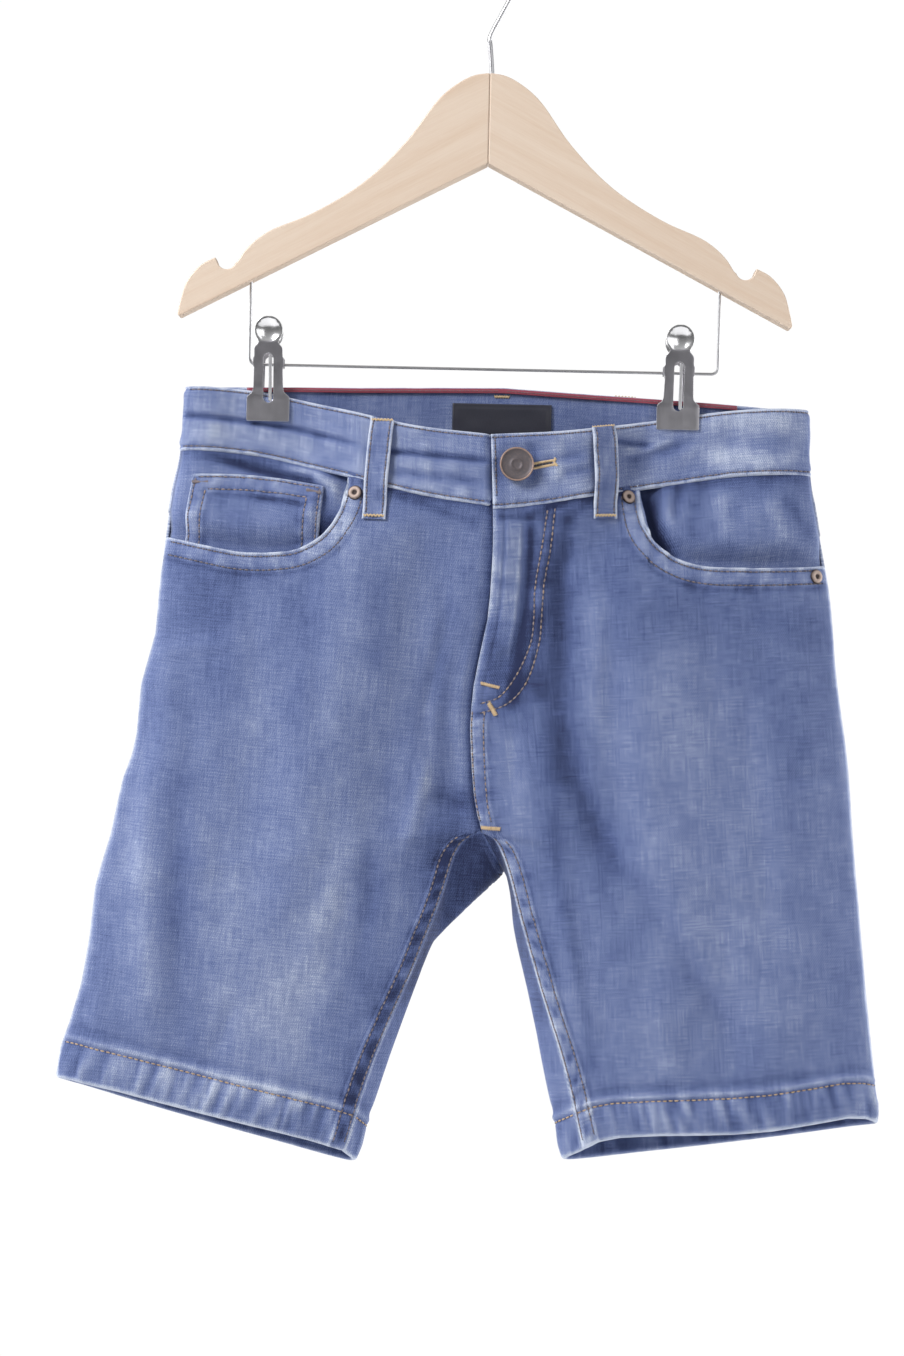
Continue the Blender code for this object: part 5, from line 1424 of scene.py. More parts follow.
# ---------------------------------------------------------------- waistband
UNDER_END = 38.0
UNDER_LIFT = -(BAND_THICK + 0.3)
UNDER_BLEND = 0.018
BAND_LAP_MORE = {RIGHT: 1.6, LEFT: 3.2}    # further down beside the fly
BAND_TOP_ROW, BAND_LOW_ROW = 1.8, 2.3      # its stitches from its top and lower edges
BAND_FOLDS = (
    Crease(1.6, -1.2, ((-176, -15), (-121, -19.8), (-97, -22.8), (-72, -29), (-54, -33.5))),
    Crease(1.6, -1.3, ((-64, -33), (-22, -36.5), (10, -39))),
    Crease(2.4, -0.8, ((-52, -44), (-20, -47), (0, -49.5))),
    Crease(1.5, -1.1, ((57, -25.5), (68, -26.6), (82, -27.8))),
    Crease(2.0, -0.5, ((34, -44), (44, -42), (50, -41))),
    Crease(4.0, 0.2, ((-154, -25), (-118, -28), (-88, -33))),
    Crease(3.0, -0.7, ((60, -36), (90, -28.5), (108, -21))),
    Crease(2.4, 0.7, ((62, -31.5), (76, -31), (92, -24))),
    Crease(4.6, 0.55, ((96, -33), (125, -32), (158, -35))),
    Crease(4.0, -0.15, ((110, -21), (130, -26), (158, -21))),
    Crease(6.0, 0.55, ((98, -15), (125, -13), (158, -15))),
    Crease(10.0, -0.2, ((-45, -27), (0, -29), (45, -29))),
    Crease(2.4, -0.6, ((23, -38), (34, -36), (48, -33))),
    Crease(2.6, -0.6, ((19, -26), (22, -38), (20, -52))),
    Crease(3.0, 0.5, ((30, -24), (33, -34), (31, -50))),
    Crease(3.0, 0.4, ((-30, -26), (-33, -36), (-30, -50))),
    Crease(2.4, -0.5, ((5, -30), (4, -42), (6, -55))),
)


BAND_COLUMNS = {"under": 26, "front": 118, "back": 112}


def band_path():
    """Stretches of the band as half, face, shares and lift, from the under end to the top end."""
    last = float(locate(LEFT, "front", UNDER_END, -30)[0])
    under = np.linspace(last, 0, BAND_COLUMNS["under"])[:-1]
    right = np.linspace(0, 1, BAND_COLUMNS["front"])[:-1]
    back = np.linspace(0, 1, BAND_COLUMNS["back"])
    left = 1 - parts(160, 0, 6, 0.8, 1.35)
    return (
        (LEFT, "front", under, np.full(len(under), UNDER_LIFT)),
        (RIGHT, "front", right, UNDER_LIFT * (1 - smooth(right, 0, UNDER_BLEND))),
        (RIGHT, "back", back[:0:-1], np.zeros(len(back) - 1)),
        (LEFT, "back", back[:-1], np.zeros(len(back) - 1)),
        (LEFT, "front", left, np.zeros(len(left))),
    )


def band_lap(half, face, share, under):
    """How far down over the panels the band's lower edge is."""
    if face == "back":
        return np.full(np.shape(share), BAND_LAP)
    more = BAND_LAP_MORE[LEFT] if half == LEFT and np.min(under) > -0.5 else BAND_LAP_MORE[RIGHT]
    return BAND_LAP + more * (1 - smooth(share * wide(half, face, 0.0), 4, 52))


def band_relief(half, face, share, drop, under):
    """The band's own relief over its middle surface, and its wear, with painted shade in its stitch furrows
    and folds.
    """
    x, z = base_xz(half, face, share, drop)
    low, high = band_lap(half, face, share, under) - drop, BAND + drop
    ripple = pucker(x, drop, 141) * fading(low, 5) + 0.8 * pucker(x, drop, 143) * fading(high, 3.5)
    rows = groove(high, BAND_TOP_ROW) + groove(low, BAND_LOW_ROW)
    swell = 0.45 * noise(x / 17, drop / 11, 145) + 0.3 * noise(x / 7, drop / 9, 146)
    pleats = noise(x / 6.5, drop / 15, 148) * smooth(low, 2, 5) * smooth(high, 8, 18)
    lift = 0.65 * ripple - 0.6 * rows + swell + 0.35 * pleats
    wear_and_shade = 0.75 * ripple - 0.5 * rows + 0.1 + 0.35 * swell + 0.35 * pleats
    if face == "front":
        # The folds are painted darker in their troughs and paler on their ridges.
        folds = ridges(BAND_FOLDS, x, z, 0.25, 0.25)
        lift, wear_and_shade = lift + 1.5 * folds * (under > -0.5), wear_and_shade + 1.3 * folds
        if half == LEFT:
            end = share * wide(half, face, drop)
            furrow = groove(end, 1.9)
            ripple = pucker(drop, end, 147) * fading(end, 3)
            lift, wear_and_shade = lift - 0.5 * furrow + 0.4 * ripple, wear_and_shade - 0.45 * furrow + 0.5 * ripple
    return lift, wear_and_shade


def band_lifts(half, face, share, drop, under):
    relief, wear_and_shade = band_relief(half, face, share, drop, under)
    free = np.minimum(BAND + drop, band_lap(half, face, share, under) - drop)
    if half == LEFT and face == "front":
        end = share * wide(half, face, drop)
        free = np.minimum(free, np.where(under < -0.5, FAR, end))
    thin = rounded(np.maximum(free, 0), BAND_THICK / 2)
    swell = 0.35 * (1 - smooth(free, 4, 9))
    lap = 0.0
    if face == "front":
        near = 1 - smooth(share * wide(half, face, drop), 3, 16)
        lap = (1.1 if half == LEFT else 0.0) * near * (under > -0.5) * smooth(drop, -14, 0)
    return under + lap + thin + (relief + swell) * smooth(free, 0, 1.2), under - thin, wear_and_shade, free


def waistband():
    plain = parts(BAND + BAND_LAP, 5, 5, 0.7, 1.0)[:, None]
    outer, inner, wear_and_shade, edge, run = [], [], [], [], []
    start = 0.0
    for half, face, share, under in band_path():
        lap = band_lap(half, face, share, under)
        shares, down = np.broadcast_arrays(share[None, :], -BAND + plain * (BAND + lap))
        out, back, rub_and_shade, free = band_lifts(half, face, shares, down, under[None, :])
        outer.append(cloth(half, face, shares, down, out))
        inner.append(cloth(half, face, shares, down, back))
        wear_and_shade.append(rub_and_shade)
        edge.append(np.minimum(free, FAR) + 0.1)
        width = float(wide(half, face, -10.0))
        turn = -1 if share[0] > share[-1] else 1
        run.append(start + turn * (share - share[0]) * width)
        start = run[-1][-1]
    outer, inner, wear_and_shade, edge = (np.concatenate(grids, axis=1) for grids in (outer, inner, wear_and_shade, edge))
    uv = (np.concatenate(run)[None, :], BAND_Y + plain * (BAND + BAND_LAP))
    piece = wall("waistband_cloth", outer, inner, BAND_CLOTH, uv, edge, wear_and_shade, 0.55)
    declare(piece, "waistband")


# ---------------------------------------------------------------- behind the fly
ZIP_THICK = 1.2
ZIP_LIFT = -(DENIM / 2 + LAY_GAP + ZIP_THICK / 2)
SHIELD_LIFT = ZIP_LIFT - ZIP_THICK / 2 - LAY_GAP - DENIM / 2


def behind_fly(name, x0, x1, top, bottom, lift, thick, material):
    """A layer between these x and z behind the left front."""
    rows = np.linspace(top, bottom, 60)
    ends = [locate(LEFT, "front", np.full(60, x), rows) for x in (x0, x1)]
    t = np.linspace(0, 1, 18)[None, :]
    share = np.maximum(0.004, ends[0][0][:, None] * (1 - t) + ends[1][0][:, None] * t)
    drop = ends[0][1][:, None] * (1 - t) + ends[1][1][:, None] * t
    outer = cloth(LEFT, "front", share, drop, np.full(share.shape, lift + thick / 2))
    inner = cloth(LEFT, "front", share, drop, np.full(share.shape, lift - thick / 2))
    uv = (share * wide(LEFT, "front", drop) + FLY_X, drop)
    piece = wall(name + "_cloth", outer, inner, material, uv)
    declare(piece, name)


# ---------------------------------------------------------------- loops, back pockets and trims
LOOP_WIDTH = 11.6
LOOP_BULGE = 1.4
Loop = namedtuple("Loop", "name face top_x bottom_x top_z bottom_z")
LOOPS = (
    Loop("belt_loop_front_right", "front", -52.4, -56.0, -17.4, -68.0),
    Loop("belt_loop_front_left", "front", 53.4, 56.0, -16.0, -65.0),
    Loop("belt_loop_back_right", "back", -66.0, -67.0, -0.6, -50.0),
    Loop("belt_loop_back_left", "back", 66.0, 67.0, -1.6, -50.0),
    Loop("belt_loop_back_centre", "back", 5.5, 5.8, -0.5, -50.0),
)


def loop_at(loop, t, u):
    """x, z and the lift of a belt loop's middle at t down it and u (-1 to 1) across it."""
    x = loop.top_x + (loop.bottom_x - loop.top_x) * t + u * LOOP_WIDTH / 2
    z = loop.top_z + (loop.bottom_z - loop.top_z) * t
    on_band = BAND_THICK / 2 + LAY_GAP + LOOP_THICK / 2
    on_panel = DENIM / 2 + LAY_GAP + LOOP_THICK / 2
    lift = on_band + (on_panel - on_band) * smooth(t, 0.72, 0.86)
    lift = lift + LOOP_BULGE * smooth(t, 0.04, 0.2) * (1 - smooth(t, 0.6, 0.86))
    return x, z, lift


def loop_lift(loop, t, u):
    """A belt loop's outer skin, its half thickness there and its wear, with painted shade in its stitch
    furrows.
    """
    x, z, lift = loop_at(loop, t, u)
    length = loop.top_z - loop.bottom_z
    side, end = (1 - np.abs(u)) * LOOP_WIDTH / 2, np.minimum(t, 1 - t) * length
    seed = 151 + LOOPS.index(loop)
    ripple = pucker(z, side, seed) * fading(side, 2.5)
    furrow = groove(side, 1.7)
    low = smooth(side, 2.3, 3.4)
    tack = 1 - smooth(end, 1.2, 3.6)
    out = 0.5 * ripple - 0.4 * furrow - 0.45 * low - 0.4 * tack + 0.3 * noise(x / 5, z / 6, seed)
    wear_and_shade = 0.7 * ripple - 0.6 * furrow - 0.25 * low + 0.6 * (1 - smooth(side, 0, 1.7))
    wear_and_shade = wear_and_shade + 0.3 * noise(x / 3, z / 7, seed)
    thin = rounded(np.minimum(side, end), LOOP_THICK / 2)
    return lift + thin + out * smooth(side, 0, 0.7), thin, wear_and_shade


def belt_loop(loop):
    length = loop.top_z - loop.bottom_z
    t, u = np.meshgrid(parts(length, 4, 4, 0.6, 0.9), steps(2, 0, 0, 1, 0.095) - 1, indexing="ij")
    x, z, lift = loop_at(loop, t, u)
    out, thin, wear_and_shade = loop_lift(loop, t, u)
    outer, _ = on_face(loop.face, x, z, out)
    inner, _ = on_face(loop.face, x, z, lift - thin)
    side = (1 - np.abs(u)) * LOOP_WIDTH / 2
    uv = (x + LOOP_X + LOOP_NEXT * LOOPS.index(loop), z)
    piece = wall(loop.name + "_cloth", outer, inner, LOOP_CLOTH, uv, side + 0.2, wear_and_shade, 0.5)
    declare(piece, loop.name)


BackPocket = namedtuple("BackPocket", "top_in top_out low_in low_out top side point")
BACK_POCKET = BackPocket(28.0, 124.0, 33.0, 121.0, -94.0, -184.0, -203.0)
PATCH_ON = DENIM / 2 + 0.3 + PATCH_THICK / 2
BACK_CENTRE = 6.0          # x of the centre back seam between the pockets


def back_pocket_at(half, t, u):
    """x, z and the distance from the pocket's edges at t down it and u (0 to 1) across it."""
    pocket = BACK_POCKET
    inner = pocket.top_in + (pocket.low_in - pocket.top_in) * t
    outer = pocket.top_out + (pocket.low_out - pocket.top_out) * t
    x = (inner + (outer - inner) * u) * half + BACK_CENTRE
    low = pocket.side + (pocket.point - pocket.side) * (1 - np.abs(2 * u - 1))
    z = pocket.top + (low - pocket.top) * t
    side = np.minimum(u, 1 - u) * (outer - inner)
    return x, z, np.minimum(side, (1 - t) * (pocket.top - low) * 0.975), t * (pocket.top - low)


def back_pocket_lift(half, t, u):
    x, z, edge, top = back_pocket_at(half, t, u)
    lift, wear_and_shade = sewn(edge, x + z, PATCH_SEAM, 161 + half)
    up, rub_and_shade = sewn(top, x, PATCH_TOP, 165 + half)
    thin = rounded(np.minimum(edge, top), PATCH_THICK / 2)
    body = 0.7 * smooth(edge, 8, 26) * noise(x / 30, z / 30, 167) + 0.4 * noise(x / 12, z / 15, 168)
    relief = (np.maximum(lift, up) + np.minimum(lift, up) * 0.5 + body) * smooth(np.minimum(edge, top), 0, 1)
    return PATCH_ON + thin + relief, thin, wear_and_shade + rub_and_shade


def back_pocket(name, half):
    t, u = np.meshgrid(parts(100, 14, 10, 0.8, 1.7), parts(96, 9, 9, 0.8, 1.7), indexing="ij")
    x, z, edge, top = back_pocket_at(half, t, u)
    out, thin, wear_and_shade = back_pocket_lift(half, t, u)
    outer, _ = on_face("back", x, z, out)
    inner, _ = on_face("back", x, z, PATCH_ON - thin)
    uv = (x + PATCH_X, z)
    piece = wall(name + "_cloth", outer, inner, DENIM_CLOTH, uv, np.minimum(edge, top), wear_and_shade, 0.6)
    declare(piece, name)


LABEL_X, LABEL_Z = (-19.0, 30.0), (-8.0, -25.0)
TAPE_THICK, TAPE_WIDTH = 0.8, 2.3
TAPE_ENDS = {RIGHT: 0.80, LEFT: 0.76}


def label(material):
    """The bare woven label inside the back of the band."""
    x, z = np.meshgrid(np.linspace(*LABEL_X, 60), np.linspace(*LABEL_Z, 24))
    edge = np.minimum.reduce([x - LABEL_X[0], LABEL_X[1] - x, LABEL_Z[0] - z, z - LABEL_Z[1]])
    lift = -(BAND_THICK / 2 + LAY_GAP + LABEL_THICK / 2) - 0.25 * noise(x / 9, z / 7, 171)
    sunk = 0.35 * bell(edge - 1.2, 0.7)
    thin = rounded(edge, LABEL_THICK / 2)
    outer, _ = on_face("back", x, z, lift + sunk - thin)
    inner, _ = on_face("back", x, z, lift + thin)
    piece = wall("label_cloth", outer, inner, material, (x, z))
    declare(piece, "label")


def tape_drop(across):
    return 0.4 - BAND + TAPE_WIDTH * (1 - across)


def tape_at(half, share, across):
    """A point of the tape's inner face; `across` runs from its lower edge to its upper one."""
    drop = tape_drop(across)
    lift = -(BAND_THICK / 2 + LAY_GAP + TAPE_THICK) - 0.12 * np.sin(math.pi * across)
    return cloth(half, "back", share, drop, lift), -own_normal(half, "back", share, drop)


def tape(material):
    """The narrow tape that binds the band's inner edge across the back."""
    outer, inner = [], []
    for half in (RIGHT, LEFT):
        share = np.linspace(0.01, TAPE_ENDS[half], 110)[::half]
        shares, across = np.broadcast_arrays(share[None, :], np.linspace(0, 1, 7)[:, None])
        outer.append(tape_at(half, shares, across)[0])
        lift = np.full(shares.shape, -(BAND_THICK / 2 + LAY_GAP))
        inner.append(cloth(half, "back", shares, tape_drop(across), lift))
    outer, inner = np.concatenate(outer, axis=1), np.concatenate(inner, axis=1)
    run = np.arange(outer.shape[1])[None, :] * 1.1
    piece = wall("waist_tape_cloth", outer, inner, material, (run, np.linspace(0, 3.4, 7)[:, None]))
    stand_for(piece, "waist_tape")


# ---------------------------------------------------------------- sewing threads
THREAD = 0.42              # radius of a stitch
PITCH = 2.9                # from one stitch to the next
STITCH = 2.15              # and the length of one that shows
HEM_STITCH, HEM_TONE = 2.5, 0.7
HOLE_SHADE_TONE = -0.3           # a dark thread between two of them: painted shade of the hole there


def stitch_mesh(name, starts, ends, normals, tones, radius, arch, material):
    """Short arched threads, joined into one piece."""
    rings, sides = 4, 5
    t = np.linspace(0, 1, rings)
    along = unit(ends - starts)
    across = unit(np.cross(along, normals))
    up = np.cross(across, along)
    centre = starts[:, None] + (ends - starts)[:, None] * t[None, :, None]
    rise = (np.sin(math.pi * t) * arch - 0.12)[None, :, None]
    centre = centre + up[:, None] * rise
    size = (radius * np.array([0.45, 1.0, 1.0, 0.45]))[None, :, None, None]
    angle = np.arange(sides) * 2 * math.pi / sides
    ring = across[:, None, None] * np.cos(angle)[None, None, :, None]
    ring = ring + up[:, None, None] * np.sin(angle)[None, None, :, None] * 0.8
    points = centre[:, :, None] + ring * size
    count = len(starts)
    index = np.arange(count * rings * sides).reshape(count, rings, sides)
    nxt = np.roll(index, -1, axis=2)
    quads = np.stack([index[:, :-1], nxt[:, :-1], nxt[:, 1:], index[:, 1:]], -1).reshape(-1, 4)
    faces = quads.tolist() + index[:, 0, ::-1].tolist() + index[:, -1].tolist()
    mesh = bpy.data.meshes.new(name)
    mesh.from_pydata(place(points.reshape(-1, 3)).tolist(), [], faces)
    mesh.shade_smooth()
    set_mark(mesh, "tone", np.repeat(tones, rings * sides))
    return add_object(name, mesh, material)


def along_line(points, normals, at):
    """Points and normals at these distances along a line."""
    run = lengths(points)
    place_at = np.stack([np.interp(at, run, points[:, k]) for k in range(3)], -1)
    lean = np.stack([np.interp(at, run, normals[:, k]) for k in range(3)], -1)
    return place_at, unit(lean)


class Threads:
    """Collects stitches, to be joined into one piece."""

    def __init__(self):
        self.starts, self.ends, self.normals, self.tones = [], [], [], []

    def row(self, points, normals, tone=0.3, pitch=PITCH, stitch=STITCH, seed=1):
        """A row of straight stitches along a line on the cloth, with dark threads between them as the holes'
        painted shade.
        """
        size = lengths(points)[-1]
        count = int(size / pitch)
        begin = (np.arange(count) + 0.1) * pitch
        start, normal = along_line(points, normals, begin)
        stop, _ = along_line(points, normals, begin + stitch)
        self.add(start, stop, normal, tone, seed)
        if stitch < pitch:
            self.add(stop, along_line(points, normals, begin + pitch)[0], normal, HOLE_SHADE_TONE, seed)

    def add(self, start, stop, normal, tone, seed=1):
        varied = tone + 0.08 * noise(np.arange(len(start)) * 1.7, np.zeros(len(start)), seed)
        self.starts.append(start)
        self.ends.append(stop)
        self.normals.append(normal)
        self.tones.append(varied)

    def tack(self, points, normals, width, tone=0.75, step=0.42):
        """A bar tack: close threads across a short line on the cloth."""
        size = lengths(points)[-1]
        count = max(3, int(size / step))
        on_line, normal = along_line(points, normals, (np.arange(count) + 0.5) / count * size)
        ahead = unit(points[-1] - points[0])
        across = unit(np.cross(normal, ahead))
        swing = np.where(np.arange(count)[:, None] % 2, 1.0, -1.0) * ahead * step * 0.5
        self.add(
            on_line - across * width / 2 - swing, on_line + across * width / 2 + swing, normal, tone, count
        )

    def finish(self, name, material, radius=THREAD, arch=0.34):
        joined = (np.concatenate(v) for v in (self.starts, self.ends, self.normals, self.tones))
        stitch_mesh(name, *joined, radius, arch, material)


def front_surface(half, share, drop):
    lift = front_lifts(half, share, drop)[0]
    return over_cloth(half, "front", share, drop, lift)


def back_surface(half, share, drop, is_yoke=False):
    lift = back_lifts(is_yoke)(half, share, drop)[0]
    return over_cloth(half, "back", share, drop, lift)


def offset_line(line, distance):
    """The line of (x, z) points moved sideways."""
    line = np.asarray(line, float)
    ahead = np.gradient(line, axis=0)
    ahead /= np.linalg.norm(ahead, axis=1, keepdims=True)
    return line + np.stack([ahead[:, 1], -ahead[:, 0]], -1) * distance


# The ends and the width of each bar tack on the fly.
FRONT_TACKS = (
    ((-1.8, -146), (7, -148), 1.7), ((2, -155.6), (5.6, -161.5), 2.4), ((-1, -216.5), (9, -217), 2.0),
)


def panel_threads(half, name):
    """Everything sewn on one front: its hem, mouth and inseam, and the fly on the left one."""
    threads = Threads()
    share = np.linspace(0.004, 0.996, 300)
    on_hem = front_surface(half, share, hem_drop(half, "front", share, HEM_ROW))
    threads.row(*on_hem, HEM_TONE, stitch=HEM_STITCH, seed=half + 5)
    drop = np.linspace(CROTCH_DROP + 5, LEG - 1.5, 200)
    for k, row in enumerate(FELLED_ROWS):
        threads.row(*front_surface(half, row / wide(half, "front", drop), drop), 0.42, seed=k + 7)
    for k, row in enumerate(MOUTH_SEAM.rows):
        line = offset_line(MOUTH_LINE[half], row * half)
        keep = (line[:, 1] < -48 - (half == RIGHT) * 4) & (np.abs(line[:, 0]) < 165)
        line = line[keep]
        at, drops = locate(half, "front", line[:, 0], line[:, 1])
        good = (drops > 1.5) & (at < 0.98)
        threads.row(*front_surface(half, at[good], drops[good]), 0.32, seed=k + 9)
    if half == LEFT:
        for k, points in enumerate(FLY_ROWS):
            line = spline(points)[0]
            line = resample(np.column_stack([line, np.zeros(len(line))]), np.linspace(0, 1, 160))
            at = locate(half, "front", line[:, 0], line[:, 1])
            threads.row(*front_surface(half, *at), 0.52, seed=k + 13)
        drops = np.linspace(CROTCH_DROP - 82, CROTCH_DROP - 6, 100)
        for k, row in enumerate(FELLED_ROWS):
            threads.row(*front_surface(half, row / wide(half, "front", drops), drops), 0.5, seed=15 + k)
        for (x0, z0), (x1, z1), width in FRONT_TACKS:
            shares, drops = locate(half, "front", np.linspace(x0, x1, 12), np.linspace(z0, z1, 12))
            points, normals = front_surface(half, np.maximum(shares, 0.004), drops)
            threads.tack(points + normals * 0.35, normals, width, 0.8)
    threads.finish(f"stitches_front_{name}", THREAD_MAT)


def back_threads(half, name):
    threads = Threads()
    share = np.linspace(0.004, 0.996, 300)
    on_hem = back_surface(half, share, hem_drop(half, "back", share, HEM_ROW))
    threads.row(*on_hem, HEM_TONE, stitch=HEM_STITCH, seed=half + 25)
    for k, row in enumerate(FELLED_ROWS):
        threads.row(*back_surface(half, share, yoke_drop(share) - row, True), 0.33, seed=k + 27)
    if half == RIGHT:
        for k, row in enumerate(FELLED_ROWS):
            drop = np.linspace(56, CROTCH_DROP - 8, 200)
            threads.row(*back_surface(half, row / wide(half, "back", drop), drop), 0.33, seed=k + 29)
    t = np.linspace(0, 1, 200)
    for k, row in enumerate(PATCH_SEAM.rows):
        pocket = BACK_POCKET
        inner, outer = pocket.top_in + row, pocket.top_out - row
        low_in, low_out = pocket.low_in + row, pocket.low_out - row
        middle_x = (low_in + low_out) / 2
        corners = [
            (inner, pocket.top - 2),
            (low_in, pocket.side + row * 0.8),
            (middle_x, pocket.point + row * 1.02),
            (low_out, pocket.side + row * 0.8),
            (outer, pocket.top - 2),
        ]
        for a, b in zip(corners, corners[1:]):
            x = (a[0] + (b[0] - a[0]) * t) * half + BACK_CENTRE
            z = a[1] + (b[1] - a[1]) * t
            lift = PATCH_ON + PATCH_THICK / 2 + 0.1
            threads.row(*on_face("back", x, z, lift), 0.36, seed=k + 33)
    for row in PATCH_TOP.rows:
        x = np.linspace(BACK_POCKET.top_in + 1, BACK_POCKET.top_out - 1, 200) * half + BACK_CENTRE
        lift = PATCH_ON + PATCH_THICK / 2 + 0.35
        threads.row(*on_face("back", x, np.full(200, BACK_POCKET.top - row), lift), 0.36, seed=37)
    threads.finish(f"stitches_back_{name}", THREAD_MAT)


def band_threads():
    threads = Threads()
    for is_low in (False, True):
        for half, face, share, under in band_path():
            if under[0] == under[-1] == UNDER_LIFT:
                continue
            shares = np.linspace(share[0], share[-1], 320)
            rising = slice(None, None, 1 if share[0] < share[-1] else -1)
            lifted = np.interp(shares, share[rising], under[rising])
            lap = band_lap(half, face, shares, lifted)
            drop = lap - BAND_LOW_ROW if is_low else np.full(320, BAND_TOP_ROW - BAND)
            lift = band_lifts(half, face, shares, drop, lifted)[0]
            shown = (half == LEFT) | (face == "back") | (shares > 0.02)
            points, normals = over_cloth(half, face, shares, drop, lift)
            threads.row(points[shown], normals[shown], 0.36, seed=31 * is_low + half)
    drop = np.linspace(-BAND + 2, BAND_LAP - 2, 60)
    share = 1.9 / wide(LEFT, "front", drop)
    lift = band_lifts(LEFT, "front", share, drop, np.zeros(60))[0]
    threads.row(*over_cloth(LEFT, "front", share, drop, lift), 0.32, seed=44)
    buttonhole(threads)
    threads.finish("stitches_waistband", THREAD_MAT)


BUTTONHOLE = ((20.6, -40.2), (31.0, -38.2))
SLIT_HALF, HOLE_STITCH = 0.45, 1.3


def buttonhole(threads):
    """Close stitches round a slit, painted as a row of dark threads for its shade, from under the button to
    a tack at its end.
    """
    (x0, z0), (x1, z1) = BUTTONHOLE
    t = np.linspace(0, 1, 34)
    size = math.hypot(x1 - x0, z1 - z0)
    lean_x, lean_z = (z0 - z1) / size, (x1 - x0) / size

    def at(away, shares):
        x = x0 + (x1 - x0) * shares + lean_x * away
        z = z0 + (z1 - z0) * shares + lean_z * away
        share, drop = locate(LEFT, "front", x, z)
        lift = band_lifts(LEFT, "front", share, drop, np.zeros(share.shape))[0]
        return over_cloth(LEFT, "front", share, drop, lift + 0.1)

    for side in (-1, 1):
        near, normals = at(side * SLIT_HALF, t)
        far, _ = at(side * (SLIT_HALF + HOLE_STITCH), t)
        threads.add(near, far, normals, 0.85, 45 + side)
    # The slit: a row of dark threads, a painted shade.
    threads.row(*at(0.0, t), -0.3, pitch=1.6, stitch=1.6, seed=47)
    for away in (-2.0, 2.0):
        ends, normals = at(np.array([0.0, away]), np.array([0.98, 1.08]))
        threads.tack(ends, normals, 1.4, 0.85, 0.5)


def loop_threads():
    threads = Threads()
    for loop in LOOPS:
        t = np.linspace(0.02, 0.98, 120)
        for u in (-0.71, 0.71):
            x, z, _ = loop_at(loop, t, u)
            lift = loop_lift(loop, t, np.full(120, u))[0]
            threads.row(*on_face(loop.face, x, z, lift), 0.36, seed=51 + LOOPS.index(loop))
        for t0 in (0.03, 0.965):
            u = np.array([-0.9, 0.9])
            x, z, _ = loop_at(loop, np.full(2, t0), u)
            lift = loop_lift(loop, np.full(2, t0), u * 0.8)[0] + 0.15
            points, normals = on_face(loop.face, x, z, lift)
            threads.tack(points, normals, 1.5, 0.9, 0.8)
    points, normals = on_face("back", np.array([1.6, 9.0]), np.full(2, -4.4), -BAND_THICK / 2 - 0.15)
    threads.tack(points, -normals, 1.6, 0.8, 0.6)
    threads.finish("stitches_loops", THREAD_MAT)


def coin_threads():
    threads = Threads()
    (inner, outer), (top_in, top_out) = COIN_ENDS
    width = wide(RIGHT, "front", 40.0) * (outer - inner)
    t = np.linspace(0, 1, 160)
    for k, row in enumerate(COIN_SEAM.rows):
        across, down = row / width + (1 - 2 * row / width) * t, np.full(160, row)
        lines = [(across, down)]
        for side in (row / width, 1 - row / width):
            share = inner + (outer - inner) * side
            low = float(panel_top(RIGHT, np.array(share))) - (top_in + (top_out - top_in) * side)
            lines.append((np.full(160, side), row + (low + 4 - row) * t))
        for across, down in lines:
            share = inner + (outer - inner) * across
            drop = top_in + (top_out - top_in) * across + down
            side = np.minimum(across, 1 - across) * width
            lift = coin_lift(share, drop, down, side)[0]
            threads.row(*over_cloth(RIGHT, "front", share, drop, lift), 0.46, seed=k + 61)
    for side in (0.5 / width, 1 - 0.5 / width):
        inward = 7.5 / width * (1 if side < 0.5 else -1)
        across = np.array([side, side + inward])
        share = inner + (outer - inner) * across
        drop = top_in + (top_out - top_in) * across + 4.0
        lift = coin_lift(share, drop, np.full(2, 4.0), np.full(2, 3.0))[0] + 0.2
        threads.tack(*over_cloth(RIGHT, "front", share, drop, lift), 1.8, 0.4)
    threads.finish("stitches_coin_pocket", THREAD_MAT)


def tape_threads():
    threads = Threads()
    for half in (RIGHT, LEFT):
        share = np.linspace(0.012, TAPE_ENDS[half] - 0.01, 300)
        points, normals = tape_at(half, share, np.full(300, 0.5))
        threads.row(points, normals, 0.34, pitch=1.4, stitch=1.4, seed=71)
    threads.finish("stitches_tape", THREAD_MAT, radius=0.2, arch=0.25)


def thread_material():
    made, tree, skin = new_material("sewing_thread", 0.6, Sheen_Weight=0.25)
    where = object_place(tree)
    fibre = cloud(tree, where, (5200, 5200, 5200), 2)
    value = weighted(tree, (mark(tree, "tone"), 1.0), (fibre, 0.3))
    paint(tree, skin, value, (
        (0.0, (0.03, 0.03, 0.05)), (0.35, (0.15, 0.125, 0.14)), (0.5, (0.24, 0.19, 0.19)),
        (0.65, (0.45, 0.31, 0.19)), (1.0, (0.66, 0.49, 0.27)),
    ))
    bump(tree, skin, fibre, 0.5, 0.0001)
    return made


THREAD_MAT = thread_material()


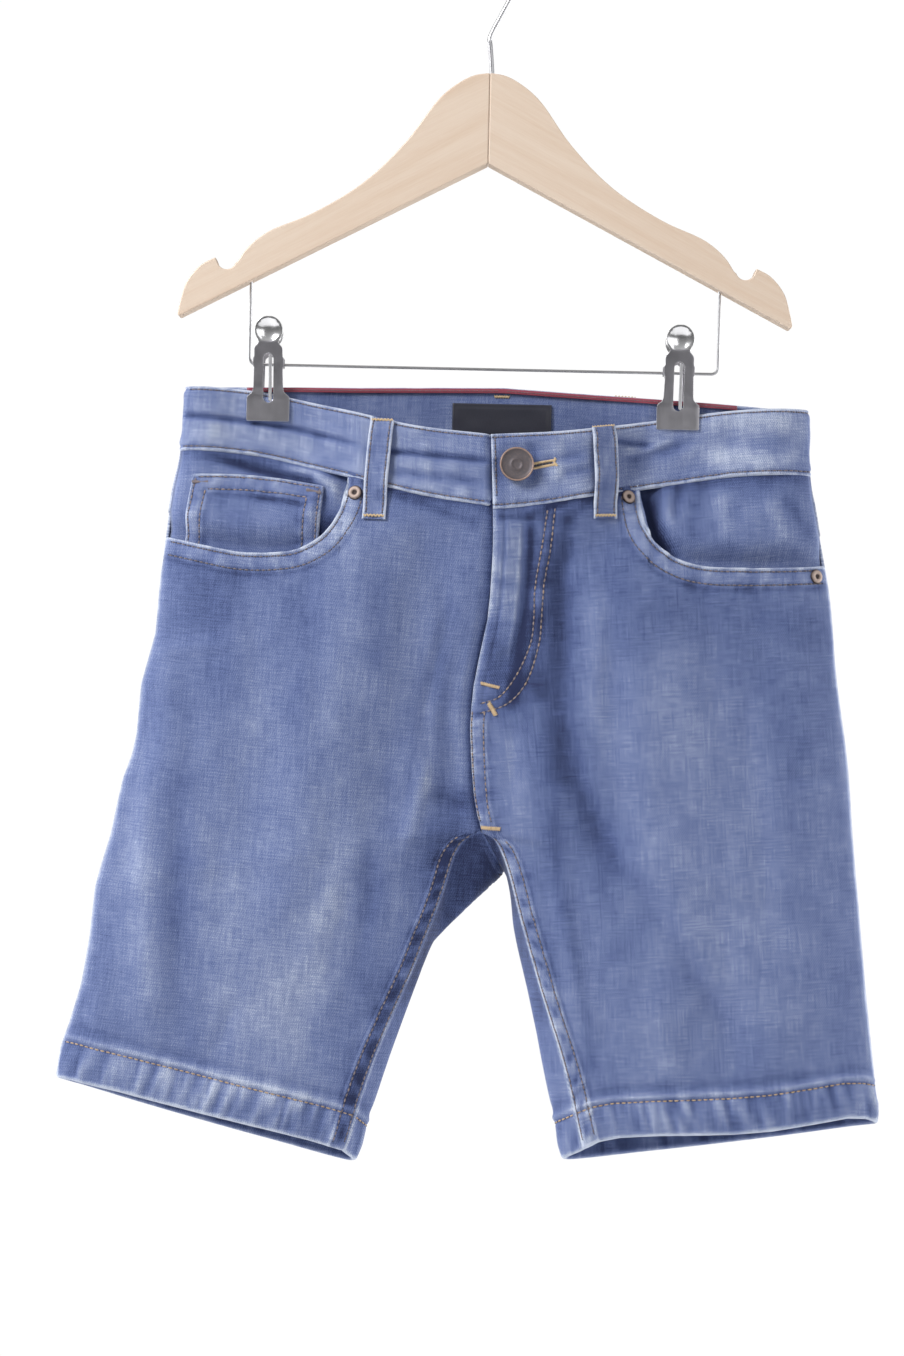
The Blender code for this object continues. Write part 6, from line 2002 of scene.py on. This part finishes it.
# ---------------------------------------------------------------- button and rivets
BUTTON_AT = (12.5, -40.2)
BUTTON_PROFILE = (
    (0.0, 1.9), (1.2, 1.9), (2.0, 2.0), (2.4, 2.35), (2.7, 2.45), (3.0, 2.35), (3.4, 2.1), (4.4, 2.05),
    (5.8, 2.1), (6.7, 2.25), (7.2, 2.55), (7.5, 3.0), (7.8, 3.3), (8.15, 3.2), (8.4, 2.7), (8.35, 2.1),
    (8.0, 1.5), (7.0, 0.9), (5.2, 0.55), (5.0, 0.0), (0.0, 0.0),
)
RIVET_PROFILE = (
    (0.0, 0.68), (0.7, 0.68), (1.0, 0.74), (1.2, 1.0), (1.4, 1.25), (1.8, 1.36), (2.3, 1.38), (2.7, 1.3),
    (3.05, 1.1), (3.4, 0.75), (3.6, 0.3), (3.55, 0.0), (0.0, 0.0),
)
RIVETS = (
    ("rivet_right_inner", -65.2, -54.9, 1.0),
    ("rivet_right_outer", -155.5, -84.2, 0.3),
    ("rivet_left_inner", 67.6, -53.8, 0.4),
    ("rivet_left_outer", 161.4, -90.3, 0.4),
)


def lathe(name, profile, segments, material):
    """A mesh turned round Z from (radius, height) pairs in millimetres."""
    bm = bmesh.new()
    angles = [2 * math.pi * k / segments for k in range(segments)]
    rings = []
    for radius, height in profile:
        if radius == 0:
            rings.append([bm.verts.new((0, 0, height * MM))] * segments)
        else:
            ring = [(radius * math.cos(a), radius * math.sin(a), height) for a in angles]
            rings.append([bm.verts.new([value * MM for value in point]) for point in ring])
    for upper, lower in zip(rings, rings[1:]):
        for k in range(segments):
            corners = []
            for v in (upper[k], upper[(k + 1) % segments], lower[(k + 1) % segments], lower[k]):
                if v not in corners:
                    corners.append(v)
            if len(corners) > 2:
                bm.faces.new(corners)
    bmesh.ops.recalc_face_normals(bm, faces=bm.faces)
    return add_object(name, finished(bm, name), material)


def stud(name, x, z, out, profile, segments, material):
    """A turned stud in its node's place, `out` further out."""
    half = int(half_at("front", x, z))
    share, drop = locate(half, "front", np.array([x]), np.array([z]))
    normal = Vector(own_normal(half, "front", share, drop)[0])
    low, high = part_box(name)
    height = max(h for _, h in profile)
    centre = (low + high) / 2 - normal * (height / 2 - out) * MM
    made = lathe(name + "_cap", profile, segments, material)
    made.matrix_world = Matrix.Translation(centre) @ normal.to_track_quat("Z", "Y").to_matrix().to_4x4()
    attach(made, "root")
    stand_for(made, name)


def copper_material(name, dark, bright, rise_from, rise_to):
    """Worn plating: `bright` where it stands up from `rise_from` to `rise_to` millimetres."""
    made, tree, skin = new_material(name, 0.6, 0.6)
    where = object_place(tree)
    spots = cloud(tree, where, (900, 900, 900), 4, 0.65)
    fine = cloud(tree, where, (4200, 4200, 4200), 2)
    height = node(tree, "SeparateXYZ", {0: where}).outputs["Z"]
    rise = mapped(tree, height, rise_from * MM, rise_to * MM)
    value = weighted(tree, (spots, 0.8), (fine, 0.5), (rise, 0.85))
    paint(tree, skin, value, ((0.0, dark), (0.9, bright)))
    roughen(tree, skin, weighted(tree, (spots, 0.4), (fine, 0.2)), 0.6)
    bump(tree, skin, weighted(tree, (spots, 0.6), (fine, 0.4)), 0.4, 0.0001)
    return made


# ---------------------------------------------------------------- hanger
ARM_THICK = 12.0
ARM_EDGE = 1.6
HOOK_IN_WOOD = 20.0
BAR_WIRE = 0.7
BAR_HALF, BAR_LOW, BAR_IN_WOOD = 115.6, 8.7, 9.0
BAR_BEND = 3.4

ArmPoint = namedtuple("ArmPoint", "x z")
ARM_TOP = (
    ArmPoint(0.0, CROWN),
    ArmPoint(8.0, 152.6),
    ArmPoint(16.5, 148.0),
    ArmPoint(25.0, 140.6),
    ArmPoint(40.5, 119.5),
    ArmPoint(61.0, 99.0),
    ArmPoint(86.0, 83.2),
    ArmPoint(108.0, 73.4),
    ArmPoint(117.5, 65.5),
    ArmPoint(122.8, 57.6),
)
ARM_TIP = (
    ArmPoint(133.0, 60.6),
    ArmPoint(140.0, 56.8),
    ArmPoint(146.8, 48.6),
    ArmPoint(150.0, 38.5),
    ArmPoint(151.3, 32.2),
)
NOTCH_CENTRE, NOTCH_RADIUS = (127.6, 59.4), 4.6
ARM_UNDER = (ArmPoint(150.2, 31.2), ArmPoint(0.0, 109.4))


def arc(centre, radius, start, stop, count):
    """Points (x, z) on an arc, with its angles in degrees from +X towards +Z."""
    angles = np.radians(np.linspace(start, stop, count + 1))
    return [(centre[0] + radius * math.cos(a), centre[1] + radius * math.sin(a)) for a in angles]


def hanger_point(x, z, y=0.0):
    """From the hanger's x and the garment's z to the frame's metres."""
    return Vector((x, y, z - WAIST_DROP)) * MM


def arm_under_z(x):
    tip, apex = ARM_UNDER
    return apex.z + (tip.z - apex.z) * x / tip.x


def arm_outline():
    """The arm's outline as (x, z), from the crown over the notch to the tip and back below."""
    top, tip = (spline(points, 6)[0] for points in (ARM_TOP, ARM_TIP))
    notch = arc(NOTCH_CENTRE, NOTCH_RADIUS, 200, 340, 18)
    return [*top[:-1], *notch, *tip, *ARM_UNDER]


def hanger_arm(name, side, material):
    outline = [(side * max(x, 0.05), z) for x, z in arm_outline()]
    bm = bmesh.new()
    face = bm.faces.new([bm.verts.new(hanger_point(x, z, ARM_THICK / 2)) for x, z in outline])
    made = bmesh.ops.extrude_face_region(bm, geom=[face])
    back = [item for item in made["geom"] if isinstance(item, bmesh.types.BMVert)]
    bmesh.ops.translate(bm, verts=back, vec=(0, -ARM_THICK * MM, 0))
    bmesh.ops.recalc_face_normals(bm, faces=bm.faces)
    mesh = finished(bm, name)
    mesh.set_sharp_from_angle(angle=math.radians(60))
    piece = add_object(name + "_wood", mesh, material)
    modify(
        piece, "BEVEL", width=ARM_EDGE * MM, segments=5, limit_method="ANGLE",
        angle_limit=math.radians(50), harden_normals=True,
    )
    stand_for(piece, name)


def wood_material(side):
    """Clear-lacquered beech, with its grain along the arm."""
    made, tree, skin = new_material(f"lacquered_beech_{side}", 0.42, Coat_Weight=0.25)
    skin.inputs["Coat Roughness"].default_value = 0.3
    where = object_place(tree)
    turn = math.radians(-28 if side == "left" else 28)
    along = node(tree, "Mapping", {"Vector": where, "Rotation": (0, turn, 0)}).outputs["Vector"]
    wander = maths(tree, "MULTIPLY", cloud(tree, along, (9, 40, 60), 2), 0.004)
    moved = node(tree, "CombineXYZ", {2: wander}).outputs[0]
    warped = node(tree, "VectorMath", {0: moved, 1: along}, operation="ADD").outputs[0]
    broad = cloud(tree, warped, (6, 130, 190), 3)
    grain = cloud(tree, warped, (26, 700, 1050), 3, 0.6)
    flecks = cloud(tree, along, (150, 1300, 2300), 1)
    value = weighted(tree, (broad, 0.45), (grain, 0.28), (flecks, 0.14))
    paint(tree, skin, maths(tree, "ADD", value, 0.6), (
        (0.0, (0.50, 0.33, 0.22)), (0.4, (0.63, 0.47, 0.35)), (0.65, (0.70, 0.57, 0.46)),
        (1.0, (0.77, 0.66, 0.56)),
    ))
    bump(tree, skin, weighted(tree, (grain, 0.6), (flecks, 0.4)), 0.25, 0.0001)
    return made


def wire(name, points, radius, material, node_name, resolution=6):
    curve = bpy.data.curves.new(name, "CURVE")
    curve.dimensions = "3D"
    curve.bevel_depth = radius * MM
    curve.bevel_resolution = resolution
    curve.use_fill_caps = True
    line = curve.splines.new("POLY")
    line.points.add(len(points) - 1)
    for target, point in zip(line.points, points):
        target.co = (*point, 1)
    stand_for(add_object(name, curve, material), node_name)


def hook(material):
    start = (HOOK_RADIUS * math.cos(HOOK_LEAN), HOOK_CENTRE_Z - HOOK_RADIUS * math.sin(HOOK_LEAN))
    halfway = ((HOOK_KINK[0] + start[0]) / 2, (HOOK_KINK[1] + start[1]) / 2)
    kink = [(-0.2, 168.5), (-0.5, 171.0), (0.1, 173.6)]
    points = [(HOOK_FOOT[0], CROWN - HOOK_IN_WOOD), HOOK_FOOT, *kink, halfway]
    points += arc((0.0, HOOK_CENTRE_Z), HOOK_RADIUS, -HOOK_RUN, 205, 22)
    line = [hanger_point(x, z) for x, z in spline(points, 5)[0]]
    wire("hook_wire", line, HOOK_WIRE, material, "hanger_hook")


def trouser_bar(material):
    inside = BAR_HALF - BAR_BEND
    top = arm_under_z(BAR_HALF) + BAR_IN_WOOD
    right = [(BAR_HALF, top), *arc((inside, BAR_LOW + BAR_BEND), BAR_BEND, 0, -90, 14)]
    line = [hanger_point(x, z) for x, z in [(-x, z) for x, z in right] + right[::-1]]
    wire("bar_wire", line, BAR_WIRE, material, "trouser_bar")


def steel_material(name, tint, roughness):
    made, tree, skin = new_material(name, roughness, 1.0)
    where = object_place(tree)
    brushed = cloud(tree, where, (2600, 2600, 160), 2)
    marks = cloud(tree, where, (170, 170, 170), 3)
    value = weighted(tree, (brushed, 0.25), (marks, 0.5))
    dull = tuple(0.72 * c for c in tint)
    paint(tree, skin, maths(tree, "ADD", value, 0.5), ((0.1, dull), (0.9, tint)))
    roughen(tree, skin, weighted(tree, (marks, 0.16), (brushed, 0.08)), roughness)
    bump(tree, skin, brushed, 0.12, 0.00008)
    return made


PLATE_THICK = 0.9
# Half the plate's width and its distance in front of the bar, from its jaw up to its pad.
PlateRow = namedtuple("PlateRow", "z half y")
PLATE = (
    PlateRow(-19.4, 10.1, 4.2), PlateRow(-18.9, 10.5, 4.2), PlateRow(-8.6, 10.5, 4.25),
    PlateRow(-7.3, 10.3, 4.35), PlateRow(-6.4, 9.3, 4.5), PlateRow(-5.6, 8.2, 4.7),
    PlateRow(-4.4, 7.5, 5.0), PlateRow(-2.6, 7.3, 5.5), PlateRow(4.7, 7.1, 7.2),
    PlateRow(12.7, 7.0, 8.9), PlateRow(15.6, 7.0, 9.4), PlateRow(16.6, 6.6, 9.6),
    PlateRow(18.0, 5.3, 9.9), PlateRow(18.9, 4.8, 10.05), PlateRow(20.0, 5.2, 10.2),
    PlateRow(31.5, 5.0, 11.9),
)
PLATE_STEP = 0.45
SLOT_HALF, SLOT_ENDS = 2.5, (-10.2, 13.6)
PAD_CENTRE, PAD_RADIUS = 24.7, 6.9
PAD_DISH, PAD_RIM = 2.0, 1.1
LUG_ROWS, LUG_REACH = (7.0, 12.0), 2.6


def plate_section(z, is_back):
    """Half the width of a clip's plate, half its slot's width and its distance from the bar."""
    zs, halves, ys = (np.array(values) for values in zip(*PLATE))
    half, y = np.interp(z, zs, halves), np.interp(z, zs, ys)
    up = z - PAD_CENTRE
    if abs(up) < PAD_RADIUS:
        round_half = math.sqrt(PAD_RADIUS**2 - up**2)
        half = round_half if up > -4 else max(half, round_half)
    if is_back:
        half -= PLATE_THICK + 0.3
    low, high = (end + sign * SLOT_HALF for end, sign in zip(SLOT_ENDS, (1, -1)))
    past = max(low - z, z - high, 0.0)
    slot = math.sqrt(max(0.0, SLOT_HALF**2 - past**2))
    return half, slot, y


def clip_plate(name, centre, side, materials):
    """A pressed plate with its slot, dished pad and two lugs; `side` is -1 in front of the bar."""
    plate = bmesh.new()
    low, top = PLATE[0].z, PAD_CENTRE + PAD_RADIUS - 0.15
    levels = np.linspace(low, top, round((top - low) / PLATE_STEP) + 1)
    shares = (-1.0, -0.78, -0.52, -0.26, 0.0, 0.26, 0.52, 0.78, 1.0)
    rows = []
    for z in levels:
        half, slot, y = plate_section(z, side > 0)
        row = []
        for share in shares:
            x = math.copysign(slot + (half - slot) * abs(share), share) if slot else half * share
            away = math.hypot(x, z - PAD_CENTRE) / (PAD_RADIUS - PAD_RIM)
            dish = PAD_DISH * max(0.0, 1 - away**2) ** 0.8
            row.append(plate.verts.new(hanger_point(centre + x, z, side * (y - dish))))
        if slot:
            row.insert(4, plate.verts.new(hanger_point(centre - slot, z, side * y)))
            row[5].co.x = hanger_point(centre + slot, z).x
        rows.append(row)
    for z, lower, upper in zip(levels, rows, rows[1:]):
        open_low, open_up = len(lower) == 10, len(upper) == 10
        for k in range(8):
            skip_low, skip_up = int(open_low and k > 3), int(open_up and k > 3)
            corners = [lower[k + skip_low], lower[k + 1 + skip_low]]
            corners += [upper[k + 1 + skip_up], upper[k + skip_up]]
            # Faces of the pad take the third material, pale steel as a painted reflection.
            plate.faces.new(corners).material_index = 2 if z > PAD_CENTRE - PAD_RADIUS + PAD_RIM else 0
    lugs = [k for k, z in enumerate(levels) if LUG_ROWS[0] <= z <= LUG_ROWS[1]]
    for end in (0, -1):
        line = [rows[k][end] for k in lugs]
        back = [plate.verts.new((v.co.x, -side * LUG_REACH * MM, v.co.z)) for v in line]
        for k in range(len(line) - 1):
            plate.faces.new((line[k], line[k + 1], back[k + 1], back[k]))
    bmesh.ops.recalc_face_normals(plate, faces=plate.faces)
    piece = add_object(name + "_plate", finished(plate, name), materials[0])
    modify(
        piece, "SOLIDIFY", thickness=PLATE_THICK * MM, offset=0, use_even_offset=True,
        material_offset_rim=1,
    )
    modify(
        piece, "BEVEL", width=0.3 * MM, segments=3, limit_method="ANGLE", angle_limit=math.radians(55)
    )
    for material in materials[1:]:
        piece.data.materials.append(material)
    stand_for(piece, name)


LEAF_HALF, LEAF_OFF = 0.85, 0.95      # the leaf inside the front plate's slot, beside its middle
LEAF_THICK = 0.4


def clip_leaf(name, centre, material):
    """The narrow leaf that shows in one side of the slot, round at both ends and a little crowned."""
    leaf = bmesh.new()
    low, high = SLOT_ENDS
    levels = np.linspace(low + 0.5, high - 0.5, 60)
    rows = []
    for z in levels:
        past = max(levels[0] + LEAF_HALF - z, z - levels[-1] + LEAF_HALF, 0.0)
        half = math.sqrt(max(0.01, LEAF_HALF**2 - past**2))
        y = plate_section(z, False)[2]
        rows.append([
            leaf.verts.new(hanger_point(centre + LEAF_OFF + half * u, z, 0.3 * abs(u) ** 2 - y))
            for u in np.linspace(-1, 1, 7)
        ])
    for lower, upper in zip(rows, rows[1:]):
        for k in range(6):
            leaf.faces.new((lower[k], lower[k + 1], upper[k + 1], upper[k]))
    piece = add_object(name + "_leaf", finished(leaf, name), material)
    modify(piece, "SOLIDIFY", thickness=LEAF_THICK * MM)


SPRING_IN, SPRING_OUT = 2.9, 5.4
SPRING_TURNS, SPRING_RADIUS, SPRING_WIRE = 3, 2.4, 0.4


def spring(name, centre, material):
    """A coil on each side of the slot, with the wire between them behind the bar."""
    points = []
    for start, stop in ((-SPRING_OUT, -SPRING_IN), (SPRING_IN, SPRING_OUT)):
        for s in np.linspace(0, 1, SPRING_TURNS * 20):
            angle = SPRING_TURNS * 2 * math.pi * s
            points.append(hanger_point(
                centre + start + (stop - start) * s,
                BAR_LOW + SPRING_RADIUS * math.sin(angle),
                SPRING_RADIUS * math.cos(angle),
            ))
    wire(name + "_coil", points, SPRING_WIRE, material, name, 2)


# ---------------------------------------------------------------- zip, label and tape material
def satin_material(name, colour, lift):
    made, tree, skin = new_material(name, 0.38, Sheen_Weight=0.3)
    uv = cloth_place(tree)
    warp = cloud(tree, uv, (3200, 420, 1), 2)
    weft = node(
        tree, "TexWave", {"Vector": scaled(tree, uv, (1, 1, 1)), "Scale": 900.0, "Distortion": 0.6},
        bands_direction="Y",
    ).outputs["Fac"]
    value = weighted(tree, (warp, 0.6), (weft, 0.35))
    bright = tuple(min(1.0, c * lift + 0.01) for c in colour)
    paint(tree, skin, maths(tree, "ADD", value, 0.2), ((0.0, colour), (1.0, bright)))
    bump(tree, skin, value, 0.35, 0.0001)
    return made


# ---------------------------------------------------------------- the whole object
def build():
    for half, name in SIDES.items():
        front_panel(f"front_{name}", half)
        back_panel(f"back_{name}", half)
        yoke(f"yoke_{name}", half)
        pocket_piece(f"pocket_{name}", half)
        back_pocket(f"back_pocket_{name}", half)
        panel_threads(half, name)
        back_threads(half, name)
    coin_pocket()
    waistband()
    zip_tape = satin_material("zip_tape_cloth", (0.10, 0.09, 0.09), 1.6)
    behind_fly("zip", 0.5, 16, -66, FLY_END + 6, ZIP_LIFT, ZIP_THICK, zip_tape)
    behind_fly("fly_shield", 0.5, UNDER_END, -64, FLY_END - 2, SHIELD_LIFT, DENIM, DENIM_CLOTH)
    for loop in LOOPS:
        belt_loop(loop)
    label(satin_material("black_satin", (0.012, 0.0125, 0.022), 2.1))
    tape(satin_material("red_tape_cloth", (0.22, 0.035, 0.06), 1.7))
    band_threads()
    loop_threads()
    coin_threads()
    tape_threads()
    copper = copper_material("antique_copper", (0.13, 0.115, 0.125), (0.50, 0.34, 0.27), 2.7, 3.5)
    tan = copper_material("worn_copper", (0.035, 0.025, 0.025), (0.42, 0.33, 0.29), 0.7, 1.3)
    stud("button", *BUTTON_AT, 0.3, BUTTON_PROFILE, 64, copper)
    for name, x, z, out in RIVETS:
        stud(name, x, z, out, RIVET_PROFILE, 32, tan)
    for side, name in SIDES.items():
        hanger_arm(f"hanger_arm_{name}", side, wood_material(name))
    bright = steel_material("plated_wire", (0.58, 0.58, 0.60), 0.32)
    grey = steel_material("clip_steel", (0.51, 0.50, 0.54), 0.34)
    # The pad's and the rims' near-white steel is a painted reflection and highlight on the same plated steel
    # as the plates.
    pad_reflection_steel = steel_material("clip_pad_painted_reflection", (0.93, 0.93, 0.95), 0.2)
    rim = steel_material("clip_rim_painted_highlight", (0.95, 0.95, 0.96), 0.55)
    # The leaf's pale steel is a painted highlight along the slot.
    pale = steel_material("clip_leaf_painted_highlight", (0.66, 0.66, 0.68), 0.5)
    hook(bright)
    trouser_bar(bright)
    for side, name in SIDES.items():
        centre = CLIP_X[side] + GARMENT_X
        clip_plate(f"clip_{name}_front", centre, -1, (grey, rim, pad_reflection_steel, rim))
        clip_plate(f"clip_{name}_back", centre, 1, (grey, rim, pad_reflection_steel, rim))
        clip_leaf(f"clip_{name}_front", centre, pale)
        spring(f"clip_{name}_spring", centre, grey)


# ---------------------------------------------------------------- floor, light and camera
FLOOR_HALF, FLOOR_Z = 1.2, -1.0                       # metres
WORLD_LOW, WORLD_HIGH, WORLD_SEEN = 0.10, 0.55, 1.02   # its light from below and above, and its white
LIGHTS = (
    ("key", 0.7, 34.0, (-1.25, -0.95, 0.7), (0, 0, -0.36)),
    ("fill", 1.4, 8.0, (1.3, -1.5, 0.0), (0, 0, -0.4)),
    ("rim_left", 1.0, 12.0, (-1.25, 0.45, -0.35), (0, 0, -0.36)),
    ("rim_right", 1.0, 16.0, (1.25, 0.35, -0.35), (0, 0, -0.36)),
)
CAMERA_AT = (-0.0124, -1.5, -0.3692)
CAMERA_ROLL = 1.22         # degrees
CAMERA_LENS = 80.7


def studio():
    scene = bpy.context.scene
    scene.view_settings.view_transform = "Standard"
    floor_mesh = bpy.data.meshes.new("floor")
    corners = [(x * FLOOR_HALF, y * FLOOR_HALF, FLOOR_Z) for x, y in ((-1, -1), (1, -1), (1, 1), (-1, 1))]
    floor_mesh.from_pydata(corners, [], [(0, 1, 2, 3)])
    floor = bpy.data.objects.new("floor", floor_mesh)
    scene.collection.objects.link(floor)
    floor_mesh.materials.append(new_material("pale_floor", 0.9, Base_Color=(0.86, 0.86, 0.86, 1.0))[0])
    world = bpy.data.worlds.new("studio")
    world.use_nodes = True
    scene.world = world
    tree = world.node_tree
    seen = node(tree, "LightPath").outputs["Is Camera Ray"]
    height = node(tree, "SeparateXYZ", {0: node(tree, "TexCoord").outputs["Generated"]}).outputs["Z"]
    strength = mapped(tree, height, -0.5, 1.0, WORLD_LOW, WORLD_HIGH)
    shade = node(tree, "Background", {"Color": (1, 1, 1, 1), "Strength": strength})
    white = node(tree, "Background", {"Color": (1, 1, 1, 1), "Strength": WORLD_SEEN})
    mixed = node(tree, "MixShader", {0: seen, 1: shade.outputs[0], 2: white.outputs[0]})
    tree.links.new(mixed.outputs[0], tree.nodes["World Output"].inputs["Surface"])
    for name, size, power, place_at, target in LIGHTS:
        data = bpy.data.lights.new(name, "AREA")
        data.size = size
        data.energy = power
        lamp = bpy.data.objects.new(name, data)
        scene.collection.objects.link(lamp)
        lamp.location = place_at
        aim = Vector(target) - Vector(place_at)
        lamp.rotation_euler = aim.to_track_quat("-Z", "Y").to_euler()


def camera():
    data = bpy.data.cameras.new("camera")
    data.sensor_width = 36
    data.lens = CAMERA_LENS
    made = bpy.data.objects.new("camera", data)
    bpy.context.scene.collection.objects.link(made)
    made.matrix_world = (
        Matrix.Translation(CAMERA_AT)
        @ Matrix.Rotation(math.pi / 2, 4, "X")
        @ Matrix.Rotation(math.radians(CAMERA_ROLL), 4, "Z")
    )
    bpy.context.scene.camera = made


build()
studio()
camera()
bpy.context.view_layer.update()
